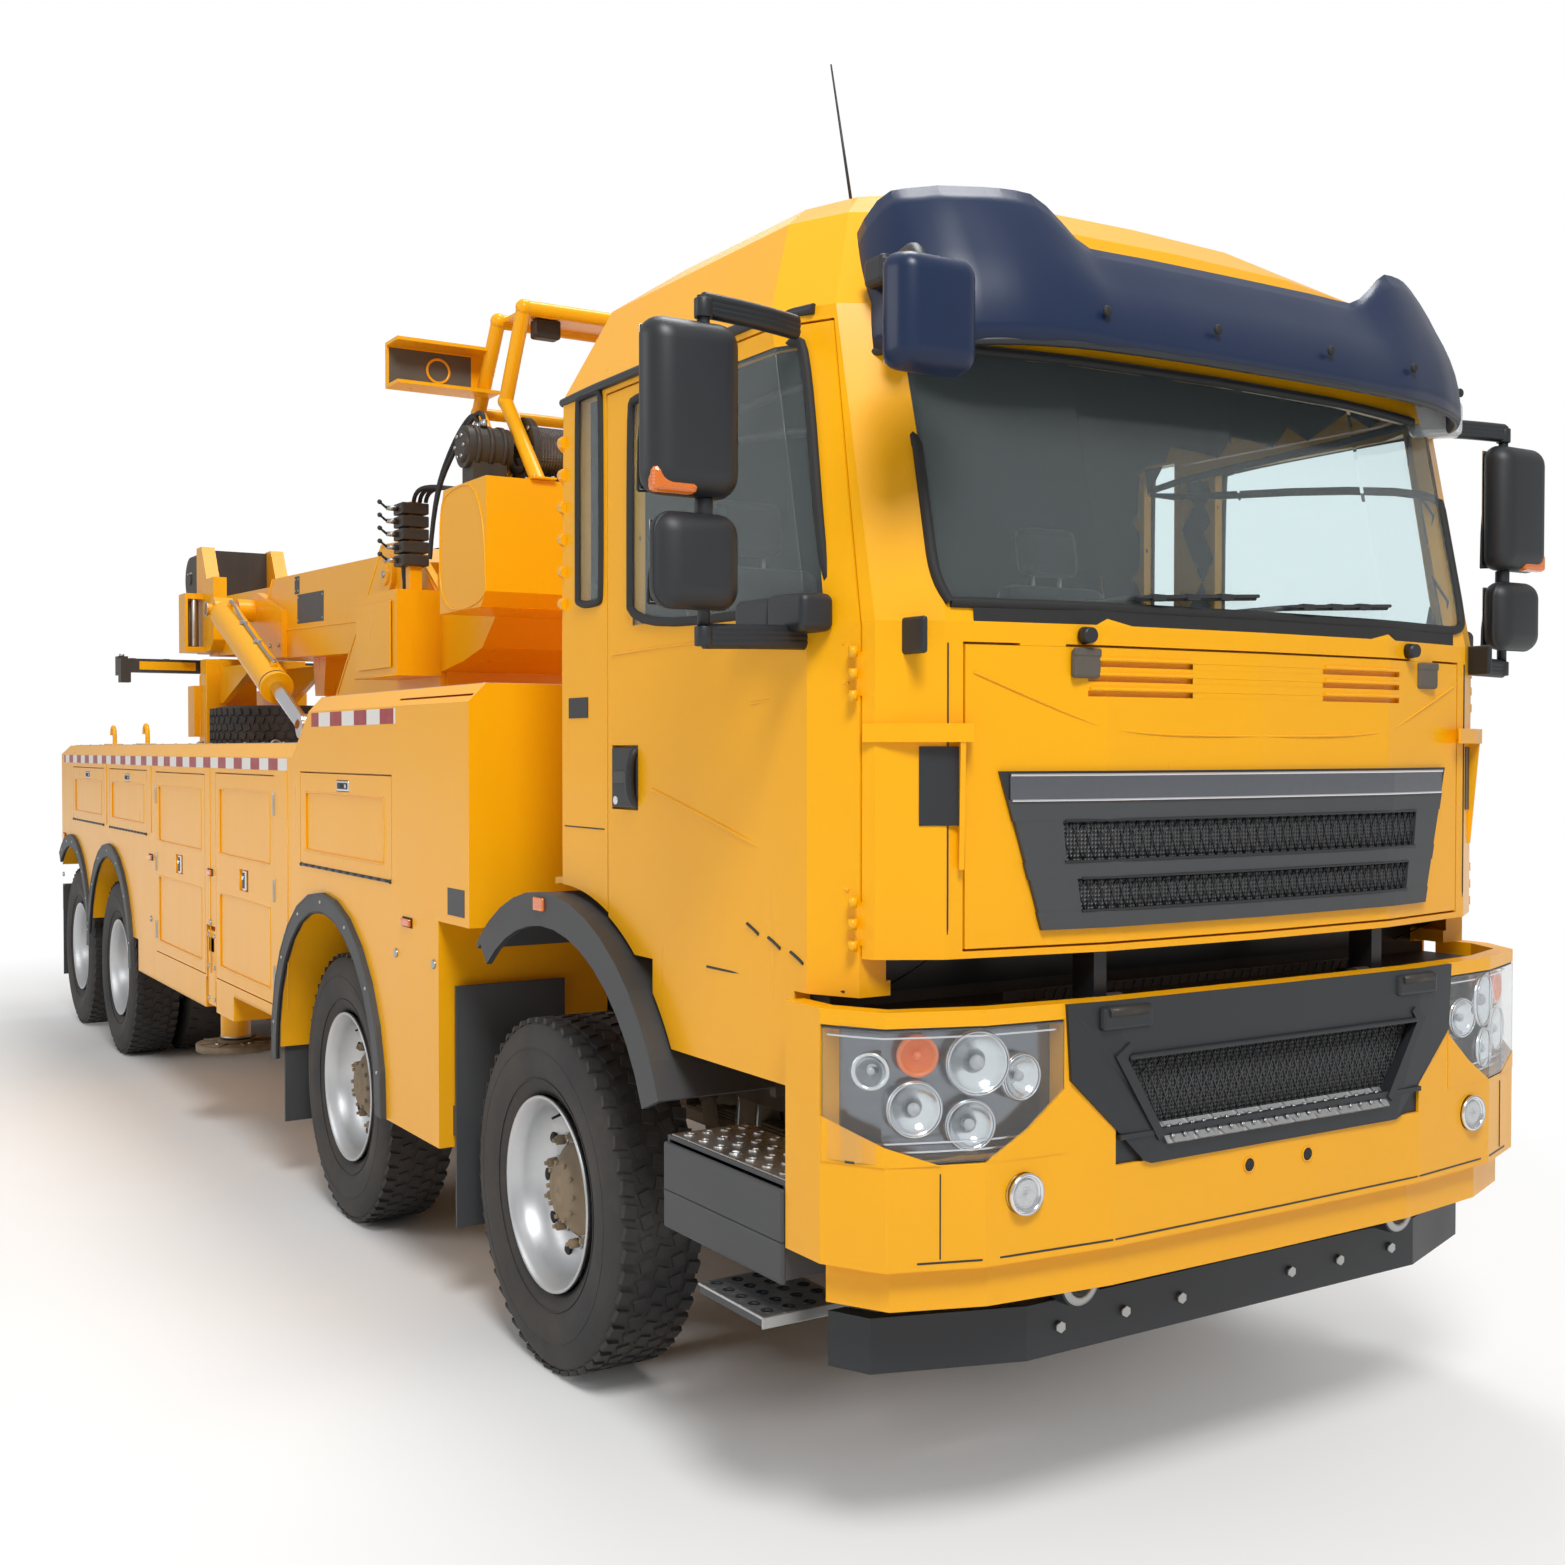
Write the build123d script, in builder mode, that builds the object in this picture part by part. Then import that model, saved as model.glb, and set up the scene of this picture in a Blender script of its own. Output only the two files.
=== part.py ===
# Heavy four-axle tow truck with a slewing crane, in millimetres.
# +X is the truck's left, +Y is its rear, +Z is up, and z = 0 is the ground.
# "s" is a distance rearward from the first axle, turned into Y by y_at().
from build123d import *
from math import cos, radians, sin
import os

os.makedirs("parts", exist_ok=True)

# ---------------------------------------------------------------- sizes
AXLE_1_Y = -3550
AXLES_S = (0, 1950, 6400, 7750)
HUB_Z = 542
TYRE_R = 542
TYRE_W = 300
RIM_R = 286
SINGLE_X = 1030
TWIN_OUT_X = 1075
TWIN_IN_X = 745
KINGPIN_X = 900

RAIL_X = (350, 430)
RAIL_Z = (750, 1050)
SUBFRAME_Z = (1050, 1250)

BODY_X = 1250
BODY_IN_X = 620
RAISED_IN_X = 800
BODY_TOP = 1935
RAISED_TOP = 2124
BODY_END = 8170
CHAMFER = 61
ARCH_R = 660
WALL = 20
DOOR_T = 24
GAP = 6
RUN = 0.5

CAB_X = 1150
CAB_WALL = 45
CAB_FLOOR = 1330
CAB_NOSE_Z = 1430
TILT_S = -1660
TILT_Z = 1410

BOOM_S = 3710
BOOM_Z = 2810
BOOM_TILT = 1.5
SLEW_S = 3650


# ---------------------------------------------------------------- helpers
def y_at(s):
    """Row-frame Y of a distance s behind the first axle."""
    return s + AXLE_1_Y


def prism(plane, outline, depth, mode=Mode.ADD):
    """Push a closed outline along its plane's normal."""
    with BuildSketch(plane) as face:
        with BuildLine():
            Polyline(*outline, close=True)
        make_face()
    extrude(face.sketch, amount=depth, mode=mode)


def slab(outline, x0, x1, mode=Mode.ADD):
    """A side-view outline of (s, z) points between two X values."""
    prism(Plane.YZ.offset(x0), [(y_at(s), z) for s, z in outline], x1 - x0, mode)


def plate(outline, z0, z1, mode=Mode.ADD):
    """A plan outline of (x, s) points between two heights."""
    prism(Plane.XY.offset(z0), [(x, y_at(s)) for x, s in outline], z1 - z0, mode)


def wall(outline, s0, s1, mode=Mode.ADD):
    """A front-view outline of (x, z) points between two s values."""
    plane = Plane(origin=(0, y_at(s1), 0), x_dir=(1, 0, 0), z_dir=(0, -1, 0))
    prism(plane, outline, s1 - s0, mode)


def block(x, s, z, mode=Mode.ADD):
    """A box between pairs of x, s and z."""
    middle = ((x[0] + x[1]) / 2, y_at((s[0] + s[1]) / 2), (z[0] + z[1]) / 2)
    with Locations(middle):
        Box(abs(x[1] - x[0]), abs(s[1] - s[0]), abs(z[1] - z[0]), mode=mode)


def rod_x(radius, x, s, z, mode=Mode.ADD):
    """A cylinder along X."""
    with Locations(Location(((x[0] + x[1]) / 2, y_at(s), z), (0, 90, 0))):
        Cylinder(radius, abs(x[1] - x[0]), mode=mode)


def rod_y(radius, x, s, z, mode=Mode.ADD):
    """A cylinder along Y."""
    with Locations(Location((x, y_at((s[0] + s[1]) / 2), z), (90, 0, 0))):
        Cylinder(radius, abs(s[1] - s[0]), mode=mode)


def rod_z(radius, x, s, z, mode=Mode.ADD):
    """A cylinder along Z."""
    with Locations((x, y_at(s), (z[0] + z[1]) / 2)):
        Cylinder(radius, abs(z[1] - z[0]), mode=mode)


def tube(radius, start, end, mode=Mode.ADD):
    """A round bar between two (x, s, z) points."""
    a = Vector(start[0], y_at(start[1]), start[2])
    b = Vector(end[0], y_at(end[1]), end[2])
    plane = Plane(origin=(a + b) / 2, z_dir=b - a)
    with Locations(plane.location):
        Cylinder(radius, (b - a).length, mode=mode)


def levels(rows, mode=Mode.ADD):
    """A ruled body through rows of (z, plan outline of (x, s) points)."""
    for low, high in zip(rows[:-1], rows[1:]):
        faces = []
        for z, outline in (low, high):
            with BuildSketch(Plane.XY.offset(z)) as level:
                with BuildLine():
                    Polyline(*[(x, y_at(s)) for x, s in outline], close=True)
                make_face()
            faces.append(level.sketch)
        loft(faces, ruled=True, mode=mode)


def save(part, name):
    """Name a piece and write it."""
    part.label = name
    export_step(part, f"parts/{name}.step")
    print(name, len(part.solids()))


def cut_up(part, xs, ss, zs=(0, 4000)):
    """The solids of a part between crosswise, lengthwise and level joints."""
    pieces = []
    for x0, x1 in zip(xs, xs[1:]):
        for s0, s1 in zip(ss, ss[1:]):
            for z0, z1 in zip(zs, zs[1:]):
                cell = Pos((x0 + x1) / 2, y_at((s0 + s1) / 2), (z0 + z1) / 2) * Box(x1 - x0, s1 - s0, z1 - z0)
                found = part & cell
                if found:
                    pieces += found.solids()
    return pieces


def mirrored(points):
    """A half outline with x >= 0, completed on the other side."""
    return points + [(-x, v) for x, v in reversed(points) if x > 0]


SIDES = (("left", 1), ("right", -1))

# ---------------------------------------------------------------- chassis
with BuildPart() as chassis_frame:
    block(RAIL_X, (-1740, 8430), RAIL_Z)
    block(RAIL_X, (700, 8050), SUBFRAME_Z)
    # cab tilt posts and their bores
    block((425, 475), (-1775, -1620), (820, 1290))
    rod_x(32, (425, 475), -1740, 1290)
    rod_x(20 + RUN, (420, 480), -1740, 1290, Mode.SUBTRACT)
    # posts for the rear of the first mudguard and its two struts
    block(RAIL_X, (320, 400), (1040, 1270))
    block((420, 850), (340, 375), (1230, 1262))
    block((420, 850), (-850, -820), (955, 985))
    # step bracket and bumper bracket
    block((420, 950), (-1250, -1150), (790, 850))
    block(RAIL_X, (-1808, -1700), (800, 1000))
    # rear beam for lamps and flaps
    block((420, 1210), (8350, 8420), (740, 930))
    mirror(about=Plane.YZ)
    for s0 in (-1340, 2650, 4600, 5500, 7000, 7900):
        block((-360, 360), (s0, s0 + 80), (860, 1000))
    # cab rest and slew base
    block((-430, 430), (-240, -120), (1296, 1322))
    for x0 in (-430, 350):
        block((x0, x0 + 80), (-240, -120), (1040, 1322))
    rod_z(450, 0, SLEW_S, (1245, 1500))
    block((-440, 440), (3200, 4100), (1150, 1250))
    # sleeves for the outrigger beams, hung under the rails
    for x in ((-1000, -40), (40, 1000)):
        block(x, (3723, 3739), (555, 755))
        block(x, (3901, 3917), (555, 755))
        block(x, (3723, 3917), (555, 569))
        block(x, (3723, 3917), (741, 755))
    # rear cross box carrying the underlift
    block((-430, 430), (7880, 8048), (750, 1250))
    block((-45, 45), (3723, 3917), (555, 755))
    for x0 in (-225, 165):
        block((x0, x0 + 60), (8040, 8360), (720, 1050))
    for x0 in (-230, 160):
        rod_x(30 + RUN, (x0, x0 + 70), 8250, 850, Mode.SUBTRACT)
# welded from three lengths, with its outriggers' sleeves and its brackets apart
save(Compound(cut_up(chassis_frame.part, (-1300, -480, 480, 1300), (-2000, 2600, 3650, 3990, 7860, 8048, 9000))),
     "chassis_frame")

with BuildPart() as engine:
    block((-330, 330), (-1180, 590), (640, 1290))
    block((-400, 400), (-1560, -1440), (1055, 1290))
    block((-340, 340), (-1560, -1440), (700, 1290))
    block((-345, 345), (-1440, -1180), (1100, 1200))
    block((-350, 350), (-200, -100), (900, 960))
    block((-350, 350), (-1000, -900), (900, 960))
    # gearbox and propeller shaft
    block((-200, 200), (590, 1200), (660, 845))
    rod_y(38, 0, (1200, 6140), 802)
save(engine.part, "engine")

# axle s, steered
AXLES = ((AXLES_S[0], True), (AXLES_S[1], True), (AXLES_S[2], False), (AXLES_S[3], False))
with BuildPart() as axles:
    for s, steered in AXLES:
        block(RAIL_X, (s - 70, s + 70), (540, 750))
        block((355, 425), (s - 480, s + 480), (610, 650))
        block((355, 425), (s - 480, s - 430), (610, 750))
        block((355, 425), (s + 430, s + 480), (610, 750))
        if steered:
            block((0, 822), (s - 50, s + 50), (470, 560))
            block((800, 940), (s - 45, s + 45), (395, 424))
            block((800, 940), (s - 45, s + 45), (666, 695))
            block((780, 822), (s - 45, s + 45), (395, 695))
            rod_z(20, KINGPIN_X, s, (395, 695))
        else:
            rod_x(85, (0, 560), s, HUB_Z)
            rod_x(200, (520, 595), s, HUB_Z)
            rod_x(50, (560, 980), s, HUB_Z)
    mirror(about=Plane.YZ)
    for s, steered in AXLES[2:]:
        rod_x(200, (-150, 150), s, HUB_Z)
        block((-90, 90), (s - 260, s - 120), (500, 842))
    rod_y(38, 0, (AXLES_S[2], AXLES_S[3] - 200), 640)
save(axles.part, "axles")


def round_profile(x, s, z, points):
    """Turn a profile of (distance along x, radius) points about an axis along X."""
    with BuildSketch(Plane(origin=(x, y_at(s), z), x_dir=(1, 0, 0), z_dir=(0, -1, 0))) as face:
        with BuildLine():
            Polyline(*points, close=True)
        make_face()
    revolve(face.sketch, axis=Axis((x, y_at(s), z), (1, 0, 0)))


# tyre profile: distance from the middle plane, radius
TYRE_HALF = ((120, 292), (143, 318), (150, 410), (146, 480), (128, 526), (100, TYRE_R))


def tyre(x, s, z=HUB_Z):
    points = [(-a, r) for a, r in TYRE_HALF]
    round_profile(x, s, z, points + [(a, r) for a, r in reversed(TYRE_HALF)])


def rim_barrel(x, s, z=HUB_Z):
    """A drop-centre rim that carries the tyre's beads."""
    outer = [(-136, 296), (-126, 291.7), (-90, 291.7), (-60, 268), (60, 268), (90, 291.7), (126, 291.7), (136, 296)]
    inner = [(136, 276), (90, 264), (60, 250), (-60, 250), (-90, 264), (-136, 276)]
    round_profile(x, s, z, outer + inner)


def knuckle(side, s):
    x = side * KINGPIN_X
    block((x - 32, x + 32), (s - 60, s + 60), (430, 660))
    rod_x(45, (x, x + side * 155), s, HUB_Z)
    rod_x(105, (x + side * 30, x + side * 44), s, HUB_Z)
    block((x - 20 - side * 12, x + 20 - side * 12), (s - 190, s - 40), (450, 490))
    rod_z(20 + RUN, x, s, (420, 670), Mode.SUBTRACT)


def single_wheel(side, s):
    x = side * SINGLE_X
    tyre(x, s)
    rim_barrel(x, s)
    disc = [(78, 0), (78, 150), (40, 258), (24, 258), (60, 140), (60, 112), (-70, 112), (-70, 0)]
    cap = [(70, 0), (70, 112), (128, 104), (134, 96), (134, 0)]
    round_profile(x, s, HUB_Z, [(side * a, r) for a, r in disc])
    round_profile(x, s, HUB_Z, [(side * a, r) for a, r in cap])
    rod_x(45 + RUN, (x - side * 80, x + side * 32), s, HUB_Z, Mode.SUBTRACT)


def twin_wheel(side, s):
    x = side * TWIN_OUT_X
    for centre in (TWIN_OUT_X, TWIN_IN_X):
        tyre(side * centre, s)
        rim_barrel(side * centre, s)
    # hub, dished disc and the ring between the two rims
    hub = [(-450, 50 + RUN), (-450, 150), (-178, 150), (-178, 252), (-205, 262), (-205, 284), (-125, 284), (-125, 262),
           (-150, 252), (-150, 150), (40, 138), (62, 112), (62, 0), (-80, 0), (-80, 50 + RUN)]
    round_profile(x, s, HUB_Z, [(side * a, r) for a, r in hub])


for number, (axle_s, steered) in enumerate(AXLES, 1):
    for side_name, side in SIDES:
        if steered:
            with BuildPart() as steering_knuckle:
                knuckle(side, axle_s)
            save(steering_knuckle.part, f"knuckle_{number}_{side_name}")
        with BuildPart() as wheel:
            if steered:
                single_wheel(side, axle_s)
            else:
                twin_wheel(side, axle_s)
        save(wheel.part, f"wheel_{number}_{side_name}")

with BuildPart() as spare_wheel:
    spare_axis = Axis((0, y_at(6750), 2050), (0, 0, 1))
    for outline in ([(r, a) for a, r in TYRE_HALF[::-1]] + [(r, -a) for a, r in TYRE_HALF],
                    [(296, 136), (291.7, 126), (291.7, 90), (268, 60), (268, -60), (291.7, -90), (291.7, -126), (296, -136),
                     (276, -136),
                     (250, -60), (200, -60), (110, -130), (110, -150), (90, -150), (90, -130), (190, -40),
                     (250, -40), (250, 60), (276, 136)]):
        with BuildSketch(Plane(origin=(0, y_at(6750), 2050), x_dir=(1, 0, 0), z_dir=(0, -1, 0))) as face:
            with BuildLine():
                Polyline(*outline, close=True)
            make_face()
        revolve(face.sketch, axis=spare_axis)
save(spare_wheel.part, "spare_wheel")

# ---------------------------------------------------------------- front end
# half plan of the bumper's outside: x, s
BUMPER_PLAN = [(0, -1862), (550, -1858), (900, -1820), (1120, -1740), (1200, -1600), (1200, -1456)]
BUMPER_IN = [(0, -1812), (535, -1808), (878, -1772), (1085, -1702), (1150, -1580), (1150, -1456)]


def bumper_ring(z0, z1, outer=BUMPER_PLAN, inner=BUMPER_IN, mode=Mode.ADD):
    ring = outer + [(x, s) for x, s in reversed(inner)]
    plate(ring + [], z0, z1, mode)


with BuildPart() as bumper:
    bumper_ring(750, 1328)
    # lower lip, set back
    bumper_ring(650, 750, [(x * 0.97, s + 28) for x, s in BUMPER_PLAN[:5]], [(x * 0.94, s + 60) for x, s in BUMPER_PLAN[:5]])
    # recesses: lamps, insert
    block((690, 1215), (-1900, -1600), (985, 1292), Mode.SUBTRACT)
    block((0, 545), (-1900, -1790), (940, 1250), Mode.SUBTRACT)
    rod_y(48, 800, (-1900, -1700), 905, Mode.SUBTRACT)
    # side returns and the bracket to the rails
    block((1150, 1200), (-1600, -1456), (900, 1328))
    block((430, 1160), (-1500, -1462), (820, 900))
    mirror(about=Plane.YZ)
save(bumper.part, "bumper")

with BuildPart() as lamps:
    # headlamps fill the recesses flush with the bumper's outside
    with BuildSketch(Plane.XY.offset(985)) as face:
        with BuildLine():
            Polyline(*[(x, y_at(s)) for x, s in [(690, -1844), (900, -1820), (1120, -1740), (1198, -1604), (1150, -1600),
                                                 (1085, -1702), (878, -1772), (690, -1789)]], close=True)
        make_face()
    extrude(face.sketch, amount=307)
    rod_y(48, 800, (-1848, -1790), 905)
    # side markers along the body, rear lamp boxes
    for s in (960, 3815, 5190, 8060):
        block((1250, 1258), (s - 45, s + 45), (1285, 1315))
    block((850, 1200), (8420, 8465), (750, 920))
    mirror(about=Plane.YZ)
save(lamps.part, "lamps")

with BuildPart() as bumper_trim:
    # dark insert with its tread, set in the bumper's recess
    block((0, 545), (-1850, -1812), (940, 1000))
    block((0, 545), (-1836, -1815), (1000, 1250))
    block((0, 540), (-1870, -1812), (1000, 1012))
    # bent push bar and its stays to the rails
    plate([(0, -1725), (700, -1725), (1060, -1600), (1110, -1500), (1060, -1500), (1020, -1570), (685, -1680),
           (0, -1680)], 470, 600)
    block((360, 420), (-1700, -1640), (590, 750))
    rod_y(62, 575, (-1775, -1722), 650)
    block((545, 605), (-1722, -1690), (590, 690))
    mirror(about=Plane.YZ)
save(bumper_trim.part, "bumper_trim")

with BuildPart() as entry_steps:
    plate([(950, -1450), (1195, -1450), (1195, -870), (950, -870)], 670, 682)
    block((950, 962), (-1450, -870), (670, 900))
    block((950, 1195), (-1450, -1440), (670, 900))
    block((950, 1195), (-880, -870), (670, 900))
    block((1183, 1195), (-1450, -870), (670, 775))
    block((955, 1190), (-1445, -880), (765, 775))
    block((955, 1195), (-1445, -880), (890, 900))
    # hanging lower step
    for s in (-1400, -1140):
        block((1000, 1008), (s - 20, s + 20), (560, 675))
    block((1000, 1240), (-1420, -1120), (560, 580))
    mirror(about=Plane.YZ)
save(entry_steps.part, "entry_steps")

# ---------------------------------------------------------------- locker body
ARCHES = ((1930, 600, 660), (6400, 590, 650), (7750, 590, 650))
# name, s0, s1, z0, z1, hinge edge
LOCKERS = (
    ("a", 6590, 7700, 1425, 1785, "foot"),
    ("b", 5300, 6400, 1420, 1785, "foot"),
    ("c", 3930, 5060, 785, 1780, "rear"),
    ("d", 2660, 3700, 790, 1790, "front"),
    ("e", 1130, 2260, 1427, 1811, "foot"),
)
BODY_SIDE = [(380, 1330), (380, RAISED_TOP), (2160, RAISED_TOP), (2400, BODY_TOP), (BODY_END, BODY_TOP), (BODY_END, 800),
             (5560, 800), (5560, 617), (3380, 617), (3380, 735), (2700, 735), (2700, 617), (2620, 617),
             (1250, 560), (660, 560), (660, 1330)]

with BuildPart() as service_body:
    slab(BODY_SIDE, BODY_IN_X, BODY_X)
    outer_top = [e for e in service_body.edges() if e.center().X > BODY_X - 1 and e.center().Z > BODY_TOP - 1
                 and abs(e.tangent_at(0.5).X) < 0.1 and e.center().Y > y_at(390)]
    chamfer(outer_top, CHAMFER)
    # the raised part is narrower inside
    block((BODY_IN_X - 5, RAISED_IN_X), (380, 2400), (BODY_TOP, RAISED_TOP + 10), Mode.SUBTRACT)
    # wheel arches
    for s, z, r in ARCHES:
        rod_x(r, (400, 1300), s, z, Mode.SUBTRACT)
    # locker cavities and door seats
    for name, s0, s1, z0, z1, hinge in LOCKERS:
        front = RUN if hinge == "front" else GAP
        rear = RUN if hinge == "rear" else GAP
        foot = RUN if hinge == "foot" else GAP
        block((BODY_X - DOOR_T - 5, BODY_X + 10), (s0 - front, s1 + rear), (z0 - foot, z1 + GAP), Mode.SUBTRACT)
        block((BODY_IN_X + WALL, BODY_X), (s0 + 25, s1 - 25), (z0 + 25, z1 - 25), Mode.SUBTRACT)
    # slot for the outrigger
    block((BODY_IN_X - 5, BODY_X + 10), (3725, 3905), (600, 1035), Mode.SUBTRACT)
    # tank behind the first axle is hollowed from inside
    block((BODY_IN_X + WALL, BODY_X - WALL), (400, 1100), (1440, 2090), Mode.SUBTRACT)
    block((BODY_IN_X + WALL, BODY_X - WALL), (3400, 5500), (640, 760), Mode.SUBTRACT)
    block((BODY_IN_X - 5, BODY_X + 10), (3700, 3930), (600, 770), Mode.SUBTRACT)
    for s0 in (3640, 3922):
        block((BODY_IN_X, BODY_X), (s0, s0 + 70), (617, 778))
    # decks, front wall and cross beams
    block((0, RAISED_IN_X), (380, 400), (1440, 2050))
    block((0, RAISED_IN_X), (400, 2180), (1880, 1900))
    block((0, BODY_IN_X + 5), (2160, 2180), (1500, 1900))
    block((0, BODY_IN_X + 5), (2160, 5300), (1480, 1500))
    block((0, BODY_IN_X + 5), (5280, 5300), (1500, 1900))
    block((0, BODY_IN_X + 5), (5280, 7640), (1880, 1900))
    rod_z(460, 0, SLEW_S, (1470, 1510), Mode.SUBTRACT)
    for s0 in (720, 2300, 5240, 7100):
        block((0, BODY_IN_X + 5), (s0, s0 + 90), (1250, 1350))
    block((0, BODY_IN_X + 5), (2300, 2330), (1340, 1485))
    block((0, BODY_IN_X + 5), (5280, 5310), (1340, 1485))
    block((0, BODY_IN_X + 5), (7100, 7130), (1340, 1885))
    mirror(about=Plane.YZ)
# each locker case and each length of deck is a box of its own
CASE_JOINTS = (0, 1115, 2455, 3725, 3905, 5180)
DECK_JOINTS = (0, 1115, 2455, 3815, 5270, 7300, 9000)
# over the rear wheels: the arches below, then floor, walls and roof of the two lockers
ARCH_JOINTS = (5180, 6150, 6400, 6650, 7500, 7750, 8000, 9000)
REAR_JOINTS = (5180, 5325, 6375, 6615, 7675, 9000)
cases = cut_up(service_body.part, (-BODY_IN_X, BODY_IN_X), DECK_JOINTS)
for flank in ((-1300, -BODY_IN_X), (BODY_IN_X, 1300)):
    cases += cut_up(service_body.part, flank, CASE_JOINTS)
    cases += cut_up(service_body.part, flank, ARCH_JOINTS, (0, 1300))
    cases += cut_up(service_body.part, flank, REAR_JOINTS, (1300, 1450, 1760, 4000))
save(Compound(cases), "service_body")

for name, s0, s1, z0, z1, hinge in LOCKERS:
    for side_name, side in SIDES:
        faces = sorted((side * (BODY_X - DOOR_T), side * BODY_X))
        with BuildPart() as locker_door:
            block(faces, (s0, s1), (z0, z1))
            # pressed panels and a latch pocket
            pocket = sorted((side * (BODY_X - 5), side * (BODY_X + 5)))
            if hinge == "foot":
                middle = (s0 + s1) / 2
                block(pocket, (s0 + 80, s1 - 70), (z0 + 63, z1 - 76), Mode.SUBTRACT)
                block(sorted((side * (BODY_X - 15), side * (BODY_X + 5))), (middle - 80, middle + 80),
                      (z1 - 68, z1 - 22), Mode.SUBTRACT)
            else:
                middle = (s0 + s1) / 2
                block(pocket, (s0 + 70, s1 - 70), (1400, z1 - 70), Mode.SUBTRACT)
                block(pocket, (s0 + 70, s1 - 70), (z0 + 60, 1210), Mode.SUBTRACT)
                block(sorted((side * (BODY_X - 15), side * (BODY_X + 5))), (middle - 80, middle + 80),
                      (1250, 1350), Mode.SUBTRACT)
        save(locker_door.part, f"locker_{name}_{side_name}")


def arc_ring(s, z, inner, outer, start, end, x0, x1, mode=Mode.ADD):
    """Part of a ring about an axis along X, in degrees from the rear, upward."""
    steps = 14
    angles = [radians(start + (end - start) * i / steps) for i in range(steps + 1)]
    outline = [(s + outer * cos(a), z + outer * sin(a)) for a in angles]
    outline += [(s + inner * cos(a), z + inner * sin(a)) for a in reversed(angles)]
    slab(outline, x0, x1, mode)


with BuildPart() as wheel_arch_trim:
    # first mudguard stands on the chassis, clear of the cab
    arc_ring(-120, 690, 770, 790, 48, 158, 850, 1215)
    arc_ring(-120, 690, 690, 792, 50, 158, 1195, 1215)
    # guard and flap behind the first wheel
    block((800, 1200), (628, 640), (560, 1110))
    block((800, 1200), (640, 660), (600, 700))
    block((800, 1200), (628, 638), (290, 565))
    # lips round the body's arches
    arc_ring(1930, 600, 658, 735, -3, 183, 1250, 1270)
    for s, start in ((AXLES_S[2], 2), (AXLES_S[3], 53)):
        arc_ring(s, 590, 648, 730, start, 178, 1250, 1270)
    # flaps behind the second and the last axle
    block((640, 1220), (2620, 2632), (280, 617))
    block((640, 1220), (2620, 2700), (597, 617))
    block((640, 1220), (8338, 8350), (280, 920))
    mirror(about=Plane.YZ)
save(wheel_arch_trim.part, "wheel_arch_trim")

with BuildPart() as mast:
    # columns on the rails, rest for the boom, gussets and cheeks
    block((222, 430), (7650, 7890), (1250, 1275))
    block((222, 358), (7670, 7870), (1260, 2450))
    slab([(6900, 2440), (6900, 2490), (7870, 2500), (7870, 2240), (7600, 2240)], 222, 262)
    block((0, 222), (7690, 7850), (2380, 2450))
    block((100, 358), (7690, 7850), (2450, 2556))
    block((222, 400), (7870, 8060), (2000, 2370))
    block((222, 262), (8055, 8560), (2100, 2360))
    mirror(about=Plane.YZ)
save(mast.part, "mast")

# ---------------------------------------------------------------- cab
# z, half width, rear s, front s
CAB_ROWS = (
    (1330, 1150, 0, -1800),
    (2200, 1150, 0, -1800),
    (2950, 1150, -15, -1640),
    (3220, 1010, -60, -1500),
    (3330, 850, -220, -1330),
)


def cab_plan(half, rear, front):
    return mirrored([(0, front), (0.44 * half, front + 15), (0.81 * half, front + 90), (0.93 * half, front + 170),
                     (half, front + 330), (half, rear - 120), (half - 80, rear)])


def cab_solid(inset=0, shift=0, floor=1330, roof=0):
    """The cab's outside, drawn in by an inset and moved along s."""
    rows = [(z, cab_plan(half - inset, rear - inset + shift, front + inset + shift))
            for z, half, rear, front in CAB_ROWS]
    rows[0] = (floor, rows[0][1])
    rows[-1] = (CAB_ROWS[-1][0] - roof, rows[-1][1])
    rows[-2] = (CAB_ROWS[-2][0] - roof / 2, rows[-2][1])
    levels(rows)


with BuildPart() as cab_outer:
    cab_solid()
with BuildPart() as cab_inner:
    cab_solid(inset=CAB_WALL, floor=1375, roof=CAB_WALL)
with BuildPart() as cab_pane:
    cab_solid(inset=12, floor=1300, roof=12)
with BuildPart() as cab_behind_panel:
    cab_solid(shift=33, floor=1300)
with BuildPart() as cab_panel_back:
    cab_solid(shift=27, floor=1300)
with BuildPart() as cab_ahead:
    cab_solid(shift=-14)

ARCH_S = -120
ARCH_Z = 690
# windows as side or front outlines
DOOR_OUTLINE = [(-430, 1340), (-430, 2910), (-1465, 2910), (-1594, 2190), (-1594, 1340)]
DOOR_WINDOW = [(-585, 2250), (-585, 2865), (-1395, 2865), (-1505, 2250)]
QUARTER_WINDOW = [(-240, 2340), (-240, 2925), (-390, 2925), (-390, 2340)]
WINDSCREEN = [(-930, 2245), (930, 2245), (945, 2850), (-945, 2850)]

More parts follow.
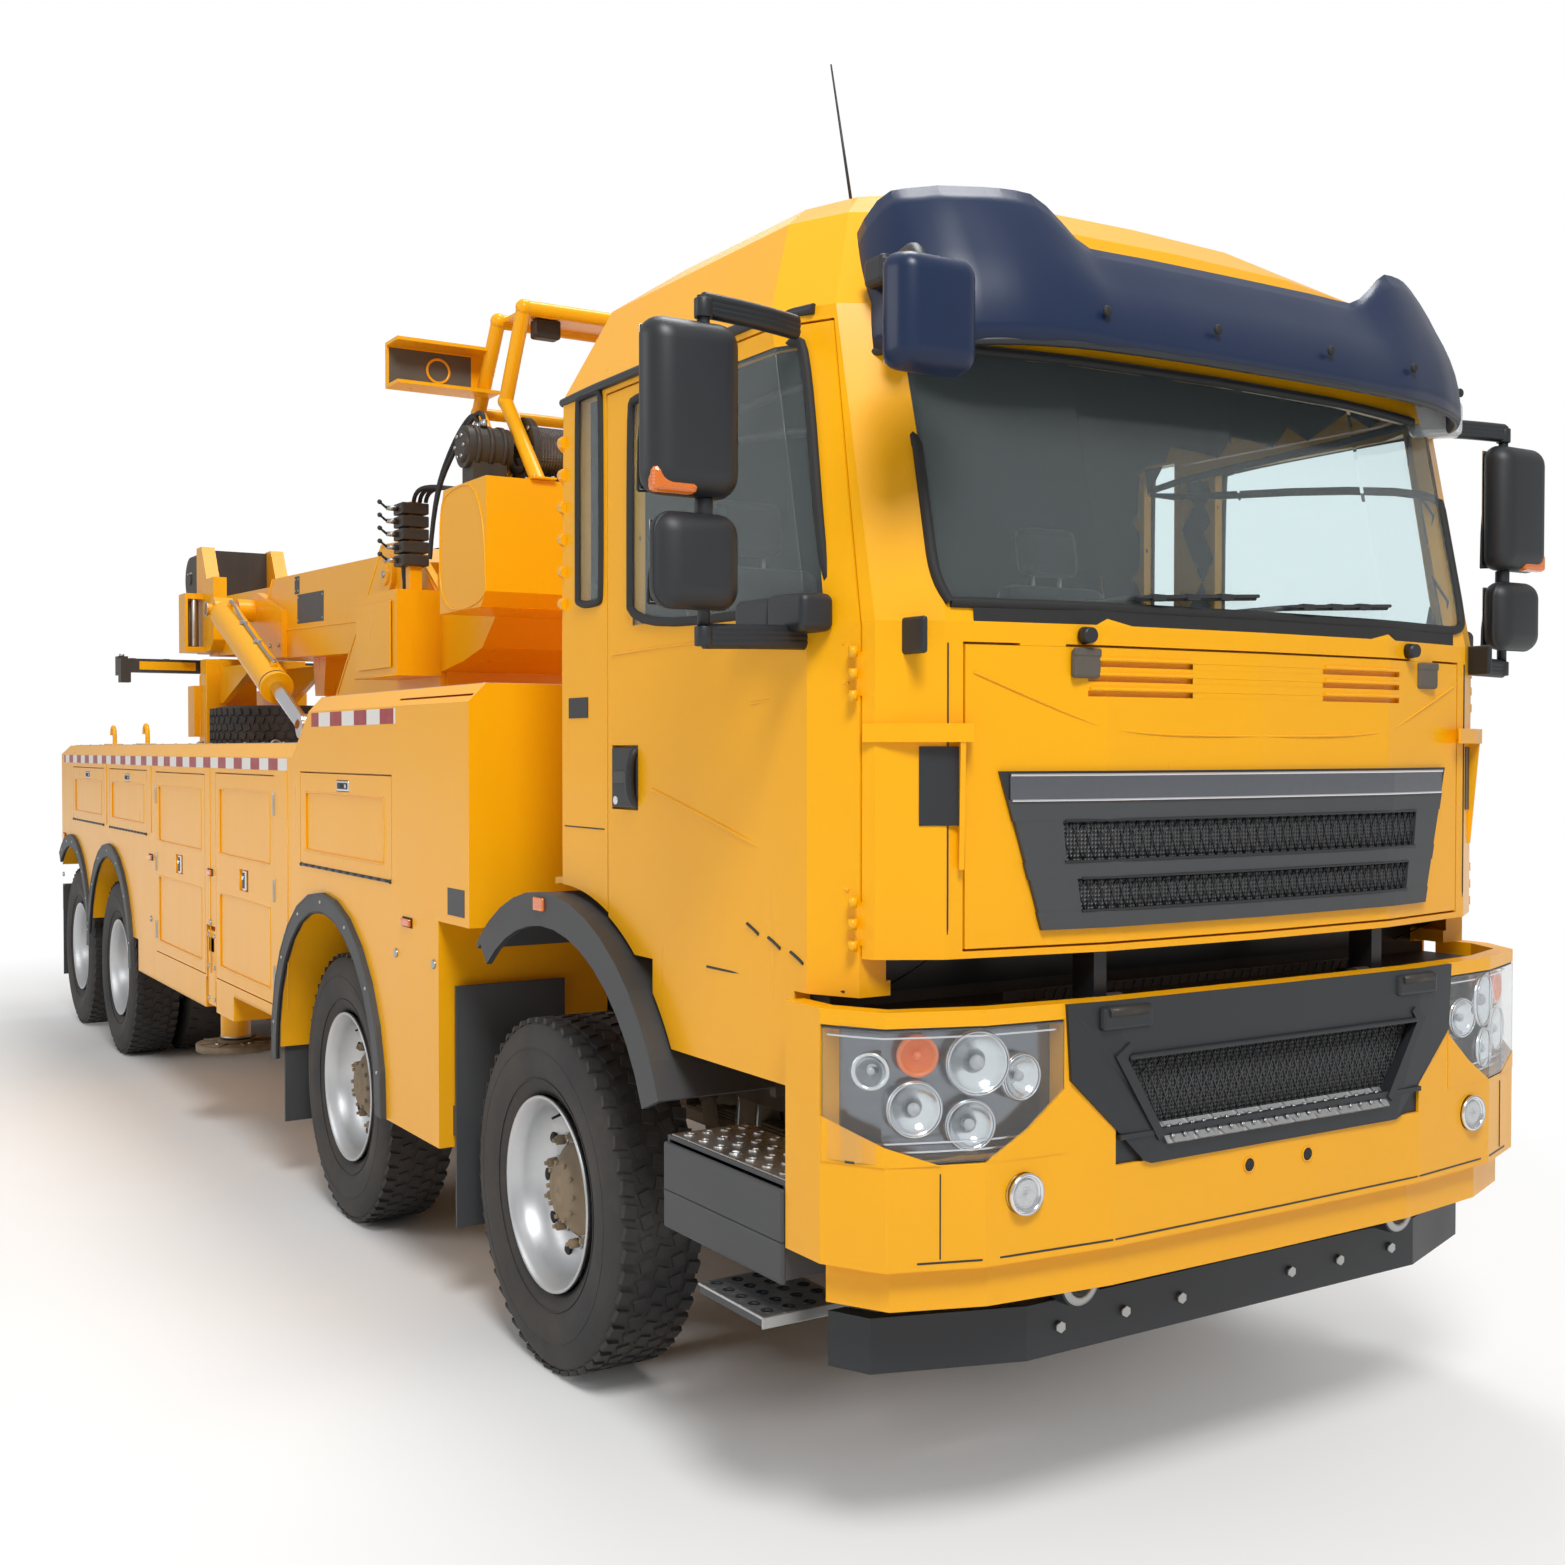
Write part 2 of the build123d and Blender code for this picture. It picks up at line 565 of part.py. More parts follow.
with BuildPart() as cab_shell:
    add(cab_outer.part)
    add(cab_inner.part, mode=Mode.SUBTRACT)
    block((-1200, 1200), (-1900, -1480), (1300, 1430), Mode.SUBTRACT)
    with BuildPart(mode=Mode.PRIVATE) as nose_floor:
        add(cab_outer.part)
        block((-1200, 1200), (-1900, -1480), (1430, 1475), Mode.INTERSECT)
    add(nose_floor.part)
    block((-1140, 1140), (-1480, -1440), (1330, 1475))
    # housings over the first wheels
    for x0, x1 in ((760, 1120), (-1120, -760)):
        rod_x(834, (x0, x1), ARCH_S, ARCH_Z)
    block((-1200, 1200), (-2, 900), (0, 1700), Mode.SUBTRACT)
    block((-1200, 1200), (-1440, 900), (-200, 1330), Mode.SUBTRACT)
    for x0, x1 in ((782, 1200), (-1200, -782)):
        rod_x(814, (x0, x1), ARCH_S, ARCH_Z, Mode.SUBTRACT)
    for side_name, side in SIDES:
        x0, x1 = sorted((side * 1000, side * 1200))
        grown = [(-424, 1334), (-424, 2916), (-1469, 2916), (-1600, 2190), (-1600, 1334)]
        slab([(s, z if z > 1400 else 1100) for s, z in grown], x0, x1, Mode.SUBTRACT)
        slab(QUARTER_WINDOW, x0, x1, Mode.SUBTRACT)
        # hinge knuckles of the door
        with BuildPart(mode=Mode.PRIVATE) as knuckles:
            add(cab_outer.part)
            block((x0, x1), (-1602, -1594 - RUN), (1460, 2130), Mode.INTERSECT)
            block((x0, x1), (-1610, -1590), (1560, 2030), Mode.SUBTRACT)
            add(cab_inner.part, mode=Mode.SUBTRACT)
        add(knuckles.part)
        # tilt lug and pin
        lug = sorted((side * 480, side * 520))
        block(lug, (-1755, -1680), (1265, 1440))
        rod_x(20, sorted((side * 432, side * 520)), -1740, 1290)
    wall(WINDSCREEN, -1900, -1450, Mode.SUBTRACT)
    # seat of the front panel
    with BuildPart(mode=Mode.PRIVATE) as panel_seat:
        add(cab_outer.part)
        block((-887, 887), (-1900, -1500), (1446, 2154), Mode.INTERSECT)
        add(cab_behind_panel.part, mode=Mode.SUBTRACT)
    add(panel_seat.part, mode=Mode.SUBTRACT)
    with BuildPart(mode=Mode.PRIVATE) as panel_hinges:
        add(cab_outer.part)
        block((-740, 740), (-1900, -1500), (2148 + RUN, 2156), Mode.INTERSECT)
        block((-620, 620), (-1900, -1500), (2140, 2160), Mode.SUBTRACT)
        add(cab_panel_back.part, mode=Mode.SUBTRACT)
    add(panel_hinges.part)
save(cab_shell.part, "cab_shell")

with BuildPart() as cab_glass:
    add(cab_outer.part)
    wall(WINDSCREEN, -1900, -1450, Mode.INTERSECT)
    with BuildPart(mode=Mode.PRIVATE) as quarter_panes:
        add(cab_outer.part)
        slab(QUARTER_WINDOW, -1200, 1200, Mode.INTERSECT)
    add(quarter_panes.part)
    add(cab_pane.part, mode=Mode.SUBTRACT)
save(cab_glass.part, "cab_glass")

with BuildPart() as cab_visor:
    plate([(-1010, -1470), (-960, -1700), (-520, -1840), (520, -1840), (960, -1700), (1010, -1470)], 2835, 3060)
    for x0, x1 in ((560, 990), (-990, -560)):
        block((x0, x1), (-1690, -1440), (3060, 3250))
    # hollow towards the windscreen
    plate([(-900, -1500), (-900, -1690), (-500, -1800), (500, -1800), (900, -1690), (900, -1500)], 2800, 3035,
          Mode.SUBTRACT)
    add(cab_outer.part, mode=Mode.SUBTRACT)
save(cab_visor.part, "cab_visor")

with BuildPart() as cab_trim:
    # gutters, front-view mirror and its arm
    for x0, x1 in ((1150, 1166), (-1166, -1150)):
        block((x0, x1), (-1300, -200), (2936, 2950))
    block((-1200, -950), (-1900, -1790), (2710, 2980))
    tube(14, (-1075, -1800, 2960), (-980, -1530, 3040))
    add(cab_outer.part, mode=Mode.SUBTRACT)
    add(cab_visor.part, mode=Mode.SUBTRACT)
save(cab_trim.part, "cab_trim")

with BuildPart() as cab_interior:
    for x in (-600, 600):
        block((x - 150, x + 150), (-860, -400), (1375, 1700))
        block((x - 240, x + 240), (-920, -380), (1700, 1830))
        slab([(-460, 1830), (-360, 1830), (-250, 2480), (-330, 2480)], x - 230, x + 230)
        slab([(-325, 2480), (-255, 2480), (-240, 2680), (-310, 2680)], x - 130, x + 130)
    block((-880, 880), (-1640, -1420), (1475, 2080))
    block((-300, 300), (-1440, -100), (1375, 1560))
    block((-700, 700), (-200, -60), (1375, 1900))
    # steering wheel square to its column
    tube(225, (600, -1190, 2070), (600, -1163, 2086))
    tube(190, (600, -1230, 2046), (600, -1120, 2112), Mode.SUBTRACT)
    tube(30, (600, -1450, 1914), (600, -1165, 2085))
    tube(70, (600, -1188, 2071), (600, -1165, 2085))
    tube(14, (390, -1177, 2078), (810, -1177, 2078))
save(cab_interior.part, "cab_interior")

for side_name, side in SIDES:
    x0, x1 = sorted((side * 1000, side * 1200))
    skirt = sorted((side * (CAB_X - CAB_WALL), side * CAB_X))
    with BuildPart() as door:
        add(cab_outer.part)
        slab(DOOR_OUTLINE, x0, x1, Mode.INTERSECT)
        add(cab_inner.part, mode=Mode.SUBTRACT)
        slab([(-1415, 1110), (-1415, 1400), (-700, 1400), (-700, 1110)], skirt[0], skirt[1])
        rod_x(804, (-1300, 1300), ARCH_S, ARCH_Z, Mode.SUBTRACT)
        slab(DOOR_WINDOW, x0, x1, Mode.SUBTRACT)
        # handle pocket
        block(sorted((side * (CAB_X - 20), side * (CAB_X + 5))), (-615, -455), (1740, 1920), Mode.SUBTRACT)
        block(sorted((side * (CAB_X - 20), side * (CAB_X + 2))), (-600, -470), (1810, 1850))
    save(door.part, f"door_{side_name}")
    with BuildPart() as door_glass:
        add(cab_outer.part)
        slab(DOOR_WINDOW, x0, x1, Mode.INTERSECT)
        add(cab_pane.part, mode=Mode.SUBTRACT)
    save(door_glass.part, f"door_glass_{side_name}")
    with BuildPart() as mirrors:
        block(sorted((side * 1345, side * 1600)), (-1545, -1450), (2455, 2860))
        block(sorted((side * 1345, side * 1575)), (-1540, -1455), (2210, 2435))
        tube(14, (side * 1430, -1480, 2140), (side * 1430, -1480, 2915))
        tube(12, (side * 1060, -1380, 2893), (side * 1430, -1480, 2893))
        tube(12, (side * 1130, -1430, 2160), (side * 1430, -1480, 2160))
        add(cab_outer.part, mode=Mode.SUBTRACT)
    save(mirrors.part, f"mirrors_{side_name}")

with BuildPart() as front_panel:
    add(cab_outer.part)
    block((-881, 881), (-1900, -1500), (1452, 2148), Mode.INTERSECT)
    add(cab_panel_back.part, mode=Mode.SUBTRACT)
    for z in (2040, 2075, 2110):
        with BuildPart(mode=Mode.PRIVATE) as louvre:
            add(cab_outer.part)
            block((-560, 560), (-1900, -1500), (z - 7, z + 7), Mode.INTERSECT)
            add(cab_pane.part, mode=Mode.SUBTRACT)
        add(louvre.part, mode=Mode.SUBTRACT)
save(front_panel.part, "front_panel")

with BuildPart() as grille:
    add(cab_ahead.part)
    wall([(-690, 1487), (690, 1487), (800, 1860), (-800, 1860)], -1900, -1500, Mode.INTERSECT)
    add(cab_outer.part, mode=Mode.SUBTRACT)
    # mesh bands between the frame and the strip
    for z0, z1, half in ((1500, 1612, 672), (1636, 1758, 712)):
        rows = 4
        pitch = (z1 - z0) / rows
        for i in range(rows):
            block((-half, half), (-1822, -1690), (z0 + i * pitch + 5, z0 + (i + 1) * pitch - 5), Mode.SUBTRACT)
save(grille.part, "grille")

# ---------------------------------------------------------------- crane
def boom_pt(along, up):
    """A point along and above the boom's line, as (s, z)."""
    t = radians(BOOM_TILT)
    return (BOOM_S + along * cos(t) - up * sin(t), BOOM_Z + along * sin(t) + up * cos(t))


def boom_slab(outline, x0, x1, mode=Mode.ADD):
    slab([boom_pt(a, b) for a, b in outline], x0, x1, mode)


EAR = (4800, 2040)
PIN_B = (6650, 2830)

with BuildPart() as turret:
    # ring and pedestal inside the well
    rod_z(560, 0, SLEW_S, (1506, 1600))
    rod_z(440, 0, SLEW_S, (1500 + RUN, 1510))
    rod_z(545, 0, SLEW_S, (1600, 1970))
    # floor and side plates
    block((0, 360), (3000, 4900), (1955, 2000))
    slab([(3000, 1960), (3000, 2670), (3410, 2960), (3860, 2980), (4640, 2215), (4900, 2000), (4900, 1960)], 325, 360)
    rod_x(95, (325, 385), BOOM_S, BOOM_Z)
    rod_x(70, (355, 445), *EAR)
    # shoulders, closed front plate and nose under the winches
    block((355, 580), (2990, 3600), (2260, 2670))
    block((0, 330), (2990, 3030), (1960, 2670))
    slab([(2180, 2500), (2310, 2500), (2470, 2370), (2700, 2320), (3000, 2280), (3000, 2600), (2180, 2600)], 0, 360)
    # winch box
    slab([(1775, 2560), (1775, 3035), (2260, 3035), (2310, 2900), (2310, 2500), (1840, 2500)], 0, 620)
    block((300, 360), (2300, 3030), (2590, 2760))
    # pins: the boom's pivot
    rod_x(45, (250, 385), BOOM_S, BOOM_Z)
    mirror(about=Plane.YZ)
    # hoop over the winches
    for x in (-370, 370):
        for a, b in (((1800, 3020), (2160, 3430)), ((2160, 3430), (1960, 3795)),
                     ((2100, 3020), (2475, 3430)), ((2475, 3430), (2240, 3795))):
            tube(32, (x, *a), (x, *b))
        for s, z in ((2160, 3430), (2475, 3430), (1960, 3795), (2240, 3795)):
            with Locations((x, y_at(s), z)):
                Sphere(36)
    for s in (1960, 2240):
        rod_x(32, (-370, 370), s, 3795)
    block((-360, 360), (1960, 2240), (3785, 3801))
    rod_x(26, (-370, 370), 2475, 3430)
    for x0, x1 in ((-810, -340), (340, 810)):
        block((x0, x1), (2440, 2460), (3490, 3690))
        block((x0, x1), (2300, 2450), (3490, 3505))
        block((x0, x1), (2300, 2450), (3675, 3690))
        rod_y(45, (x0 + x1) / 2, (2400, 2500), 3590, Mode.SUBTRACT)
    # valve post
    block((-480, -420), (3080, 3140), (2660, 3100))
# the base, the two cheeks, the nose and the winch box are welded together
save(Compound(cut_up(turret.part, (-1000, -325, 325, 1000), (1000, 2320, 3030, 3610, 4700, 5200), (1400, 2000, 4000))), "turret")

with BuildPart() as winches:
    # two drums side by side between the hoop's legs, motors outside
    for x0 in (-335, 25):
        for x in (x0, x0 + 280):
            rod_x(150, (x, x + 30), 2080, 3200)
            block((x, x + 30), (1960, 2220), (3035, 3190))
        rod_x(80, (x0 + 20, x0 + 290), 2080, 3200)
        block((x0 + 20, x0 + 290), (1960, 2220), (3035, 3055))
    for x0, x1 in ((-600, -405), (405, 600)):
        rod_x(90, (x0, x1), 2080, 3200)
        block((x0 + 20, x1 - 20), (2020, 2140), (3035, 3150))
    rod_x(25, (-500, 500), 2080, 3200)
save(winches.part, "winches")

with BuildPart() as boom_outer:
    boom_slab([(-210, -300), (-210, 60), (-130, 135), (2590, 135), (3050, -380), (-100, -380)], -260, 260)
    boom_slab([(-120, -360), (-120, 115), (3300, 115), (3300, -360)], -240, 240, Mode.SUBTRACT)
    rod_x(45 + RUN, (-300, 300), BOOM_S, BOOM_Z, Mode.SUBTRACT)
    for x0, x1 in ((-312, -240), (240, 312)):
        rod_x(85, (x0, x1), BOOM_S, BOOM_Z)
        rod_x(45 + RUN, (x0 - 5, x1 + 5), BOOM_S, BOOM_Z, Mode.SUBTRACT)
    # wear pads that the inner section rides on
    boom_slab([(2400, -365), (2400, -325 - RUN), (2900, -325 - RUN), (2900, -365)], -200, 200)
    boom_slab([(1200, 107), (1200, 120), (1500, 120), (1500, 107)], -200, 200)
    # belly bracket and the lift cylinders' pin
    boom_slab([(1860, -375), (1900, -620), (2080, -620), (2130, -375)], -130, 130)
    boom_slab([(2100, -640), (2060, -640), (1880, -640), (1900, -375), (2060, -375)], -60, 60)
    for x0, x1 in ((-292, -238), (238, 292)):
        boom_slab([(2250, -376), (2250, -80), (2850, 60), (3040, 40), (3060, -120), (2960, -376)], x0, x1)
    for x0, x1 in ((-400, -255), (255, 400)):
        rod_x(75, (x0, x1), *PIN_B)
    for x0, x1 in ((-600, -255), (255, 600)):
        rod_x(38, (x0, x1), *PIN_B)
save(boom_outer.part, "boom_outer")

with BuildPart() as boom_inner:
    boom_slab([(-100, -325), (-100, 100), (4490, 100), (4490, -325)], -210, 210)
    boom_slab([(-60, -305), (-60, 80), (4470, 80), (4470, -305)], -190, 190, Mode.SUBTRACT)
    # head plates and rope guides
    for side in (1, -1):
        x0, x1 = sorted((side * 205, side * 300))
        slab([(7700, 2700), (7800, 2625), (8200, 2615), (8200, 3400), (8050, 3400), (7900, 3150), (7700, 3150)],
             x0, x1)
        x0, x1 = sorted((side * 295, side * 430))
        block((x0, x1), (8000, 8200), (2620, 2660))
        block((x0, x1), (8000, 8200), (3010, 3050))
        x0, x1 = sorted((side * 410, side * 430))
        block((x0, x1), (8000, 8200), (2620, 3050))
save(boom_inner.part, "boom_inner")

with BuildPart() as sheave_head:
    for x0, x1 in ((-203, -173), (-15, 15), (173, 203)):
        slab([(8190, 3060), (8190, 3390), (8700, 3400), (8700, 3060)], x0, x1)
        rod_x(170, (x0, x1), 8830, 3230)
        block((x0, x1), (8500, 8830), (3060, 3400))
    for x0, x1 in ((-160, -28), (28, 160)):
        rod_x(150, (x0, x1), 8830, 3230)
        rod_x(110, (x0, x1), 8400, 3250)
    rod_x(30, (-200, 200), 8830, 3230)
    rod_x(30, (-200, 200), 8400, 3250)
    block((-220, 220), (8160, 8200), (3040, 3390))
    add(boom_inner.part, mode=Mode.SUBTRACT)
save(sheave_head.part, "sheave_head")

# the lift cylinders lie on the line from the boom's pin to the turret's ear
CYL_LEN = ((EAR[0] - PIN_B[0]) ** 2 + (EAR[1] - PIN_B[1]) ** 2) ** 0.5
CYL_DIR = ((EAR[0] - PIN_B[0]) / CYL_LEN, (EAR[1] - PIN_B[1]) / CYL_LEN)


def on_cylinder(x, distance):
    return (x, PIN_B[0] + CYL_DIR[0] * distance, PIN_B[1] + CYL_DIR[1] * distance)


with BuildPart() as lift_barrels:
    for x in (-495, 495):
        tube(95, on_cylinder(x, 100), on_cylinder(x, 1420))
        rod_x(80, (x - 60, x + 60), *PIN_B)
        tube(70, on_cylinder(x, 0), on_cylinder(x, 120))
        tube(44 + RUN, on_cylinder(x, 140), on_cylinder(x, 1500), Mode.SUBTRACT)
        rod_x(38 + RUN, (x - 120, x + 120), *PIN_B, Mode.SUBTRACT)
save(lift_barrels.part, "lift_barrels")

with BuildPart() as lift_rods:
    for x in (-490, 490):
        tube(44, on_cylinder(x * 495 / 490, 165), on_cylinder(x * 495 / 490, CYL_LEN - 30))
        rod_x(70, (x - 35, x + 35), *EAR)
save(lift_rods.part, "lift_rods")

# ---------------------------------------------------------------- underlift
with BuildPart() as lift_arm_outer:
    block((-150, 150), (8110, 8400), (850, 1900))
    rod_x(145, (-150, 150), 8250, 850)
    block((-128, 128), (8132, 8372), (1010, 1950), Mode.SUBTRACT)
    block((-120, 120), (8364 + RUN, 8380), (1700, 1880))
    block((-120, 120), (8124, 8140 - RUN), (1700, 1880))
    rod_x(30, (-225, 225), 8250, 850)
    block((-110, 110), (8100, 8112), (1200, 1260))
save(lift_arm_outer.part, "lift_arm_outer")

with BuildPart() as lift_arm_inner:
    block((-120, 120), (8140, 8364), (1030, 2400))
    block((-98, 98), (8162, 8342), (1060, 2300), Mode.SUBTRACT)
    block((-60, 60), (8140, 8240), (2380, 2525))
    rod_y(60, 0, (8140, 8240), 2525)
    rod_y(30 + RUN, 0, (8130, 8250), 2525, Mode.SUBTRACT)
save(lift_arm_inner.part, "lift_arm_inner")

with BuildPart() as crossbar:
    block((-830, 830), (8250, 8350), (2475, 2575))
    block((-120, 120), (8246, 8356), (2462, 2588))
    rod_y(30, 0, (8180, 8300), 2525, Mode.ADD)
    for x0, x1 in ((-830, -760), (760, 830)):
        block((x0, x1), (8350, 8460), (2455, 2595))
        block((x0, x1), (8250, 8350), (2400, 2480))
save(crossbar.part, "crossbar")

# ---------------------------------------------------------------- outriggers
for side_name, side in SIDES:
    tube_x = side * 1130
    with BuildPart() as outrigger_beam:
        block(sorted((side * 60, side * 1120)), (3745, 3895), (569 + RUN, 735))
        rod_z(72, tube_x, 3820, (470, 1000))
        rod_z(50 + RUN, tube_x, 3820, (400, 970), Mode.SUBTRACT)
        block(sorted((side * 1190, side * 1245)), (3740, 3890), (640, 1010))
    save(outrigger_beam.part, f"outrigger_beam_{side_name}")
    with BuildPart() as outrigger_foot:
        rod_z(50, tube_x, 3820, (440, 930))
        rod_z(190, tube_x, 3820, (412, 445))
        rod_z(90, tube_x, 3820, (440, 462))
    save(outrigger_foot.part, f"outrigger_foot_{side_name}")
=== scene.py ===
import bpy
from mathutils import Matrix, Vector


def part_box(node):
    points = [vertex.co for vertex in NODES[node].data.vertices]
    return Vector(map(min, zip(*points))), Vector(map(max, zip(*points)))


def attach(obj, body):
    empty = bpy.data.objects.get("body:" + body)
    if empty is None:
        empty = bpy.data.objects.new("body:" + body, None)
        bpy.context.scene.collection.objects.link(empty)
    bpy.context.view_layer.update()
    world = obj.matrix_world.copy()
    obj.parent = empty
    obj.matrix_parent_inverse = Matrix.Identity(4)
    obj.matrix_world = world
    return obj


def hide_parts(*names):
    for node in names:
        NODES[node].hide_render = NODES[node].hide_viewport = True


bl_info = {
    "name": "Recovery Truck",
    "version": (1, 0, 0),
    "blender": (4, 5, 0),
    "location": "View3D > Sidebar > Truck",
    "description": "Dresses the frame of a four-axle recovery truck",
    "category": "Add Mesh",
}

from math import cos, pi, radians, sin

import bmesh
import bpy
from mathutils import Matrix, Vector

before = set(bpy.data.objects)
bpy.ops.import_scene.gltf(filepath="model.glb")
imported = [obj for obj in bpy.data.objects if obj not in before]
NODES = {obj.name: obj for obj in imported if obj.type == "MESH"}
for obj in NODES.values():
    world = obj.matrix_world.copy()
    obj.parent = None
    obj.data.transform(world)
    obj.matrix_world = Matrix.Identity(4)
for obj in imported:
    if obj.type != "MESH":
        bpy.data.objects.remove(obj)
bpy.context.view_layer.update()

# Distances along the truck are counted rearward from the first axle.
AXLE_1_Y = -3.55
AXLES = (0.0, 1.95, 6.4, 7.75)
HUB_Z = 0.542
BODY_X = 1.25
# pins and axes across the truck: s, z
WINCH_AXIS = (2.08, 3.2)
BOOM_PIVOT = (3.71, 2.81)
EAR_PIN = (4.8, 2.04)
BARREL_PIN = (6.65, 2.83)
# outrigger leg, upright: x, s
OUTRIGGER = (1.13, 3.82)
SIDES = (("left", 1), ("right", -1))
# name, front, rear, foot, top, hinged edge
LOCKERS = (
    ("a", 6.59, 7.7, 1.425, 1.785, "foot"),
    ("b", 5.3, 6.4, 1.42, 1.785, "foot"),
    ("c", 3.93, 5.06, 0.785, 1.78, "rear"),
    ("d", 2.66, 3.7, 0.79, 1.79, "front"),
    ("e", 1.13, 2.26, 1.427, 1.811, "foot"),
)


def at(x, s, z):
    """A place in the row frame from x, the distance behind the first axle, and height."""
    return Vector((x, s + AXLE_1_Y, z))


# ------------------------------------------------------------------ shaders
class Value:
    """A number in a node tree that takes Python's operators."""

    def __init__(self, tree, socket):
        self.tree = tree
        self.socket = socket

    def _math(self, operation, first, second):
        node = self.tree.nodes.new("ShaderNodeMath")
        node.operation = operation
        for slot, item in zip(node.inputs, (first, second)):
            if isinstance(item, Value):
                self.tree.links.new(item.socket, slot)
            elif item is not None:
                slot.default_value = item
        return Value(self.tree, node.outputs[0])

    def __add__(self, other):
        return self._math("ADD", self, other)

    def __radd__(self, other):
        return self._math("ADD", other, self)

    def __sub__(self, other):
        return self._math("SUBTRACT", self, other)

    def __rsub__(self, other):
        return self._math("SUBTRACT", other, self)

    def __mul__(self, other):
        return self._math("MULTIPLY", self, other)

    def __rmul__(self, other):
        return self._math("MULTIPLY", other, self)

    def __truediv__(self, other):
        return self._math("DIVIDE", self, other)

    def __gt__(self, other):
        return self._math("GREATER_THAN", self, other)

    def fraction(self):
        return self._math("FRACT", self, None)

    def wave(self):
        return self._math("SINE", self, None)

    def clamped(self):
        low = self._math("MAXIMUM", self, 0.0)
        return low._math("MINIMUM", low, 1.0)


class Finish:
    """One material: a principled shader and the nodes that feed it."""

    def __init__(self, name, colour, roughness, metallic=0.0, **sockets):
        self.material = bpy.data.materials.new(name)
        self.material.use_nodes = True
        self.material.diffuse_color = (*colour, 1.0)
        self.tree = self.material.node_tree
        self.shader = self.tree.nodes["Principled BSDF"]
        self.colour = colour
        self.roughness = roughness
        self.set("Base Color", (*colour, 1.0))
        self.set("Roughness", roughness)
        self.set("Metallic", metallic)
        for socket, value in sockets.items():
            self.set(socket.replace("_", " "), value)
        self.place = self.node("ShaderNodeTexCoord", output="Object")

    def set(self, socket, value):
        slot = self.shader.inputs[socket]
        if isinstance(value, Value):
            self.tree.links.new(value.socket, slot)
        else:
            slot.default_value = value

    def node(self, kind, settings=None, inputs=None, output=0):
        node = self.tree.nodes.new(kind)
        for key, value in (settings or {}).items():
            if key == "stops":
                ramp = node.color_ramp.elements
                while len(ramp) < len(value):
                    ramp.new(0.5)
                for element, (position, colour) in zip(ramp, value):
                    element.position = position
                    element.color = (*colour, 1.0)
            else:
                setattr(node, key, value)
        for key, value in (inputs or {}).items():
            if isinstance(value, Value):
                self.tree.links.new(value.socket, node.inputs[key])
            else:
                node.inputs[key].default_value = value
        return Value(self.tree, node.outputs[output])

    def noise(self, scale, detail=3.0, stretch=None):
        place = self.place
        if stretch:
            place = self.node("ShaderNodeMapping", inputs={"Vector": place, "Scale": stretch})
        return self.node("ShaderNodeTexNoise", inputs={"Vector": place, "Scale": scale, "Detail": detail})

    def axes(self):
        split = self.tree.nodes.new("ShaderNodeSeparateXYZ")
        self.tree.links.new(self.place.socket, split.inputs[0])
        return [Value(self.tree, out) for out in split.outputs]

    def mix(self, factor, first, second):
        """Mixes two colours by a factor."""
        node = self.tree.nodes.new("ShaderNodeMix")
        node.data_type = "RGBA"
        for index, item in ((0, factor), (6, first), (7, second)):
            if isinstance(item, Value):
                self.tree.links.new(item.socket, node.inputs[index])
            elif index == 0:
                node.inputs[index].default_value = item
            else:
                node.inputs[index].default_value = (*item, 1.0)
        return Value(self.tree, node.outputs[2])

    def bump(self, height, strength=0.3, distance=0.002):
        self.set("Normal", self.node("ShaderNodeBump", inputs={
            "Height": height, "Strength": strength, "Distance": distance}))


def painted(name, colour, dust=0.25, roughness=0.3, black_below=None):
    """Sprayed enamel with road film low down and fine orange peel."""
    finish = Finish(name, colour, roughness, Coat_Weight=0.06, Coat_Roughness=0.1, Specular_IOR_Level=0.3)
    x, y, z = finish.axes()
    cloud = finish.noise(1.7, 4.0)
    streaks = finish.noise(2.2, 5.0, (5.0, 5.0, 0.6))
    low = ((1.25 - z) / 1.1).clamped()
    film = ((low * 0.75 + 0.12) * (cloud * 0.8 + streaks * 0.9) * dust * 1.7).clamped()
    shade = finish.mix((cloud * 0.25).clamped(), colour, tuple(c * 0.86 for c in colour))
    shade = finish.mix(film, shade, (0.36, 0.27, 0.17))
    # painted shade: the cab's feet and low front edge go near-black, like the dark gap over the bumper
    if black_below:
        under = (black_below - z > 0.0) * (y * -1.0 - 5.02 > 0.0) * (1.277 - x * x > 0.0)
        shade = finish.mix(under, shade, (0.016, 0.016, 0.018))
    finish.set("Base Color", shade)
    finish.set("Roughness", (film * 0.5 + streaks * 0.1 + (roughness - 0.06)).clamped())
    finish.bump(finish.noise(420.0, 1.0) * 0.4 + finish.noise(2.6, 1.0) * 3.0, 0.1, 0.0012)
    return finish.material


def plastic(name, colour, roughness=0.55, grain=600.0):
    """Moulded plastic with a fine grain and faded patches."""
    finish = Finish(name, colour, roughness)
    patches = finish.noise(3.1, 4.0)
    finish.set("Base Color", finish.mix((patches * 0.55).clamped(), colour,
        tuple(c * 1.5 + 0.012 for c in colour)))
    finish.set("Roughness", (patches * 0.25 + (roughness - 0.12)).clamped())
    finish.bump(finish.noise(grain, 2.0), 0.25, 0.0006)
    return finish.material


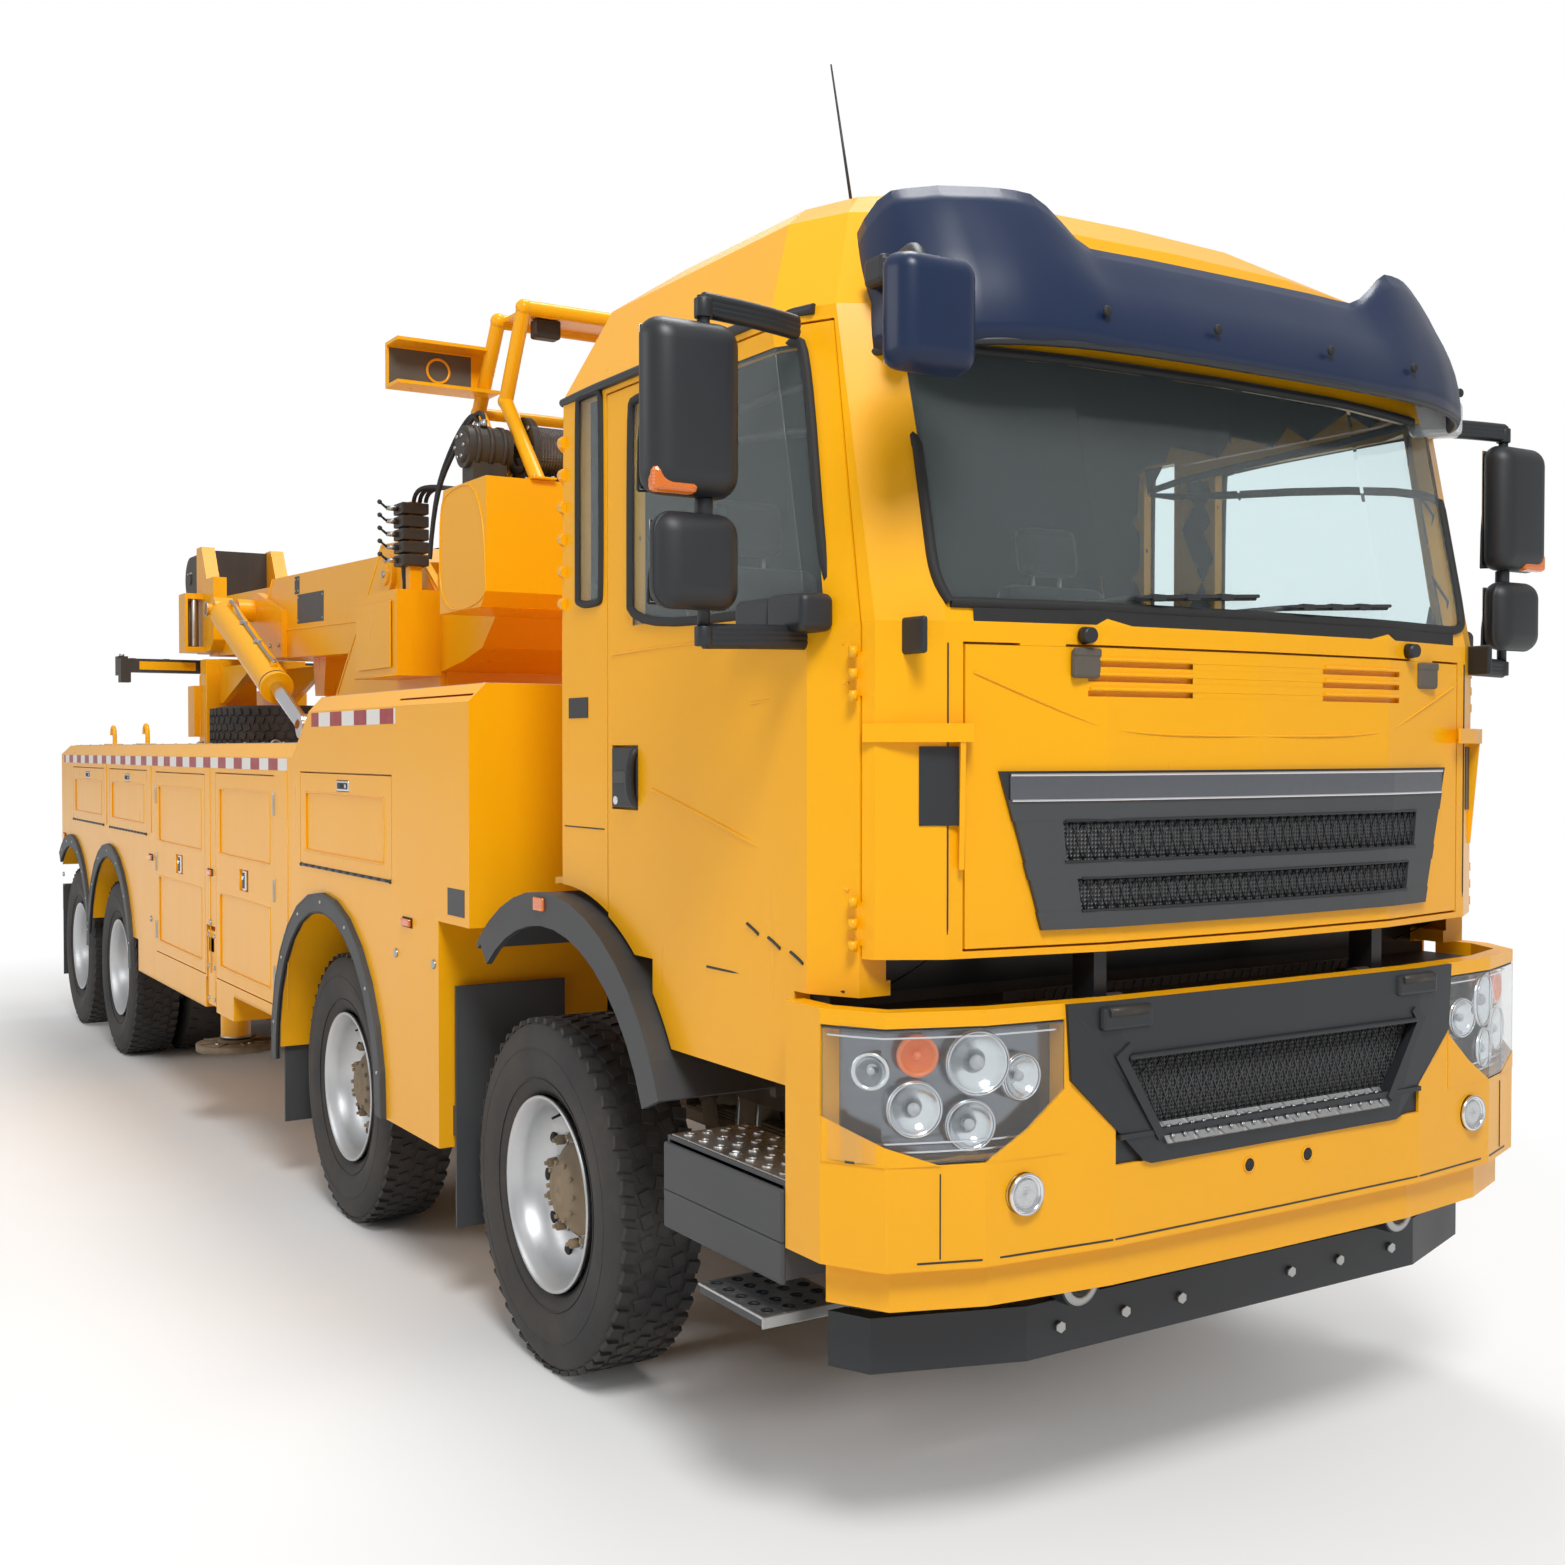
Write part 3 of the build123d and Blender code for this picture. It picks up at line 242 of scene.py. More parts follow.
def tyre_rubber():
    """Sidewall rubber, greyed by road dust in uneven patches."""
    finish = Finish("Tyre rubber", (0.022, 0.022, 0.024), 0.72)
    dust = (finish.noise(4.0, 5.0) * 1.4 - 0.35).clamped()
    fine = finish.noise(55.0, 4.0)
    finish.set("Base Color", finish.mix((dust * 0.55 * fine * 1.6).clamped(), (0.02, 0.02, 0.022),
        (0.13, 0.105, 0.08)))
    finish.set("Roughness", (fine * 0.25 + 0.6).clamped())
    finish.bump(fine + finish.noise(240.0, 2.0) * 0.4, 0.35, 0.0012)
    return finish.material


def bare_metal(name, colour, roughness=0.32, brushed=True):
    """Bare or plated metal with fine directional wear."""
    finish = Finish(name, colour, roughness, 1.0)
    lines = finish.noise(60.0, 3.0, (1.0, 1.0, 14.0) if brushed else None)
    patches = finish.noise(5.0, 4.0)
    finish.set("Base Color", finish.mix((patches * 0.5).clamped(), colour, tuple(c * 0.72 for c in colour)))
    finish.set("Roughness", (lines * 0.16 + patches * 0.14 + (roughness - 0.12)).clamped())
    finish.bump(lines, 0.08, 0.0006)
    return finish.material


def tread_plate():
    """Aluminium tread plate with crossed raised bars."""
    finish = Finish("Aluminium tread plate", (0.6, 0.61, 0.62), 0.36, 1.0)
    x, y, _ = finish.axes()
    one = ((x + y) * 150.0).wave() * ((x - y) * 75.0).wave()
    bars = (one - 0.35).clamped()
    worn = finish.noise(7.0, 4.0)
    finish.set("Base Color", finish.mix((worn * 0.7).clamped(), (0.62, 0.63, 0.64), (0.33, 0.32, 0.3)))
    finish.set("Roughness", (worn * 0.3 + 0.24).clamped())
    finish.bump(bars, 0.8, 0.003)
    return finish.material


def window_glass(name, colour, through):
    """Clear or tinted glass with a light dusting."""
    finish = Finish(name, colour, 0.02, Transmission_Weight=through, IOR=1.25)
    finish.set("Roughness", (finish.noise(6.0, 4.0) * 0.025).clamped())
    return finish.material


def lens(name, colour, glow=0.0):
    """A moulded lamp lens with prism lines."""
    finish = Finish(name, colour, 0.12, Transmission_Weight=0.25, IOR=1.49, Coat_Weight=0.6)
    x, _, z = finish.axes()
    lines = (x * 900.0).wave() * 0.5 + (z * 900.0).wave() * 0.5
    finish.set("Base Color", finish.mix((finish.noise(40.0, 2.0) * 0.35).clamped(), colour,
        tuple(c * 0.6 for c in colour)))
    finish.bump(lines, 0.35, 0.001)
    if glow:
        finish.set("Emission Color", (*colour, 1.0))
        finish.set("Emission Strength", glow)
    return finish.material


def wire_rope():
    """Greased steel rope with its lay."""
    finish = Finish("Steel rope", (0.16, 0.15, 0.14), 0.42, 0.85)
    x, y, z = finish.axes()
    lay = ((x + y * 1.4 + z * 1.1) * 900.0).wave()
    finish.set("Base Color", finish.mix(finish.noise(30.0, 3.0).clamped(), (0.22, 0.21, 0.2),
        (0.07, 0.06, 0.055)))
    finish.bump(lay, 0.6, 0.002)
    return finish.material


def seat_cloth():
    """Woven seat cloth."""
    finish = Finish("Chair cloth", (0.045, 0.047, 0.055), 0.9, Sheen_Weight=0.3)
    x, y, z = finish.axes()
    weave = (x * 2200.0).wave() * ((y + z) * 2200.0).wave()
    finish.set("Base Color", finish.mix((finish.noise(16.0, 3.0) * 0.6).clamped(), (0.05, 0.052, 0.06),
        (0.025, 0.026, 0.03)))
    finish.bump(weave, 0.35, 0.001)
    return finish.material


def warning_tape():
    """Red and white reflective tape, its blocks counted along the body."""
    finish = Finish("Reflective tape", (0.6, 0.6, 0.58), 0.35)
    x, y, z = finish.axes()
    block = ((y + 20.0) / 0.3).fraction() > 0.5
    cells = ((x + y) * 700.0).wave() * (z * 700.0).wave()
    finish.set("Base Color", finish.mix(block, (0.78, 0.76, 0.72), (0.33, 0.012, 0.02)))
    finish.set("Roughness", (finish.noise(20.0, 3.0) * 0.3 + 0.22).clamped())
    finish.bump(cells, 0.2, 0.0005)
    return finish.material


def expanded_mesh():
    """Black expanded mesh with diamond openings."""
    finish = Finish("Black mesh", (0.012, 0.012, 0.013), 0.5)
    x, _, z = finish.axes()
    one = ((x + z) * 330.0).wave() * ((x - z) * 330.0).wave()
    finish.set("Base Color", finish.mix((one * 2.0).clamped(), (0.05, 0.05, 0.052), (0.002, 0.002, 0.002)))
    finish.set("Roughness", (one * 0.3 + 0.5).clamped())
    finish.bump(one, 0.7, 0.003)
    return finish.material


MATERIALS = {}


def make_materials(sizes):
    MATERIALS.update(
        paint=painted("Yellow enamel", tuple(sizes.paint), 0.06),
        # the cab's feet, low at the front, get painted shade: near-black, like the gap over the bumper
        cab_paint=painted("Cab enamel", tuple(sizes.paint), 0.06, black_below=1.4295),
        black=painted("Chassis black", (0.018, 0.018, 0.02), 0.5, 0.5),
        navy=painted("Navy enamel", (0.008, 0.02, 0.06), 0.02, 0.36),
        grey=plastic("Grey moulding", (0.045, 0.047, 0.05)),
        trim=plastic("Black moulding", (0.011, 0.013, 0.016), 0.45),
        rubber=plastic("Black rubber", (0.01, 0.01, 0.01), 0.7, 300.0),
        tyre=tyre_rubber(),
        rim=bare_metal("Rim alloy", (0.6, 0.61, 0.62), 0.4, False),
        hub=painted("Hub casting", (0.07, 0.068, 0.065), 0.8, 0.55),
        chrome=bare_metal("Chrome", (0.78, 0.78, 0.8), 0.16, False),
        steel=bare_metal("Bright steel", (0.46, 0.46, 0.45), 0.36),
        dark_chrome=bare_metal("Smoked chrome", (0.2, 0.21, 0.23), 0.16, False),
        plate=tread_plate(),
        glass=window_glass("Tinted glass", (0.86, 0.95, 0.96), 0.96),
        clear=lens("Clear lens", (0.72, 0.74, 0.76)),
        cover=window_glass("Clear cover", (0.93, 0.95, 0.96), 0.96),
        amber=lens("Amber lens", (0.85, 0.19, 0.01), 0.15),
        red=lens("Red lens", (0.55, 0.01, 0.01), 0.08),
        mirror=bare_metal("Mirror glass", (0.75, 0.78, 0.8), 0.13, False),
        rope=wire_rope(),
        cloth=seat_cloth(),
        # near-black lining: painted shade for the dim inside of the cab
        lining=plastic("Cab lining", (0.008, 0.018, 0.026), 0.8, 240.0),
        tape=warning_tape(),
        mesh=expanded_mesh(),
    )


# the nodes that take each material; the locker doors are painted too
NODE_LOOKS = {
    "paint": "bumper service_body mast front_panel door_left door_right turret boom_outer boom_inner lift_barrels"
             " lift_arm_outer lift_arm_inner outrigger_beam_left outrigger_beam_right",
    "black": "chassis_frame winches sheave_head crossbar outrigger_foot_left outrigger_foot_right",
    "hub": "axles engine knuckle_1_left knuckle_1_right knuckle_2_left knuckle_2_right",
    "glass": "cab_glass door_glass_left door_glass_right",
    "trim": "bumper_trim cab_trim grille mirrors_left mirrors_right",
    "grey": "entry_steps wheel_arch_trim",
    "clear": "lamps", "tyre": "spare_wheel", "cab_paint": "cab_shell", "navy": "cab_visor", "cloth": "cab_interior",
    "chrome": "lift_rods",
}


# ------------------------------------------------------------------ shapes
class Shape:
    """A mesh made with bmesh operators, with a material for each of its parts."""

    def __init__(self, name, side=1):
        self.name = name
        self.side = side
        self.looks = []
        self.bm = bmesh.new()
        self.chunks = []

    def sides(self, order=(1, -1)):
        """Counts x outwards on one side and then on the other."""
        for side in order:
            self.side = side
            yield side
        self.side = 1

    def place(self, point):
        """A vector as it is, or (x outwards, distance behind the first axle, height)."""
        return point if isinstance(point, Vector) else at(self.side * point[0], point[1], point[2])

    def look(self, name):
        """The material index of a look, which is added at its first use."""
        if name not in self.looks:
            self.looks.append(name)
        return self.looks.index(name)

    def _roll(self):
        """Sets a full mesh aside, because every operator walks all of it."""
        if len(self.bm.verts) > 700:
            mesh = bpy.data.meshes.new("chunk")
            self.bm.to_mesh(mesh)
            self.chunks.append(mesh)
            self.bm.clear()

    def _finish(self, verts, look, smooth=False):
        faces = {f for v in verts for f in v.link_faces}
        for face in faces:
            face.material_index = self.look(look)
            face.smooth = smooth
        return list(faces)

    def round_off(self, verts, offset, segments=2, edges=None):
        """Rounds all the edges at some vertices, or the given ones."""
        edges = edges or list({e for v in verts for e in v.link_edges})
        made = bmesh.ops.bevel(self.bm, geom=edges, offset=offset, segments=segments, profile=0.5,
            affect="EDGES", material=-1)
        return list({v for f in made["faces"] for v in f.verts} | {v for v in verts if v.is_valid})

    def box(self, low, high, look, bevel=0.0, turn=None):
        """A block between two corners, its edges rounded."""
        self._roll()
        low, high = self.place(low), self.place(high)
        size = Vector([abs(h - l) for l, h in zip(low, high)])
        middle = (low + high) / 2
        matrix = Matrix.Translation(middle)
        if turn:
            matrix = matrix @ turn
        verts = bmesh.ops.create_cube(self.bm, size=1.0, matrix=matrix
            @ Matrix.Diagonal((*size, 1.0)))["verts"]
        if bevel:
            verts = self.round_off(verts, min(bevel, min(size) * 0.45))
        return self._finish(verts, look)

    def bar(self, start, end, radius, look, segments=16, tip=None, bevel=0.0):
        """A round bar or cone between two points."""
        self._roll()
        start, end = self.place(start), self.place(end)
        run = end - start
        matrix = Matrix.Translation((start + end) / 2) @ run.to_track_quat("Z", "Y").to_matrix().to_4x4()
        made = bmesh.ops.create_cone(self.bm, cap_ends=True, segments=segments, radius1=radius,
            radius2=radius if tip is None else tip, depth=run.length, matrix=matrix)
        verts = made["verts"]
        if bevel:
            caps = [f for f in {f for v in verts for f in v.link_faces} if len(f.verts) > 4]
            edges = list({e for f in caps for e in f.edges})
            verts = self.round_off(verts, bevel, edges=edges)
        faces = self._finish(verts, look, True)
        for face in faces:
            if len(face.verts) > 4:
                face.smooth = False
        return faces

    def stud(self, foot, axis, low, high, radius, look, segments=6, tip=None, bevel=0.0):
        """A bar between two heights over a place, along x outwards, y or z."""
        way = Vector([(letter == axis) * (self.side if letter == "x" else 1) for letter in "xyz"])
        foot = self.place(foot)
        return self.bar(foot + way * low, foot + way * high, radius, look, segments, tip, bevel)

    def ring(self, centre, axis, low, high, inner, outer, look, steps=48):
        """A square-edged ring between two radii."""
        return self.turned(centre, axis, [(low, inner), (high, inner), (high, outer), (low, outer)], look,
            steps)

    def ball(self, middle, radius, look, squash=(1, 1, 1), segments=16):
        self._roll()
        matrix = Matrix.Translation(self.place(middle)) @ Matrix.Diagonal((*squash, 1.0))
        made = bmesh.ops.create_uvsphere(self.bm, u_segments=segments, v_segments=segments // 2,
            radius=radius, matrix=matrix)
        return self._finish(made["verts"], look, True)

    def turned(self, centre, axis, outline, look, steps=48, start=None):
        """Spins a closed outline of (along, radius) points about an axis."""
        self._roll()
        centre, axis = self.place(centre), Vector(axis).normalized()
        side = start or (Vector((0, 0, 1)) if abs(axis.z) < 0.9 else Vector((1, 0, 0)))
        verts = [self.bm.verts.new(centre + axis * a + side * r) for a, r in outline]
        edges = [self.bm.edges.new((verts[i], verts[(i + 1) % len(verts)])) for i in range(len(verts))]
        bmesh.ops.spin(self.bm, geom=verts + edges, cent=centre, axis=axis, dvec=(0, 0, 0), angle=2 * pi,
            steps=steps, use_merge=True)
        found = set(verts)
        fringe = list(verts)
        while fringe:
            vert = fringe.pop()
            for edge in vert.link_edges:
                other = edge.other_vert(vert)
                if other not in found:
                    found.add(other)
                    fringe.append(other)
        faces = self._finish([v for v in found if v.is_valid], look, True)
        bmesh.ops.recalc_face_normals(self.bm, faces=faces)
        return faces

    def flat(self, points, push, look):
        """A flat outline pushed by a vector into a closed plate."""
        self._roll()
        verts = [self.bm.verts.new(self.place(p)) for p in points]
        face = self.bm.faces.new(verts)
        made = bmesh.ops.extrude_face_region(self.bm, geom=[face])
        moved = [g for g in made["geom"] if isinstance(g, bmesh.types.BMVert)]
        bmesh.ops.translate(self.bm, verts=moved, vec=push)
        faces = self._finish(verts + moved, look)
        bmesh.ops.recalc_face_normals(self.bm, faces=faces)
        return faces

    def pipe(self, points, radius, look, segments=10, closed=False):
        """A bent pipe or hose along a smooth line through its points."""
        self._roll()
        line = bpy.data.curves.new("line", "CURVE")
        line.dimensions = "3D"
        spline = line.splines.new("NURBS")
        spline.points.add(len(points) - 1)
        for point, place in zip(spline.points, points):
            point.co = (*self.place(place), 1.0)
        spline.order_u = 3
        spline.use_endpoint_u = not closed
        spline.use_cyclic_u = closed
        spline.resolution_u = 5
        line.bevel_depth = radius
        line.bevel_resolution = max(1, segments // 4)
        line.use_fill_caps = True
        holder = bpy.data.objects.new("line", line)
        mesh = bpy.data.meshes.new_from_object(holder)
        before = set(self.bm.verts)
        self.bm.from_mesh(mesh)
        verts = [v for v in self.bm.verts if v not in before]
        self._finish(verts, look, True)
        bpy.data.objects.remove(holder)
        bpy.data.curves.remove(line)
        bpy.data.meshes.remove(mesh)
        return verts

    def bolts(self, places, axis, radius, height, look, segments=6):
        """Bolt heads standing on a surface."""
        axis = Vector(axis)
        for place in places:
            place = self.place(place)
            self.bar(place - axis * height * 0.3, place + axis * height, radius, look, segments)

    def mesh(self):
        """Ends the shape as a mesh with its materials."""
        for chunk in self.chunks:
            self.bm.from_mesh(chunk)
            bpy.data.meshes.remove(chunk)
        mesh = bpy.data.meshes.new(self.name)
        self.bm.to_mesh(mesh)
        self.bm.free()
        for look in self.looks:
            mesh.materials.append(MATERIALS[look])
        return mesh

    def done(self, body, replaces=()):
        """Ends the shape as an object that rides on a body."""
        return settle(self.mesh(), body, replaces)


def settle(mesh, body, replaces=()):
    """Makes an object of a mesh, which rides on a body and may stand for nodes."""
    obj = bpy.data.objects.new(mesh.name, mesh)
    bpy.context.scene.collection.objects.link(obj)
    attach(obj, body)
    if replaces:
        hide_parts(*replaces)
    return obj


# ------------------------------------------------------------------ wheels
# half width of each tyre, its outline taken from the sidewall in: (across, radius)
TYRE_SECTION = ((-0.105, 0.3), (-0.112, 0.318), (-0.128, 0.345), (-0.142, 0.385), (-0.1475, 0.425),
    (-0.146, 0.462), (-0.139, 0.494), (-0.131, 0.512), (-0.124, 0.522), (-0.112, 0.5285), (-0.06, 0.5325),
    (0.0, 0.534))


def tyre_outline():
    """A closed section of the tyre from bead to bead."""
    inner = [(0.1, 0.303), (0.118, 0.345), (0.13, 0.4), (0.128, 0.455), (0.11, 0.495), (0.0, 0.51)]
    return [*TYRE_SECTION, *mirrored(TYRE_SECTION), *inner, *mirrored(inner)]


def mirrored(section):
    """The other half of a section, walked back from its middle."""
    return [(-across, radius) for across, radius in section[-2::-1]]


def around(radius, count, phase=0.0):
    """Sine and cosine lengths of places spread round a circle."""
    angles = [2 * pi * (i + phase) / count for i in range(count)]
    return [(radius * sin(angle), radius * cos(angle)) for angle in angles]


# rows of tread blocks: middle, width, length, skew
TREAD_ROWS = ((-0.104, 0.044, 0.04, 0.22), (-0.052, 0.042, 0.042, -0.3), (0.0, 0.04, 0.044, 0.3),
    (0.052, 0.042, 0.042, -0.3), (0.104, 0.044, 0.04, 0.22))
BLOCK_HEIGHT = 0.0155
TREAD_RADIUS = 0.534


def tread_blocks(shape, hub, rows, count):
    """Tread blocks round a tyre, each a low block that narrows to its top."""
    for row, (middle, width, length, skew) in enumerate(rows):
        for i in range(count):
            shape._roll()
            block = Matrix.Diagonal((width, length, BLOCK_HEIGHT, 1.0))
            verts = bmesh.ops.create_cube(shape.bm, size=1.0, matrix=block)["verts"]
            bmesh.ops.scale(shape.bm, vec=(0.88, 0.88, 1.0), verts=[v for v in verts if v.co.z > 0])
            turn = Matrix.Rotation(2 * pi * (i + 0.5 * (row % 2)) / count, 4, "X")
            lift = Matrix.Translation((middle, 0, TREAD_RADIUS - 0.0025)) @ Matrix.Rotation(skew, 4, "Z")
            bmesh.ops.transform(shape.bm, matrix=Matrix.Translation(hub) @ turn @ lift, verts=verts)
            shape._finish(verts, "tyre")


def rim_outline(dish):
    """A wheel disc and barrel section: (across, radius), dished inwards by a depth."""
    face = [(0.112, 0.296), (0.122, 0.3), (0.128, 0.2985), (0.1265, 0.29), (0.112, 0.282), (0.098, 0.268),
        (0.08, 0.262), (0.06, 0.255)]
    disc = [(0.01, 0.236), (-0.012, 0.205), (-0.016, 0.175), (-0.01, 0.15), (-0.01, 0.09), (-0.024, 0.09),
        (-0.024, 0.18), (-0.006, 0.242)]
    back = [(0.03, 0.262), (-0.05, 0.256), (-0.08, 0.262), (-0.098, 0.27), (-0.112, 0.284), (-0.122, 0.2985),
        (-0.112, 0.297), (-0.106, 0.288), (-0.09, 0.276), (0.0, 0.268), (0.09, 0.276), (0.104, 0.288)]
    return face + [(dish + across, radius) for across, radius in disc] + back


def wheel_set(node, master, s, side):
    """A wheel of a kind, set at its axle and side."""
    mesh = master.copy()
    mesh.name = node + "_dressed"
    mesh.transform(Matrix.Translation((0, s, 0)) @ Matrix.Diagonal((side, 1, 1, 1)))
    if side < 0:
        mesh.flip_normals()
    return settle(mesh, node, (node,))


def wheel_master(twin):
    """The left wheel of the first axle, or a twin pair, with tread, rims, nuts and hub."""
    shape = Shape("twin_master" if twin else "single_master")
    tyres = (1.075, 0.745) if twin else (1.03,)
    dish, reach = (-0.075, 0.115) if twin else (0.02, 0.055)
    for x, rows, count in zip(tyres, (TREAD_ROWS, TREAD_ROWS[::2]), (52, 40)):
        shape.turned((x, 0, HUB_Z), (1, 0, 0), tyre_outline(), "tyre", 72)
        tread_blocks(shape, at(x, 0, HUB_Z), rows, count)
        # rings moulded in the sidewall
        for radius, across in ((0.352, 0.1325), (0.446, 0.1465)):
            for way in (-1, 1):
                shape.ring((x + way * across, 0, HUB_Z), (1, 0, 0), -0.0012, 0.0012, radius - 0.002,
                    radius + 0.002, "tyre", 72)
    shape.turned((tyres[0], 0, HUB_Z), (1, 0, 0), rim_outline(dish), "rim", 64)
    if twin:
        shape.turned((tyres[1], 0, HUB_Z), (-1, 0, 0), rim_outline(dish), "rim", 48)
    # nuts on the outer disc, and flat black discs as painted shade for its hand holes
    disc = tyres[0] + dish
    for (y, z), (y_hole, z_hole) in zip(around(0.1675, 10), around(0.2215, 10, 0.5)):
        nut = at(disc - 0.01, y, HUB_Z + z)
        shape.stud(nut, "x", -0.004, 0.006, 0.021, "rim", 20, tip=0.019)
        shape.stud(nut, "x", 0, 0.034, 0.0165, "hub", tip=0.015)
        shape.stud(nut, "x", 0, 0.046, 0.008, "hub", 10, tip=0.007)
        # painted shade: each hand hole is a flattened black ball, dark like the opening
        shape.ball((disc + 0.0005, y_hole, HUB_Z + z_hole), 0.021, "rubber", (0.22, 1.0, 1.0), 16)
    # hub: a stepped cap that stands out on the front, deeper on the back axles
    hub = [(-0.01, 0.0005), (-0.01, 0.14), (0.004, 0.142), (0.012, 0.128), (reach * 0.45, 0.118),
        (reach * 0.6, 0.1), (reach * 0.92, 0.092), (reach, 0.08), (reach, 0.052), (reach + 0.008, 0.046),
        (reach + 0.01, 0.0005)]
    shape.turned((disc, 0, HUB_Z), (1, 0, 0), hub, "hub", 40)
    for y, z in around(0.088, 10, 0.5):
        shape.stud((disc + reach * 0.9, y, HUB_Z + z), "x", 0, 0.012, 0.0075, "hub")
    # valve
    valve = at(disc + 0.012, 0.236 * sin(0.4), HUB_Z + 0.236 * cos(0.4))
    shape.bar(valve, valve + Vector((0.03, 0, -0.01)), 0.005, "rubber", 8, tip=0.004)
    return shape.mesh()


def spare_wheel():
    """The spare lies on the rear deck, tread outwards."""
    shape = Shape("spare_dressed")
    centre, up, start = at(0.0, 6.75, 2.05), Vector((0, 0, 1)), Vector((1, 0, 0))
    shape.turned(centre, up, tyre_outline(), "tyre", 72, start)
    for row, (middle, width, length, skew) in enumerate(TREAD_ROWS):
        for i in range(52):
            shape._roll()
            block = Matrix.Diagonal((BLOCK_HEIGHT, length, width, 1.0))
            verts = bmesh.ops.create_cube(shape.bm, size=1.0, matrix=block)["verts"]
            turn = Matrix.Rotation(2 * pi * (i + 0.5 * (row % 2)) / 52, 4, "Z")
            lift = Matrix.Translation((TREAD_RADIUS - 0.0005, 0, middle)) @ Matrix.Rotation(skew, 4, "X")
            bmesh.ops.transform(shape.bm, matrix=Matrix.Translation(centre) @ turn @ lift, verts=verts)
            shape._finish(verts, "tyre")
    shape.turned(centre, up, rim_outline(-0.06), "rim", 56, start)
    # painted shade: black discs at the stud circle stand for the dark stud holes
    for y, x in around(0.1675, 10):
        shape.stud(centre + Vector((x, y, -0.07)), "z", -0.004, 0.004, 0.014, "rubber", 16)
    # clamp through the hub
    shape.stud(centre, "z", -0.15, 0.06, 0.014, "steel", 12)
    shape.box(centre + Vector((-0.12, -0.03, -0.055)), centre + Vector((0.12, 0.03, -0.045)), "hub", 0.003)
    shape.stud(centre, "z", -0.045, -0.02, 0.028, "steel")
    return shape.done("truck", ("spare_wheel",))


# ------------------------------------------------------------------ placing
def skin(node, start, way):
    """The nearest point and normal on a node's surface to a ray that starts outside it."""
    start, way = Vector(start), Vector(way).normalized()
    hit, place, normal, _ = NODES[node].ray_cast(start, way)
    if not hit:
        # just off the surface's edge: take the closest point of the node
        low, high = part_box(node)
        depth = (Vector(low) + Vector(high)) / 2 - start
        guess = start + way * depth.dot(way)
        hit, place, normal, _ = NODES[node].closest_point_on_mesh(guess)
        if not hit:
            raise RuntimeError(f"nothing of {node} is met from {tuple(start)}")
    return place, normal


def front_line(node, xs, z, lift=0.0):
    """Points on the front of a node at a height, lifted off its surface."""
    line = []
    for x in xs:
        place, normal = skin(node, (x, -7.0, z), (0, 1, 0))
        line.append(place + normal * lift)
    return line


def spread(low, high, count):
    return [low + (high - low) * i / (count - 1) for i in range(count)]


def strip(shape, line, raised, thickness, look):
    """A strip from a line to its raised copy, given a thickness."""
    shape._roll()
    verts = [shape.bm.verts.new(shape.place(point)) for point in line]
    edges = [shape.bm.edges.new(pair) for pair in zip(verts, verts[1:])]
    made = bmesh.ops.extrude_edge_only(shape.bm, edges=edges)
    moved = [g for g in made["geom"] if isinstance(g, bmesh.types.BMVert)]
    for vert in moved:
        vert.co = raised(vert.co)
    faces = list({f for v in moved for f in v.link_faces})
    bmesh.ops.recalc_face_normals(shape.bm, faces=faces)
    made = bmesh.ops.solidify(shape.bm, geom=faces, thickness=thickness)
    every = list(set(faces) | {g for g in made["geom"] if isinstance(g, bmesh.types.BMFace)})
    bmesh.ops.recalc_face_normals(shape.bm, faces=every)
    for face in every:
        face.material_index = shape.look(look)


def ribbon(shape, line, push, thickness, look):
    """A strip along a line, pushed across it and given a thickness."""
    strip(shape, line, lambda place: place + Vector(push), thickness, look)


def frame_bars(shape, corners, radius, look, segments=8):
    """Round bars joining the corners of a closed outline."""
    shape.pipe([*corners, corners[0]], radius, look, segments)


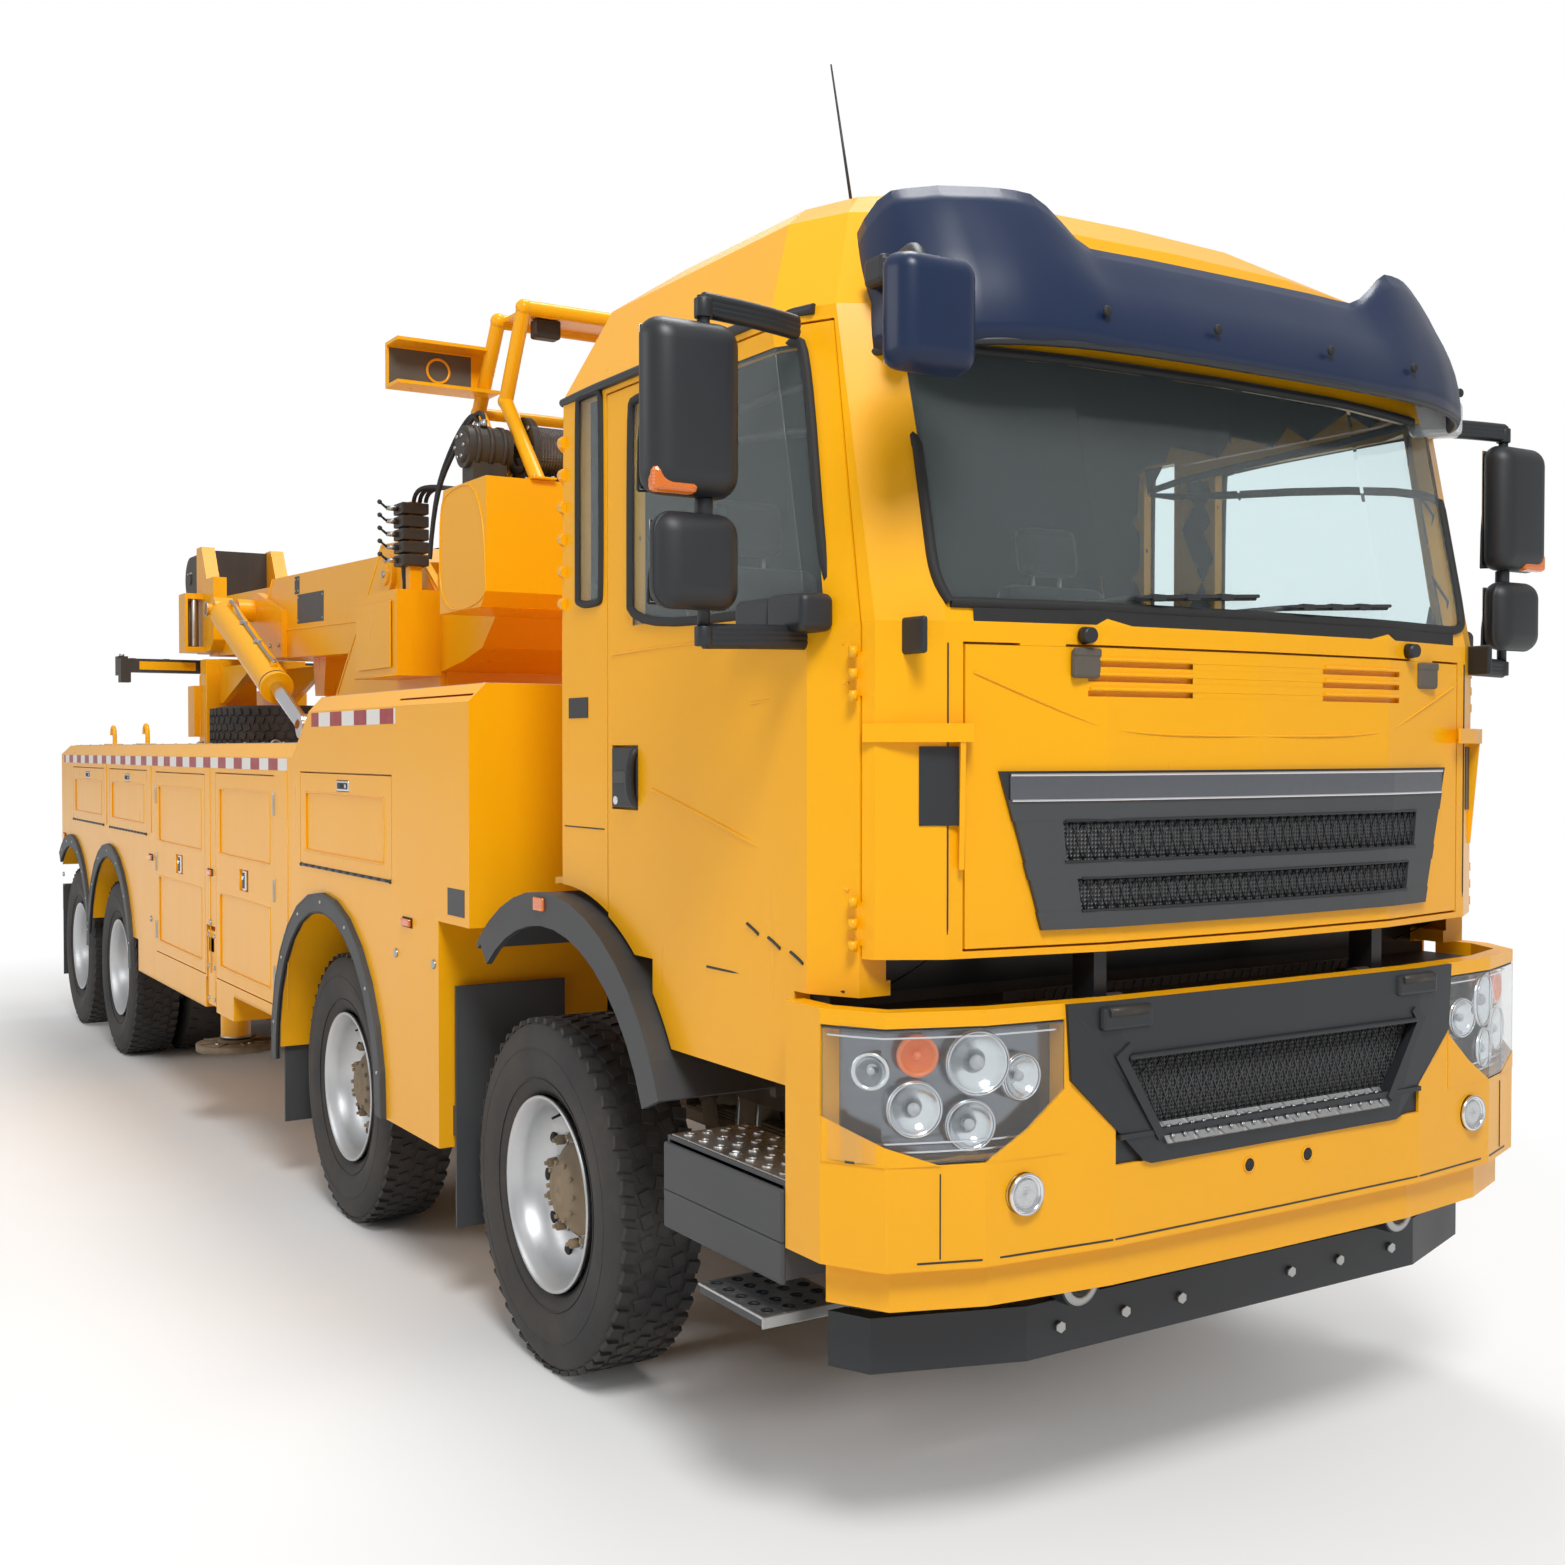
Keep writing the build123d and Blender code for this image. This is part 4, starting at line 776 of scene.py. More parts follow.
# ------------------------------------------------------------------ body
def locker_fittings(name, s0, s1, z0, z1, hinge, side_name, side):
    """Latch, seal and hinge of one locker door."""
    shape = Shape(f"locker_{name}_{side_name}_fittings", side)
    middle = (s0 + s1) / 2
    if hinge == "foot":
        z = z1 - 0.045
        latch = ((-0.0125, 0.001, -0.076, 0.076, 0.0205, "chrome", 0.004),
            (-0.006, 0.0035, -0.062, 0.062, 0.0135, "trim", 0.004),
            (0.0, 0.006, -0.012, 0.03, 0.009, "rubber", 0.003))
        shape.bar((BODY_X + 0.001, middle - 0.045, z), (BODY_X + 0.0045, middle - 0.045, z), 0.008, "chrome",
            20)
        # piano hinge along the foot
        knuckle = (s1 - s0 - 0.04) / 12
        for i in range(12):
            s = s0 + 0.02 + knuckle * i
            shape.stud((BODY_X + 0.0005, s, z0 + 0.004), "y", 0, knuckle - 0.003, 0.0062, "trim", 12)
        for s in (s0 + 0.01, s1 - 0.01):
            shape.ball((BODY_X, s, z0 + 0.004), 0.009, "trim", segments=10)
        panels = ((s0 + 0.08, s1 - 0.07, z0 + 0.063, z1 - 0.076),)
    else:
        z = 1.3
        latch = ((-0.0125, 0.001, -0.026, 0.026, 0.048, "chrome", 0.008),
            (-0.006, 0.004, -0.018, 0.018, 0.038, "trim", 0.006))
        shape.stud((BODY_X, middle, z + 0.012), "x", 0, 0.008, 0.011, "chrome", 20, tip=0.01)
        # knuckles of the upright hinge
        edge = s1 - 0.004 if hinge == "rear" else s0 + 0.004
        for foot in (z0 + 0.07, (z0 + z1) / 2 - 0.05, z1 - 0.17):
            shape.stud((BODY_X, edge, foot), "z", 0, 0.1, 0.0075, "steel", 12, bevel=0.001)
        panels = ((s0 + 0.07, s1 - 0.07, 1.4, z1 - 0.07), (s0 + 0.07, s1 - 0.07, z0 + 0.06, 1.21))
    for x0, x1, a, b, half, look, bevel in latch:
        shape.box((BODY_X + x0, middle + a, z - half), (BODY_X + x1, middle + b, z + half), look, bevel)
    # rolled edge round each pressed panel, its corners cut
    for a, b, c, d in panels:
        corners = ((a + 0.01, c), (b - 0.01, c), (b, c + 0.01), (b, d - 0.01), (b - 0.01, d), (a + 0.01, d),
            (a, d - 0.01), (a, c + 0.01))
        frame_bars(shape, [(BODY_X - 0.0015, *corner) for corner in corners], 0.0042, "paint")
    # rubber seal behind the door's edge
    a, b, c, d = s0 + 0.004, s1 - 0.004, z0 + 0.004, z1 - 0.004
    frame_bars(shape, [(BODY_X - 0.02, *corner) for corner in ((a, c), (b, c), (b, d), (a, d))], 0.0045,
        "rubber")
    return shape.done(f"locker_{name}_{side_name}")


def body_tapes():
    """Reflective tape along both flanks and across the rear."""
    shape = Shape("body_tapes")
    for side in shape.sides():
        face = side * BODY_X
        for s0, s1, z0, z1 in ((2.46, 8.06, 1.817, 1.869), (1.08, 2.1, 2.0, 2.056)):
            ribbon(shape, [at(face + side * 0.0003, s, z0) for s in spread(s0, s1, 3)], (0, 0, z1 - z0),
                0.001, "tape")
    return shape.done("truck")


def body_fittings():
    """Treads, drain bolts, gutters, hooks and blank plates of the locker body."""
    shape = Shape("body_fittings")
    for side in shape.sides():
        face = side * BODY_X
        low, high = sorted((side * 0.66, side * 1.17))
        for s0, s1 in ((2.52, 4.3), (4.34, 6.12), (6.16, 8.1)):
            shape.box(at(low, s0, 1.9345), at(high, s1, 1.9385), "plate", 0.0015)
            shape.bolts([at(x, s, 1.9385) for x in (low + 0.03, high - 0.03)
                for s in spread(s0 + 0.05, s1 - 0.05, 6)], (0, 0, 1), 0.007, 0.003, "steel", 8)
        shape.box((0.82, 0.45, 2.1235), (1.17, 2.1, 2.1275), "plate", 0.0015)
        # sealing beads and seams between the locker cases
        for s in (2.455, 3.815, 5.18, 6.495):
            shape.bar(at(face + side * 0.0005, s, 1.44 if s > 5.0 else 0.8),
                at(face + side * 0.0005, s, 1.815), 0.0028, "paint", 8)
        for s, z in ((3.815, 1.05), (2.5, 1.1), (5.2, 0.95), (1.08, 1.18), (0.7, 1.18), (8.12, 1.02)):
            shape.bar(at(face - side * 0.003, s, z), at(face + side * 0.007, s, z), 0.017, "steel", 6,
                tip=0.015)
        # angle irons at the skirt's foot
        for s0, s1, z in ((2.7, 3.38, 0.738), (3.94, 5.54, 0.62)):
            shape.box(at(face, s0, z), at(face - side * 0.04, s1, z + 0.006), "paint", 0.002)
        # corner stud plates, and a bare information plate
        shape.box(at(face, 0.42, 1.36), at(face + side * 0.0015, 0.57, 1.45), "grey", 0.0006)
    # two lashing hooks on the body's right rear edge, two on the left
    for side in shape.sides():
        for s in (7.35, 6.3):
            x = side * 1.05
            shape.box(at(x - 0.05, s - 0.06, 1.934), at(x + 0.05, s + 0.06, 1.946), "paint", 0.003)
            shape.pipe([at(x, s - 0.045, 1.94), at(x, s - 0.05, 2.02), at(x, s - 0.01, 2.065),
                at(x, s + 0.04, 2.045), at(x, s + 0.045, 2.005)], 0.014, "paint", 12)
    # deck drains and lashing rings on the rear deck
    for x in (-0.45, 0.45):
        for s in (5.55, 7.45):
            shape.ring((x, s, 1.903), (0, 0, 1), 0.0, 0.006, 0.03, 0.052, "steel", 28)
            shape.pipe([(x - 0.035, s, 1.905), (x - 0.035, s, 1.945), (x, s, 1.968), (x + 0.035, s, 1.945),
                (x + 0.035, s, 1.905)], 0.007, "steel", 10)
    # blank plate and its two lamps on the rear beam
    shape.box((0.45, 8.42, 0.79), (0.82, 8.424, 0.885), "grey", 0.001)
    for x in (0.54, 0.73):
        shape.bar((x, 8.418, 0.905), (x, 8.445, 0.905), 0.014, "trim", 16)
    return shape.done("truck")


def arch_fittings():
    """Lighter inner edges, rivets and folded ends on the wheel arch lips."""
    shape = Shape("arch_fittings")
    for side in shape.sides():
        x = side * 1.262
        for s, z, r, start, end in ((1.93, 0.6, 0.662, -3, 183), (6.4, 0.59, 0.652, 2, 178),
                (7.75, 0.59, 0.652, 53, 178)):
            angles = [radians(a) for a in spread(start, end, 15)]
            shape.pipe([at(x, s + r * cos(a), z + r * sin(a)) for a in angles], 0.0085, "rubber", 10)
            shape.pipe([(1.266, s + (r + 0.066) * cos(a), z + (r + 0.066) * sin(a)) for a in angles], 0.006,
                "grey", 8)
            for a in angles[1:-1:2]:
                place = at(side * 1.27, s + (r + 0.035) * cos(a), z + (r + 0.035) * sin(a))
                shape.stud(place, "x", -0.003, 0.003, 0.008, "steel", 12, tip=0.006)
        # bolts that hold the flaps
        for s, z in ((2.632, 0.605), (8.35, 0.9)):
            for i in range(4):
                place = at(side * (0.72 + 0.14 * i), s, z)
                shape.stud(place, "y", 0, 0.01, 0.011, "steel")
        # louvred valance behind the first wheel
        for z in (0.66, 0.74, 0.82, 0.9, 0.98):
            shape.box((0.86, 0.64, z), (1.16, 0.652, z + 0.018), "grey", 0.003)
    return shape.done("truck")


# ------------------------------------------------------------------ lamps and front
def lamps():
    """Headlamps, fog lamps, side markers and rear clusters."""
    shape = Shape("lamp_units")
    plan = ((0.69, -1.842), (0.78, -1.8335), (0.9, -1.818), (1.0, -1.785), (1.12, -1.738), (1.165, -1.672),
        (1.197, -1.606))
    # x, s, z, radius, look, bright ring
    reflectors = ((0.905, -1.8, 1.205, 0.068, "mirror", True), (0.79, -1.815, 1.165, 0.048, "mirror", True),
        (1.035, -1.75, 1.225, 0.04, "amber", False), (1.04, -1.745, 1.105, 0.058, "mirror", True),
        (0.92, -1.792, 1.065, 0.052, "mirror", True), (1.125, -1.69, 1.19, 0.036, "mirror", False))
    for side in shape.sides():
        # smoked bowl, clear cover, rims and stepped trim: share of x, drift, height, breadth, wall, look
        for share, drift, z, rise, wall, look in (
                (0.975, 0.05, 0.99, 0.298, 0.004, "dark_chrome"), (1.001, -0.001, 0.99, 0.298, 0.0025, "cover"),
                (1, 0.004, 0.986, 0.006, 0.004, "trim"), (1, 0.004, 1.284, 0.006, 0.004, "trim"),
                (0.99, 0.016, 1.01, 0.004, 0.004, "chrome"), (0.99, 0.016, 1.03, 0.004, 0.004, "chrome"),
                (0.99, 0.016, 1.265, 0.004, 0.004, "chrome")):
            ribbon(shape, [(x * share, s + drift, z) for x, s in plan], (0, 0, rise), wall, look)
        # body-coloured corners that give the lamp its kite outline
        for corner in (((0.686, -1.845, 0.984), (0.686, -1.845, 1.135), (0.79, -1.835, 1.05),
                (0.9, -1.821, 0.984)), ((1.0, -1.788, 0.984), (1.122, -1.7405, 1.03),
                (1.122, -1.7405, 0.984)), ((1.122, -1.7405, 0.984), (1.122, -1.7405, 1.03),
                (1.199, -1.6075, 1.085), (1.199, -1.6075, 0.984))):
            shape.flat(corner, (0, 0.008, 0), "paint")
        for x, s, z, r, look, ringed in reflectors:
            turn = 0.0 if x < 0.9 else (0.35 if x < 1.05 else 0.75)
            way = Vector((side * sin(turn), -cos(turn), 0))
            centre = shape.place((x, s, z)) - way * 0.006
            shape.turned(centre, way, [(-0.024, 0.0005), (-0.02, r * 0.45), (-0.004, r * 0.93), (0.004, r),
                (0.004, r + 0.007), (-0.01, r + 0.008), (-0.028, r * 0.5), (-0.03, 0.0005)], look, 36)
            shape.ball(centre - way * 0.008, r * 0.26, "clear" if look == "mirror" else "amber", segments=14)
            if ringed:
                shape.turned(centre, way, [(0.004, r), (0.009, r + 0.003), (0.004, r + 0.006)], "chrome", 36)
        # fog lamp: bowl, lens and bezel
        for outline, look in (
                ([(-0.03, 0.0005), (-0.02, 0.026), (0.0, 0.037), (0.002, 0.047), (-0.034, 0.047),
                  (-0.036, 0.0005)], "mirror"),
                ([(-0.004, 0.0005), (0.003, 0.0005), (0.001, 0.026), (-0.002, 0.038), (-0.006, 0.038)], "clear"),
                ([(-0.01, 0.0475), (0.006, 0.0475), (0.004, 0.04), (-0.002, 0.04)], "chrome")):
            shape.turned((0.8, -1.842, 0.905), (0, -1, 0), outline, look, 40)
        # side markers with their bases, and the marker on the first guard
        for s in (0.96, 3.815, 5.19, 8.06):
            shape.box((1.2495, s - 0.048, 1.282), (1.2535, s + 0.048, 1.318), "rubber", 0.001)
            shape.box((1.253, s - 0.042, 1.287), (1.264, s + 0.042, 1.313), "amber", 0.004)
        shape.box((1.215, -0.135, 1.425), (1.225, -0.065, 1.465), "amber", 0.004)
        # rear cluster: turn, brake, tail and reversing lenses in a black case
        shape.box((0.85, 8.421, 0.752), (1.2, 8.452, 0.918), "trim", 0.008)
        for i, look in enumerate(("amber", "red", "red", "clear")):
            x = 1.115 - 0.084 * i
            shape.box((x - 0.038, 8.448, 0.765), (x + 0.038, 8.464, 0.905), look, 0.006)
            for z in (0.8, 0.835, 0.87):
                shape.box((x - 0.034, 8.4625, z - 0.0008), (x + 0.034, 8.4652, z + 0.0008), look)
    return shape.done("truck", ("lamps",))


def bumper_fittings():
    """Dark surround, mesh, tread and tow covers in the bumper."""
    shape = Shape("bumper_fittings")

    def on(x, z, lift):
        """A point on the bumper's face, so far in front of it."""
        wide = abs(x)
        s = -1.862 + 0.004 * wide / 0.55 if wide < 0.55 else -1.858 + 0.038 * (wide - 0.55) / 0.35
        return at(x, s - lift, z)

    # dark surround: a deep top beam, two legs and a foot, bent to the face
    for side in shape.sides((-1, 1)):
        shape.flat([on(side * x, z, 0.009) for x, z in ((0.535, 1.326), (0.688, 1.326), (0.676, 1.15),
            (0.462, 0.942), (0.44, 0.934), (0.405, 1.005), (0.535, 1.188))], (0, 0.03, 0), "trim")
        shape.flat([on(side * x, z, 0.014) for x, z in ((0.5, 1.214), (0.512, 1.226), (0.556, 1.196),
            (0.42, 0.986), (0.402, 1.0), (0.52, 1.188))], (0, 0.02, 0), "trim")
    shape.flat([on(x, z, 0.009) for x, z in ((-0.535, 1.188), (0.535, 1.188), (0.535, 1.326),
        (-0.535, 1.326))], (0, 0.03, 0), "trim")
    shape.flat([on(x, z, 0.009) for x, z in ((-0.405, 1.005), (0.405, 1.005), (0.44, 0.934), (-0.44, 0.934))],
        (0, 0.03, 0), "trim")
    shape.box((-0.515, -1.878, 1.186), (0.515, -1.858, 1.198), "trim", 0.004)
    # mesh set deep inside
    shape.flat([(x, -1.838, z) for x, z in ((-0.545, 1.2), (0.545, 1.2), (0.415, 0.995), (-0.415, 0.995))],
        (0, 0.004, 0), "mesh")
    for x in spread(-0.53, 0.53, 44):
        foot = 0.998 + max(0.0, abs(x) - 0.41) * 1.5
        for lean, s in ((0.09, -1.84), (-0.09, -1.8415)):
            shape.bar((x, s, foot), (min(0.54, max(-0.54, x + lean)), s, 1.198), 0.0015, "grey", 6)
    # bright tread, sloped across the window's foot
    shape.flat([(-0.4, s, z) for s, z in ((-1.88, 0.978), (-1.846, 1.022), (-1.842, 1.018), (-1.874, 0.974))],
        (0.8, 0, 0), "plate")
    for x in spread(-0.375, 0.375, 20):
        for k in (0.28, 0.72):
            shape.turned((x, -1.88 + 0.034 * k, 0.978 + 0.044 * k), (0, -0.79, 0.61),
                [(-0.002, 0.0005), (0.003, 0.0005), (0.003, 0.005), (-0.002, 0.008)], "steel", 12)
    # latches that hold the step frame to the panel
    for side in shape.sides():
        shape.box((0.44, -1.876, 1.258), (0.6, -1.85, 1.314), "trim", 0.01)
        shape.bar((0.46, -1.868, 1.3), (0.58, -1.868, 1.3), 0.013, "black", 16)
        # tow eye covers and the lip's seam
        shape.turned((0.105, -1.8605, 0.885), (0, -1, 0), [(0.0, 0.0005), (0.0, 0.016), (0.003, 0.016),
            (0.003, 0.0005)], "rubber", 24)
        shape.turned((0.105, -1.8605, 0.885), (0, -1, 0), [(0.0, 0.016), (0.004, 0.0165), (0.004, 0.02),
            (0.0, 0.02)], "paint", 24)
    xs = spread(-1.05, 1.05, 31)
    ribbon(shape, front_line("bumper", xs, 0.765, 0.0008), (0, 0, 0.0045), 0.0012, "trim")
    # corner seams of the bumper
    for side in shape.sides():
        line = [skin("bumper", (side * 1.0, -7.0, z), (0, 1, 0))[0] + Vector((0, -0.0005, 0))
            for z in spread(0.775, 0.965, 5)]
        shape.pipe(line, 0.0018, "trim", 6)
    return shape.done("truck")


def push_bar_fittings():
    """End caps, bolts and sockets of the low push bar."""
    shape = Shape("push_bar_fittings")
    for side in shape.sides():
        for x in (0.2, 0.39, 0.6):
            place = at(side * x, -1.725, 0.535)
            shape.stud(place, "y", 0.004, -0.01, 0.014, "steel")
        centre = at(side * 0.575, -1.775, 0.65)
        shape.turned(centre, (0, -1, 0), [(-0.02, 0.0005), (-0.02, 0.03), (0.0, 0.034), (0.004, 0.04),
            (0.0, 0.056), (-0.01, 0.0615), (-0.034, 0.0615), (-0.034, 0.0005)], "steel", 36)
        shape.ring(centre, (0, -1, 0), 0.004, 0.01, 0.012, 0.026, "rubber", 28)
        shape.bar((0.39, -1.645, 0.755), (0.39, -1.7, 0.61), 0.012, "steel", 12)
        for s in (-1.695, -1.65):
            shape.bar((0.421, s, 0.64), (0.432, s, 0.64), 0.01, "steel", 6)
    for i in range(3):
        shape.pipe([(-0.3 + 0.2 * i, -1.66, 0.745), (-0.28 + 0.2 * i, -1.64, 0.7),
            (-0.22 + 0.2 * i, -1.62, 0.71), (-0.18 + 0.2 * i, -1.6, 0.76)], 0.009, "rubber", 10)
    return shape.done("truck")


def front_panel_fittings():
    """Chrome strip, meshes, louvre lips, wiper housings and seams on the front flap."""
    shape = Shape("front_panel_fittings")
    xs = spread(-0.775, 0.775, 25)
    base = [p + Vector((0, -0.0145, 0)) for p in front_line("front_panel", xs, 1.83)]
    ribbon(shape, [Vector((p.x, p.y, 1.792)) for p in base], (0, 0.001, 0.056), 0.0022, "dark_chrome")
    # a bright rounded lip along the strip's top and foot
    shape.pipe([Vector((p.x, p.y - 0.0005, 1.849)) for p in base], 0.0036, "chrome", 10)
    shape.pipe([Vector((p.x * 0.995, p.y - 0.0005, 1.79)) for p in base], 0.0036, "chrome", 10)
    # lips over the louvres, short ones each side
    for z in (2.04, 2.075, 2.11):
        for side in shape.sides((-1, 1)):
            low, high = sorted((side * 0.24, side * 0.555))
            line = front_line("front_panel", spread(low, high, 7), z + 0.0105, 0.002)
            shape.pipe(line, 0.005, "paint", 8)
    # centre of the louvres is closed
    for z in (2.04, 2.075, 2.11):
        line = front_line("front_panel", spread(-0.235, 0.235, 5), z + 0.0105)
        ribbon(shape, [Vector((p.x, p.y + 0.0005, z - 0.0068)) for p in line], (0, 0, 0.0136), 0.002, "paint")
    # pressed line across the panel
    line = []
    for x, z in ((-0.86, 2.085), (-0.6, 1.985), (-0.46, 1.945), (0.0, 1.94), (0.46, 1.945), (0.6, 1.985),
            (0.86, 2.085)):
        place, normal = skin("front_panel", (x, -7.0, z), (0, 1, 0))
        line.append(place + normal * 0.0005)
    shape.pipe(line, 0.0035, "paint", 8)
    # hinge covers under the screen
    for x in (-0.57, 0.7):
        place, _ = skin("front_panel", (x, -7.0, 2.12), (0, 1, 0))
        shape.box(Vector((x - 0.042, place.y - 0.014, 2.075)), Vector((x + 0.042, place.y + 0.004, 2.143)),
            "hub", 0.008)
        shape.box(Vector((x - 0.042, place.y - 0.016, 2.125)), Vector((x + 0.042, place.y - 0.004, 2.146)),
            "hub", 0.005)
    return shape.done("front_flap")


def smooth_step(value, low, high):
    value = min(1.0, max(0.0, (value - low) / (high - low)))
    return value * value * (3 - 2 * value)


def sun_visor():
    """A deep swept visor whose two ends rise over the roof's corners."""
    shape = Shape("sun_visor")
    # half plan of the visor's foot: x, s
    plan = [Vector(place) for place in ((0.0, -1.838), (0.3, -1.836), (0.55, -1.822), (0.74, -1.786),
        (0.88, -1.728), (0.965, -1.655), (1.004, -1.565), (1.008, -1.475))]
    run = [0.0]
    for a, b in zip(plan, plan[1:]):
        run.append(run[-1] + (b - a).length)

    def foot(u):
        """The plan point at a share of the half run, counted from the middle."""
        length = min(abs(u) * run[-1], run[-1])
        i = next(i for i in range(len(plan) - 1) if length <= run[i + 1] + 1e-9)
        place = plan[i].lerp(plan[i + 1], (length - run[i]) / (run[i + 1] - run[i]))
        return (place.x if u >= 0 else -place.x), place.y

    made = bmesh.ops.create_grid(shape.bm, x_segments=56, y_segments=9, size=1.0)
    for vert in made["verts"]:
        u, v = vert.co.x, (vert.co.y + 1) / 2
        x, s = foot(u)
        rise = smooth_step(abs(x), 0.46, 0.66) * (1 - 0.9 * smooth_step(abs(u), 0.86, 1.0))
        bottom = 2.845 - 0.012 * smooth_step(abs(u), 0.5, 0.9)
        lean = 0.15 * v * v + 0.012 * sin(pi * v) - 0.009 * sin(pi * min(1.0, v * 1.5))
        drift = 0.06 * v * v * smooth_step(abs(u), 0.55, 1.0)
        vert.co = at(x - (drift if x > 0 else -drift), s + lean, bottom + (3.118 + 0.112 * rise - bottom) * v)
    bmesh.ops.recalc_face_normals(shape.bm, faces=list(shape.bm.faces))
    bmesh.ops.solidify(shape.bm, geom=list(shape.bm.faces), thickness=0.022)
    shape._finish(list(shape.bm.verts), "navy", True)
    bmesh.ops.recalc_face_normals(shape.bm, faces=list(shape.bm.faces))
    # rolled lower edge, fasteners and the clear corner lamps
    edge = [(u, *foot(u)) for u in spread(-0.97, 0.97, 25)]
    shape.pipe([(x, s + 0.008, 2.844 - 0.012 * smooth_step(abs(u), 0.5, 0.9)) for u, x, s in edge], 0.01,
        "trim", 10)
    for u in (-0.8, -0.46, -0.17, 0.17, 0.46, 0.8):
        x, s = foot(u)
        shape.ball((x, s - 0.003, 2.925), 0.013, "rubber", (1, 0.5, 1), 14)
    for side in (-1, 1):
        turn = Matrix.Rotation(side * -0.72, 4, "Z") @ Matrix.Diagonal((0.15, 0.06, 0.105, 1.0))
        block = Matrix.Translation(at(side * 0.955, -1.585, 2.868)) @ turn
        verts = bmesh.ops.create_cube(shape.bm, size=1.0, matrix=block)["verts"]
        shape._finish(shape.round_off(verts, 0.02, 3), "clear")
    return shape.done("cab", ("cab_visor",))


def rounded_head(shape, middle, size, nose, look, turn=None, roundness=0.04):
    """A moulded housing: a block whose front draws in, rounded all over."""
    middle = shape.place(middle)
    shape._roll()
    matrix = Matrix.Translation(middle) @ (turn or Matrix.Identity(4)) @ Matrix.Diagonal((*size, 1.0))
    made = bmesh.ops.create_cube(shape.bm, size=1.0, matrix=matrix)
    verts = made["verts"]
    front = sorted(verts, key=lambda v: v.co.y)[:4]
    bmesh.ops.scale(shape.bm, vec=nose, space=Matrix.Translation(-Vector(middle)), verts=front)
    shape._finish(shape.round_off(verts, roundness, 6), look, True)


def roof_trim():
    """Rain gutters, the kerb-view mirror and its arm."""
    shape = Shape("roof_trim")
    for side in shape.sides((-1, 1)):
        points = []
        for s in spread(-1.42, -0.12, 8):
            place, normal = skin("cab_shell", (side * 3.0, s + AXLE_1_Y, 2.943), (-side, 0, 0))
            points.append(place + normal * 0.004)
        shape.pipe(points, 0.013, "trim", 12)
    rounded_head(shape, (-1.075, -1.845, 2.842), (0.225, 0.1, 0.262), (0.86, 1.0, 0.88), "navy", None, 0.038)
    shape.box((-1.165, -1.798, 2.735), (-0.985, -1.793, 2.95), "mirror", 0.002)
    shape.pipe([(-1.075, -1.805, 2.95), (-1.06, -1.775, 3.0), (-1.02, -1.68, 3.02), (-0.975, -1.56, 3.02)],
        0.019, "trim", 14)
    shape.box((-1.03, -1.6, 2.975), (-0.95, -1.52, 3.045), "trim", 0.014)
    return shape.done("cab", ("cab_trim",))


def grille():
    """A dark moulded frame round two bands of mesh."""
    shape = Shape("grille_frame")

    def sweep(z0, z1, half0, half1, proud, look, thickness=0.012):
        """A band between two heights and half widths, bent to the front."""
        foot = front_line("front_panel", spread(-half0, half0, 25), z0)
        head = front_line("front_panel", spread(-half1, half1, 25), z1)

        def raised(place):
            near = min(range(25), key=lambda i: abs(foot[i].x - place.x))
            return Vector((head[near].x, head[near].y - proud, z1))

        strip(shape, [Vector((p.x, p.y - proud, z0)) for p in foot], raised, thickness, look)

    def width(z):
        return 0.69 + (0.8 - 0.69) * (z - 1.487) / (1.86 - 1.487)

    for z0, z1, proud, look in ((1.488, 1.53, 0.0135, "grey"), (1.606, 1.646, 0.0135, "grey"),
            (1.742, 1.792, 0.0135, "grey"), (1.792, 1.858, 0.0105, "trim")):
        sweep(z0, z1, width(z0), width(z1), proud, look)
    # closed ends beside the meshes
    for side in shape.sides((-1, 1)):
        for z0, z1, inner in ((1.53, 1.606, 0.585), (1.646, 1.742, 0.625)):
            a = [skin("front_panel", (side * x, -7.0, z), (0, 1, 0))[0] for x,
                z in ((inner, z0), (width(z0) - 0.004, z0), (width(z1) - 0.004, z1), (inner + 0.012, z1))]
            shape.flat([p + Vector((0, -0.013, 0)) for p in a], (0, 0.011, 0), "grey")
    # meshes
    for z0, z1, half in ((1.528, 1.608, 0.6), (1.644, 1.744, 0.64)):
        sweep(z0, z1, half, half + 0.012, 0.004, "mesh", 0.003)
        line = front_line("front_panel", spread(-half, half, 41), (z0 + z1) / 2, 0.0)
        for a, b in zip(line, line[1:]):
            shape.bar(Vector((a.x, a.y - 0.0055, z0)), Vector((b.x, b.y - 0.0055, z1)), 0.0016, "trim", 6)
            shape.bar(Vector((b.x, b.y - 0.006, z0)), Vector((a.x, a.y - 0.006, z1)), 0.0016, "trim", 6)
    # rims round each mesh
    for z in (1.53, 1.606, 1.646, 1.742):
        half = 0.585 if z < 1.62 else 0.63
        shape.pipe([p + Vector((0, -0.0135, 0)) for p in front_line("front_panel", spread(-half, half, 13), z,
            0.0)], 0.0035, "trim", 8)
    return shape.done("front_flap", ("grille",))


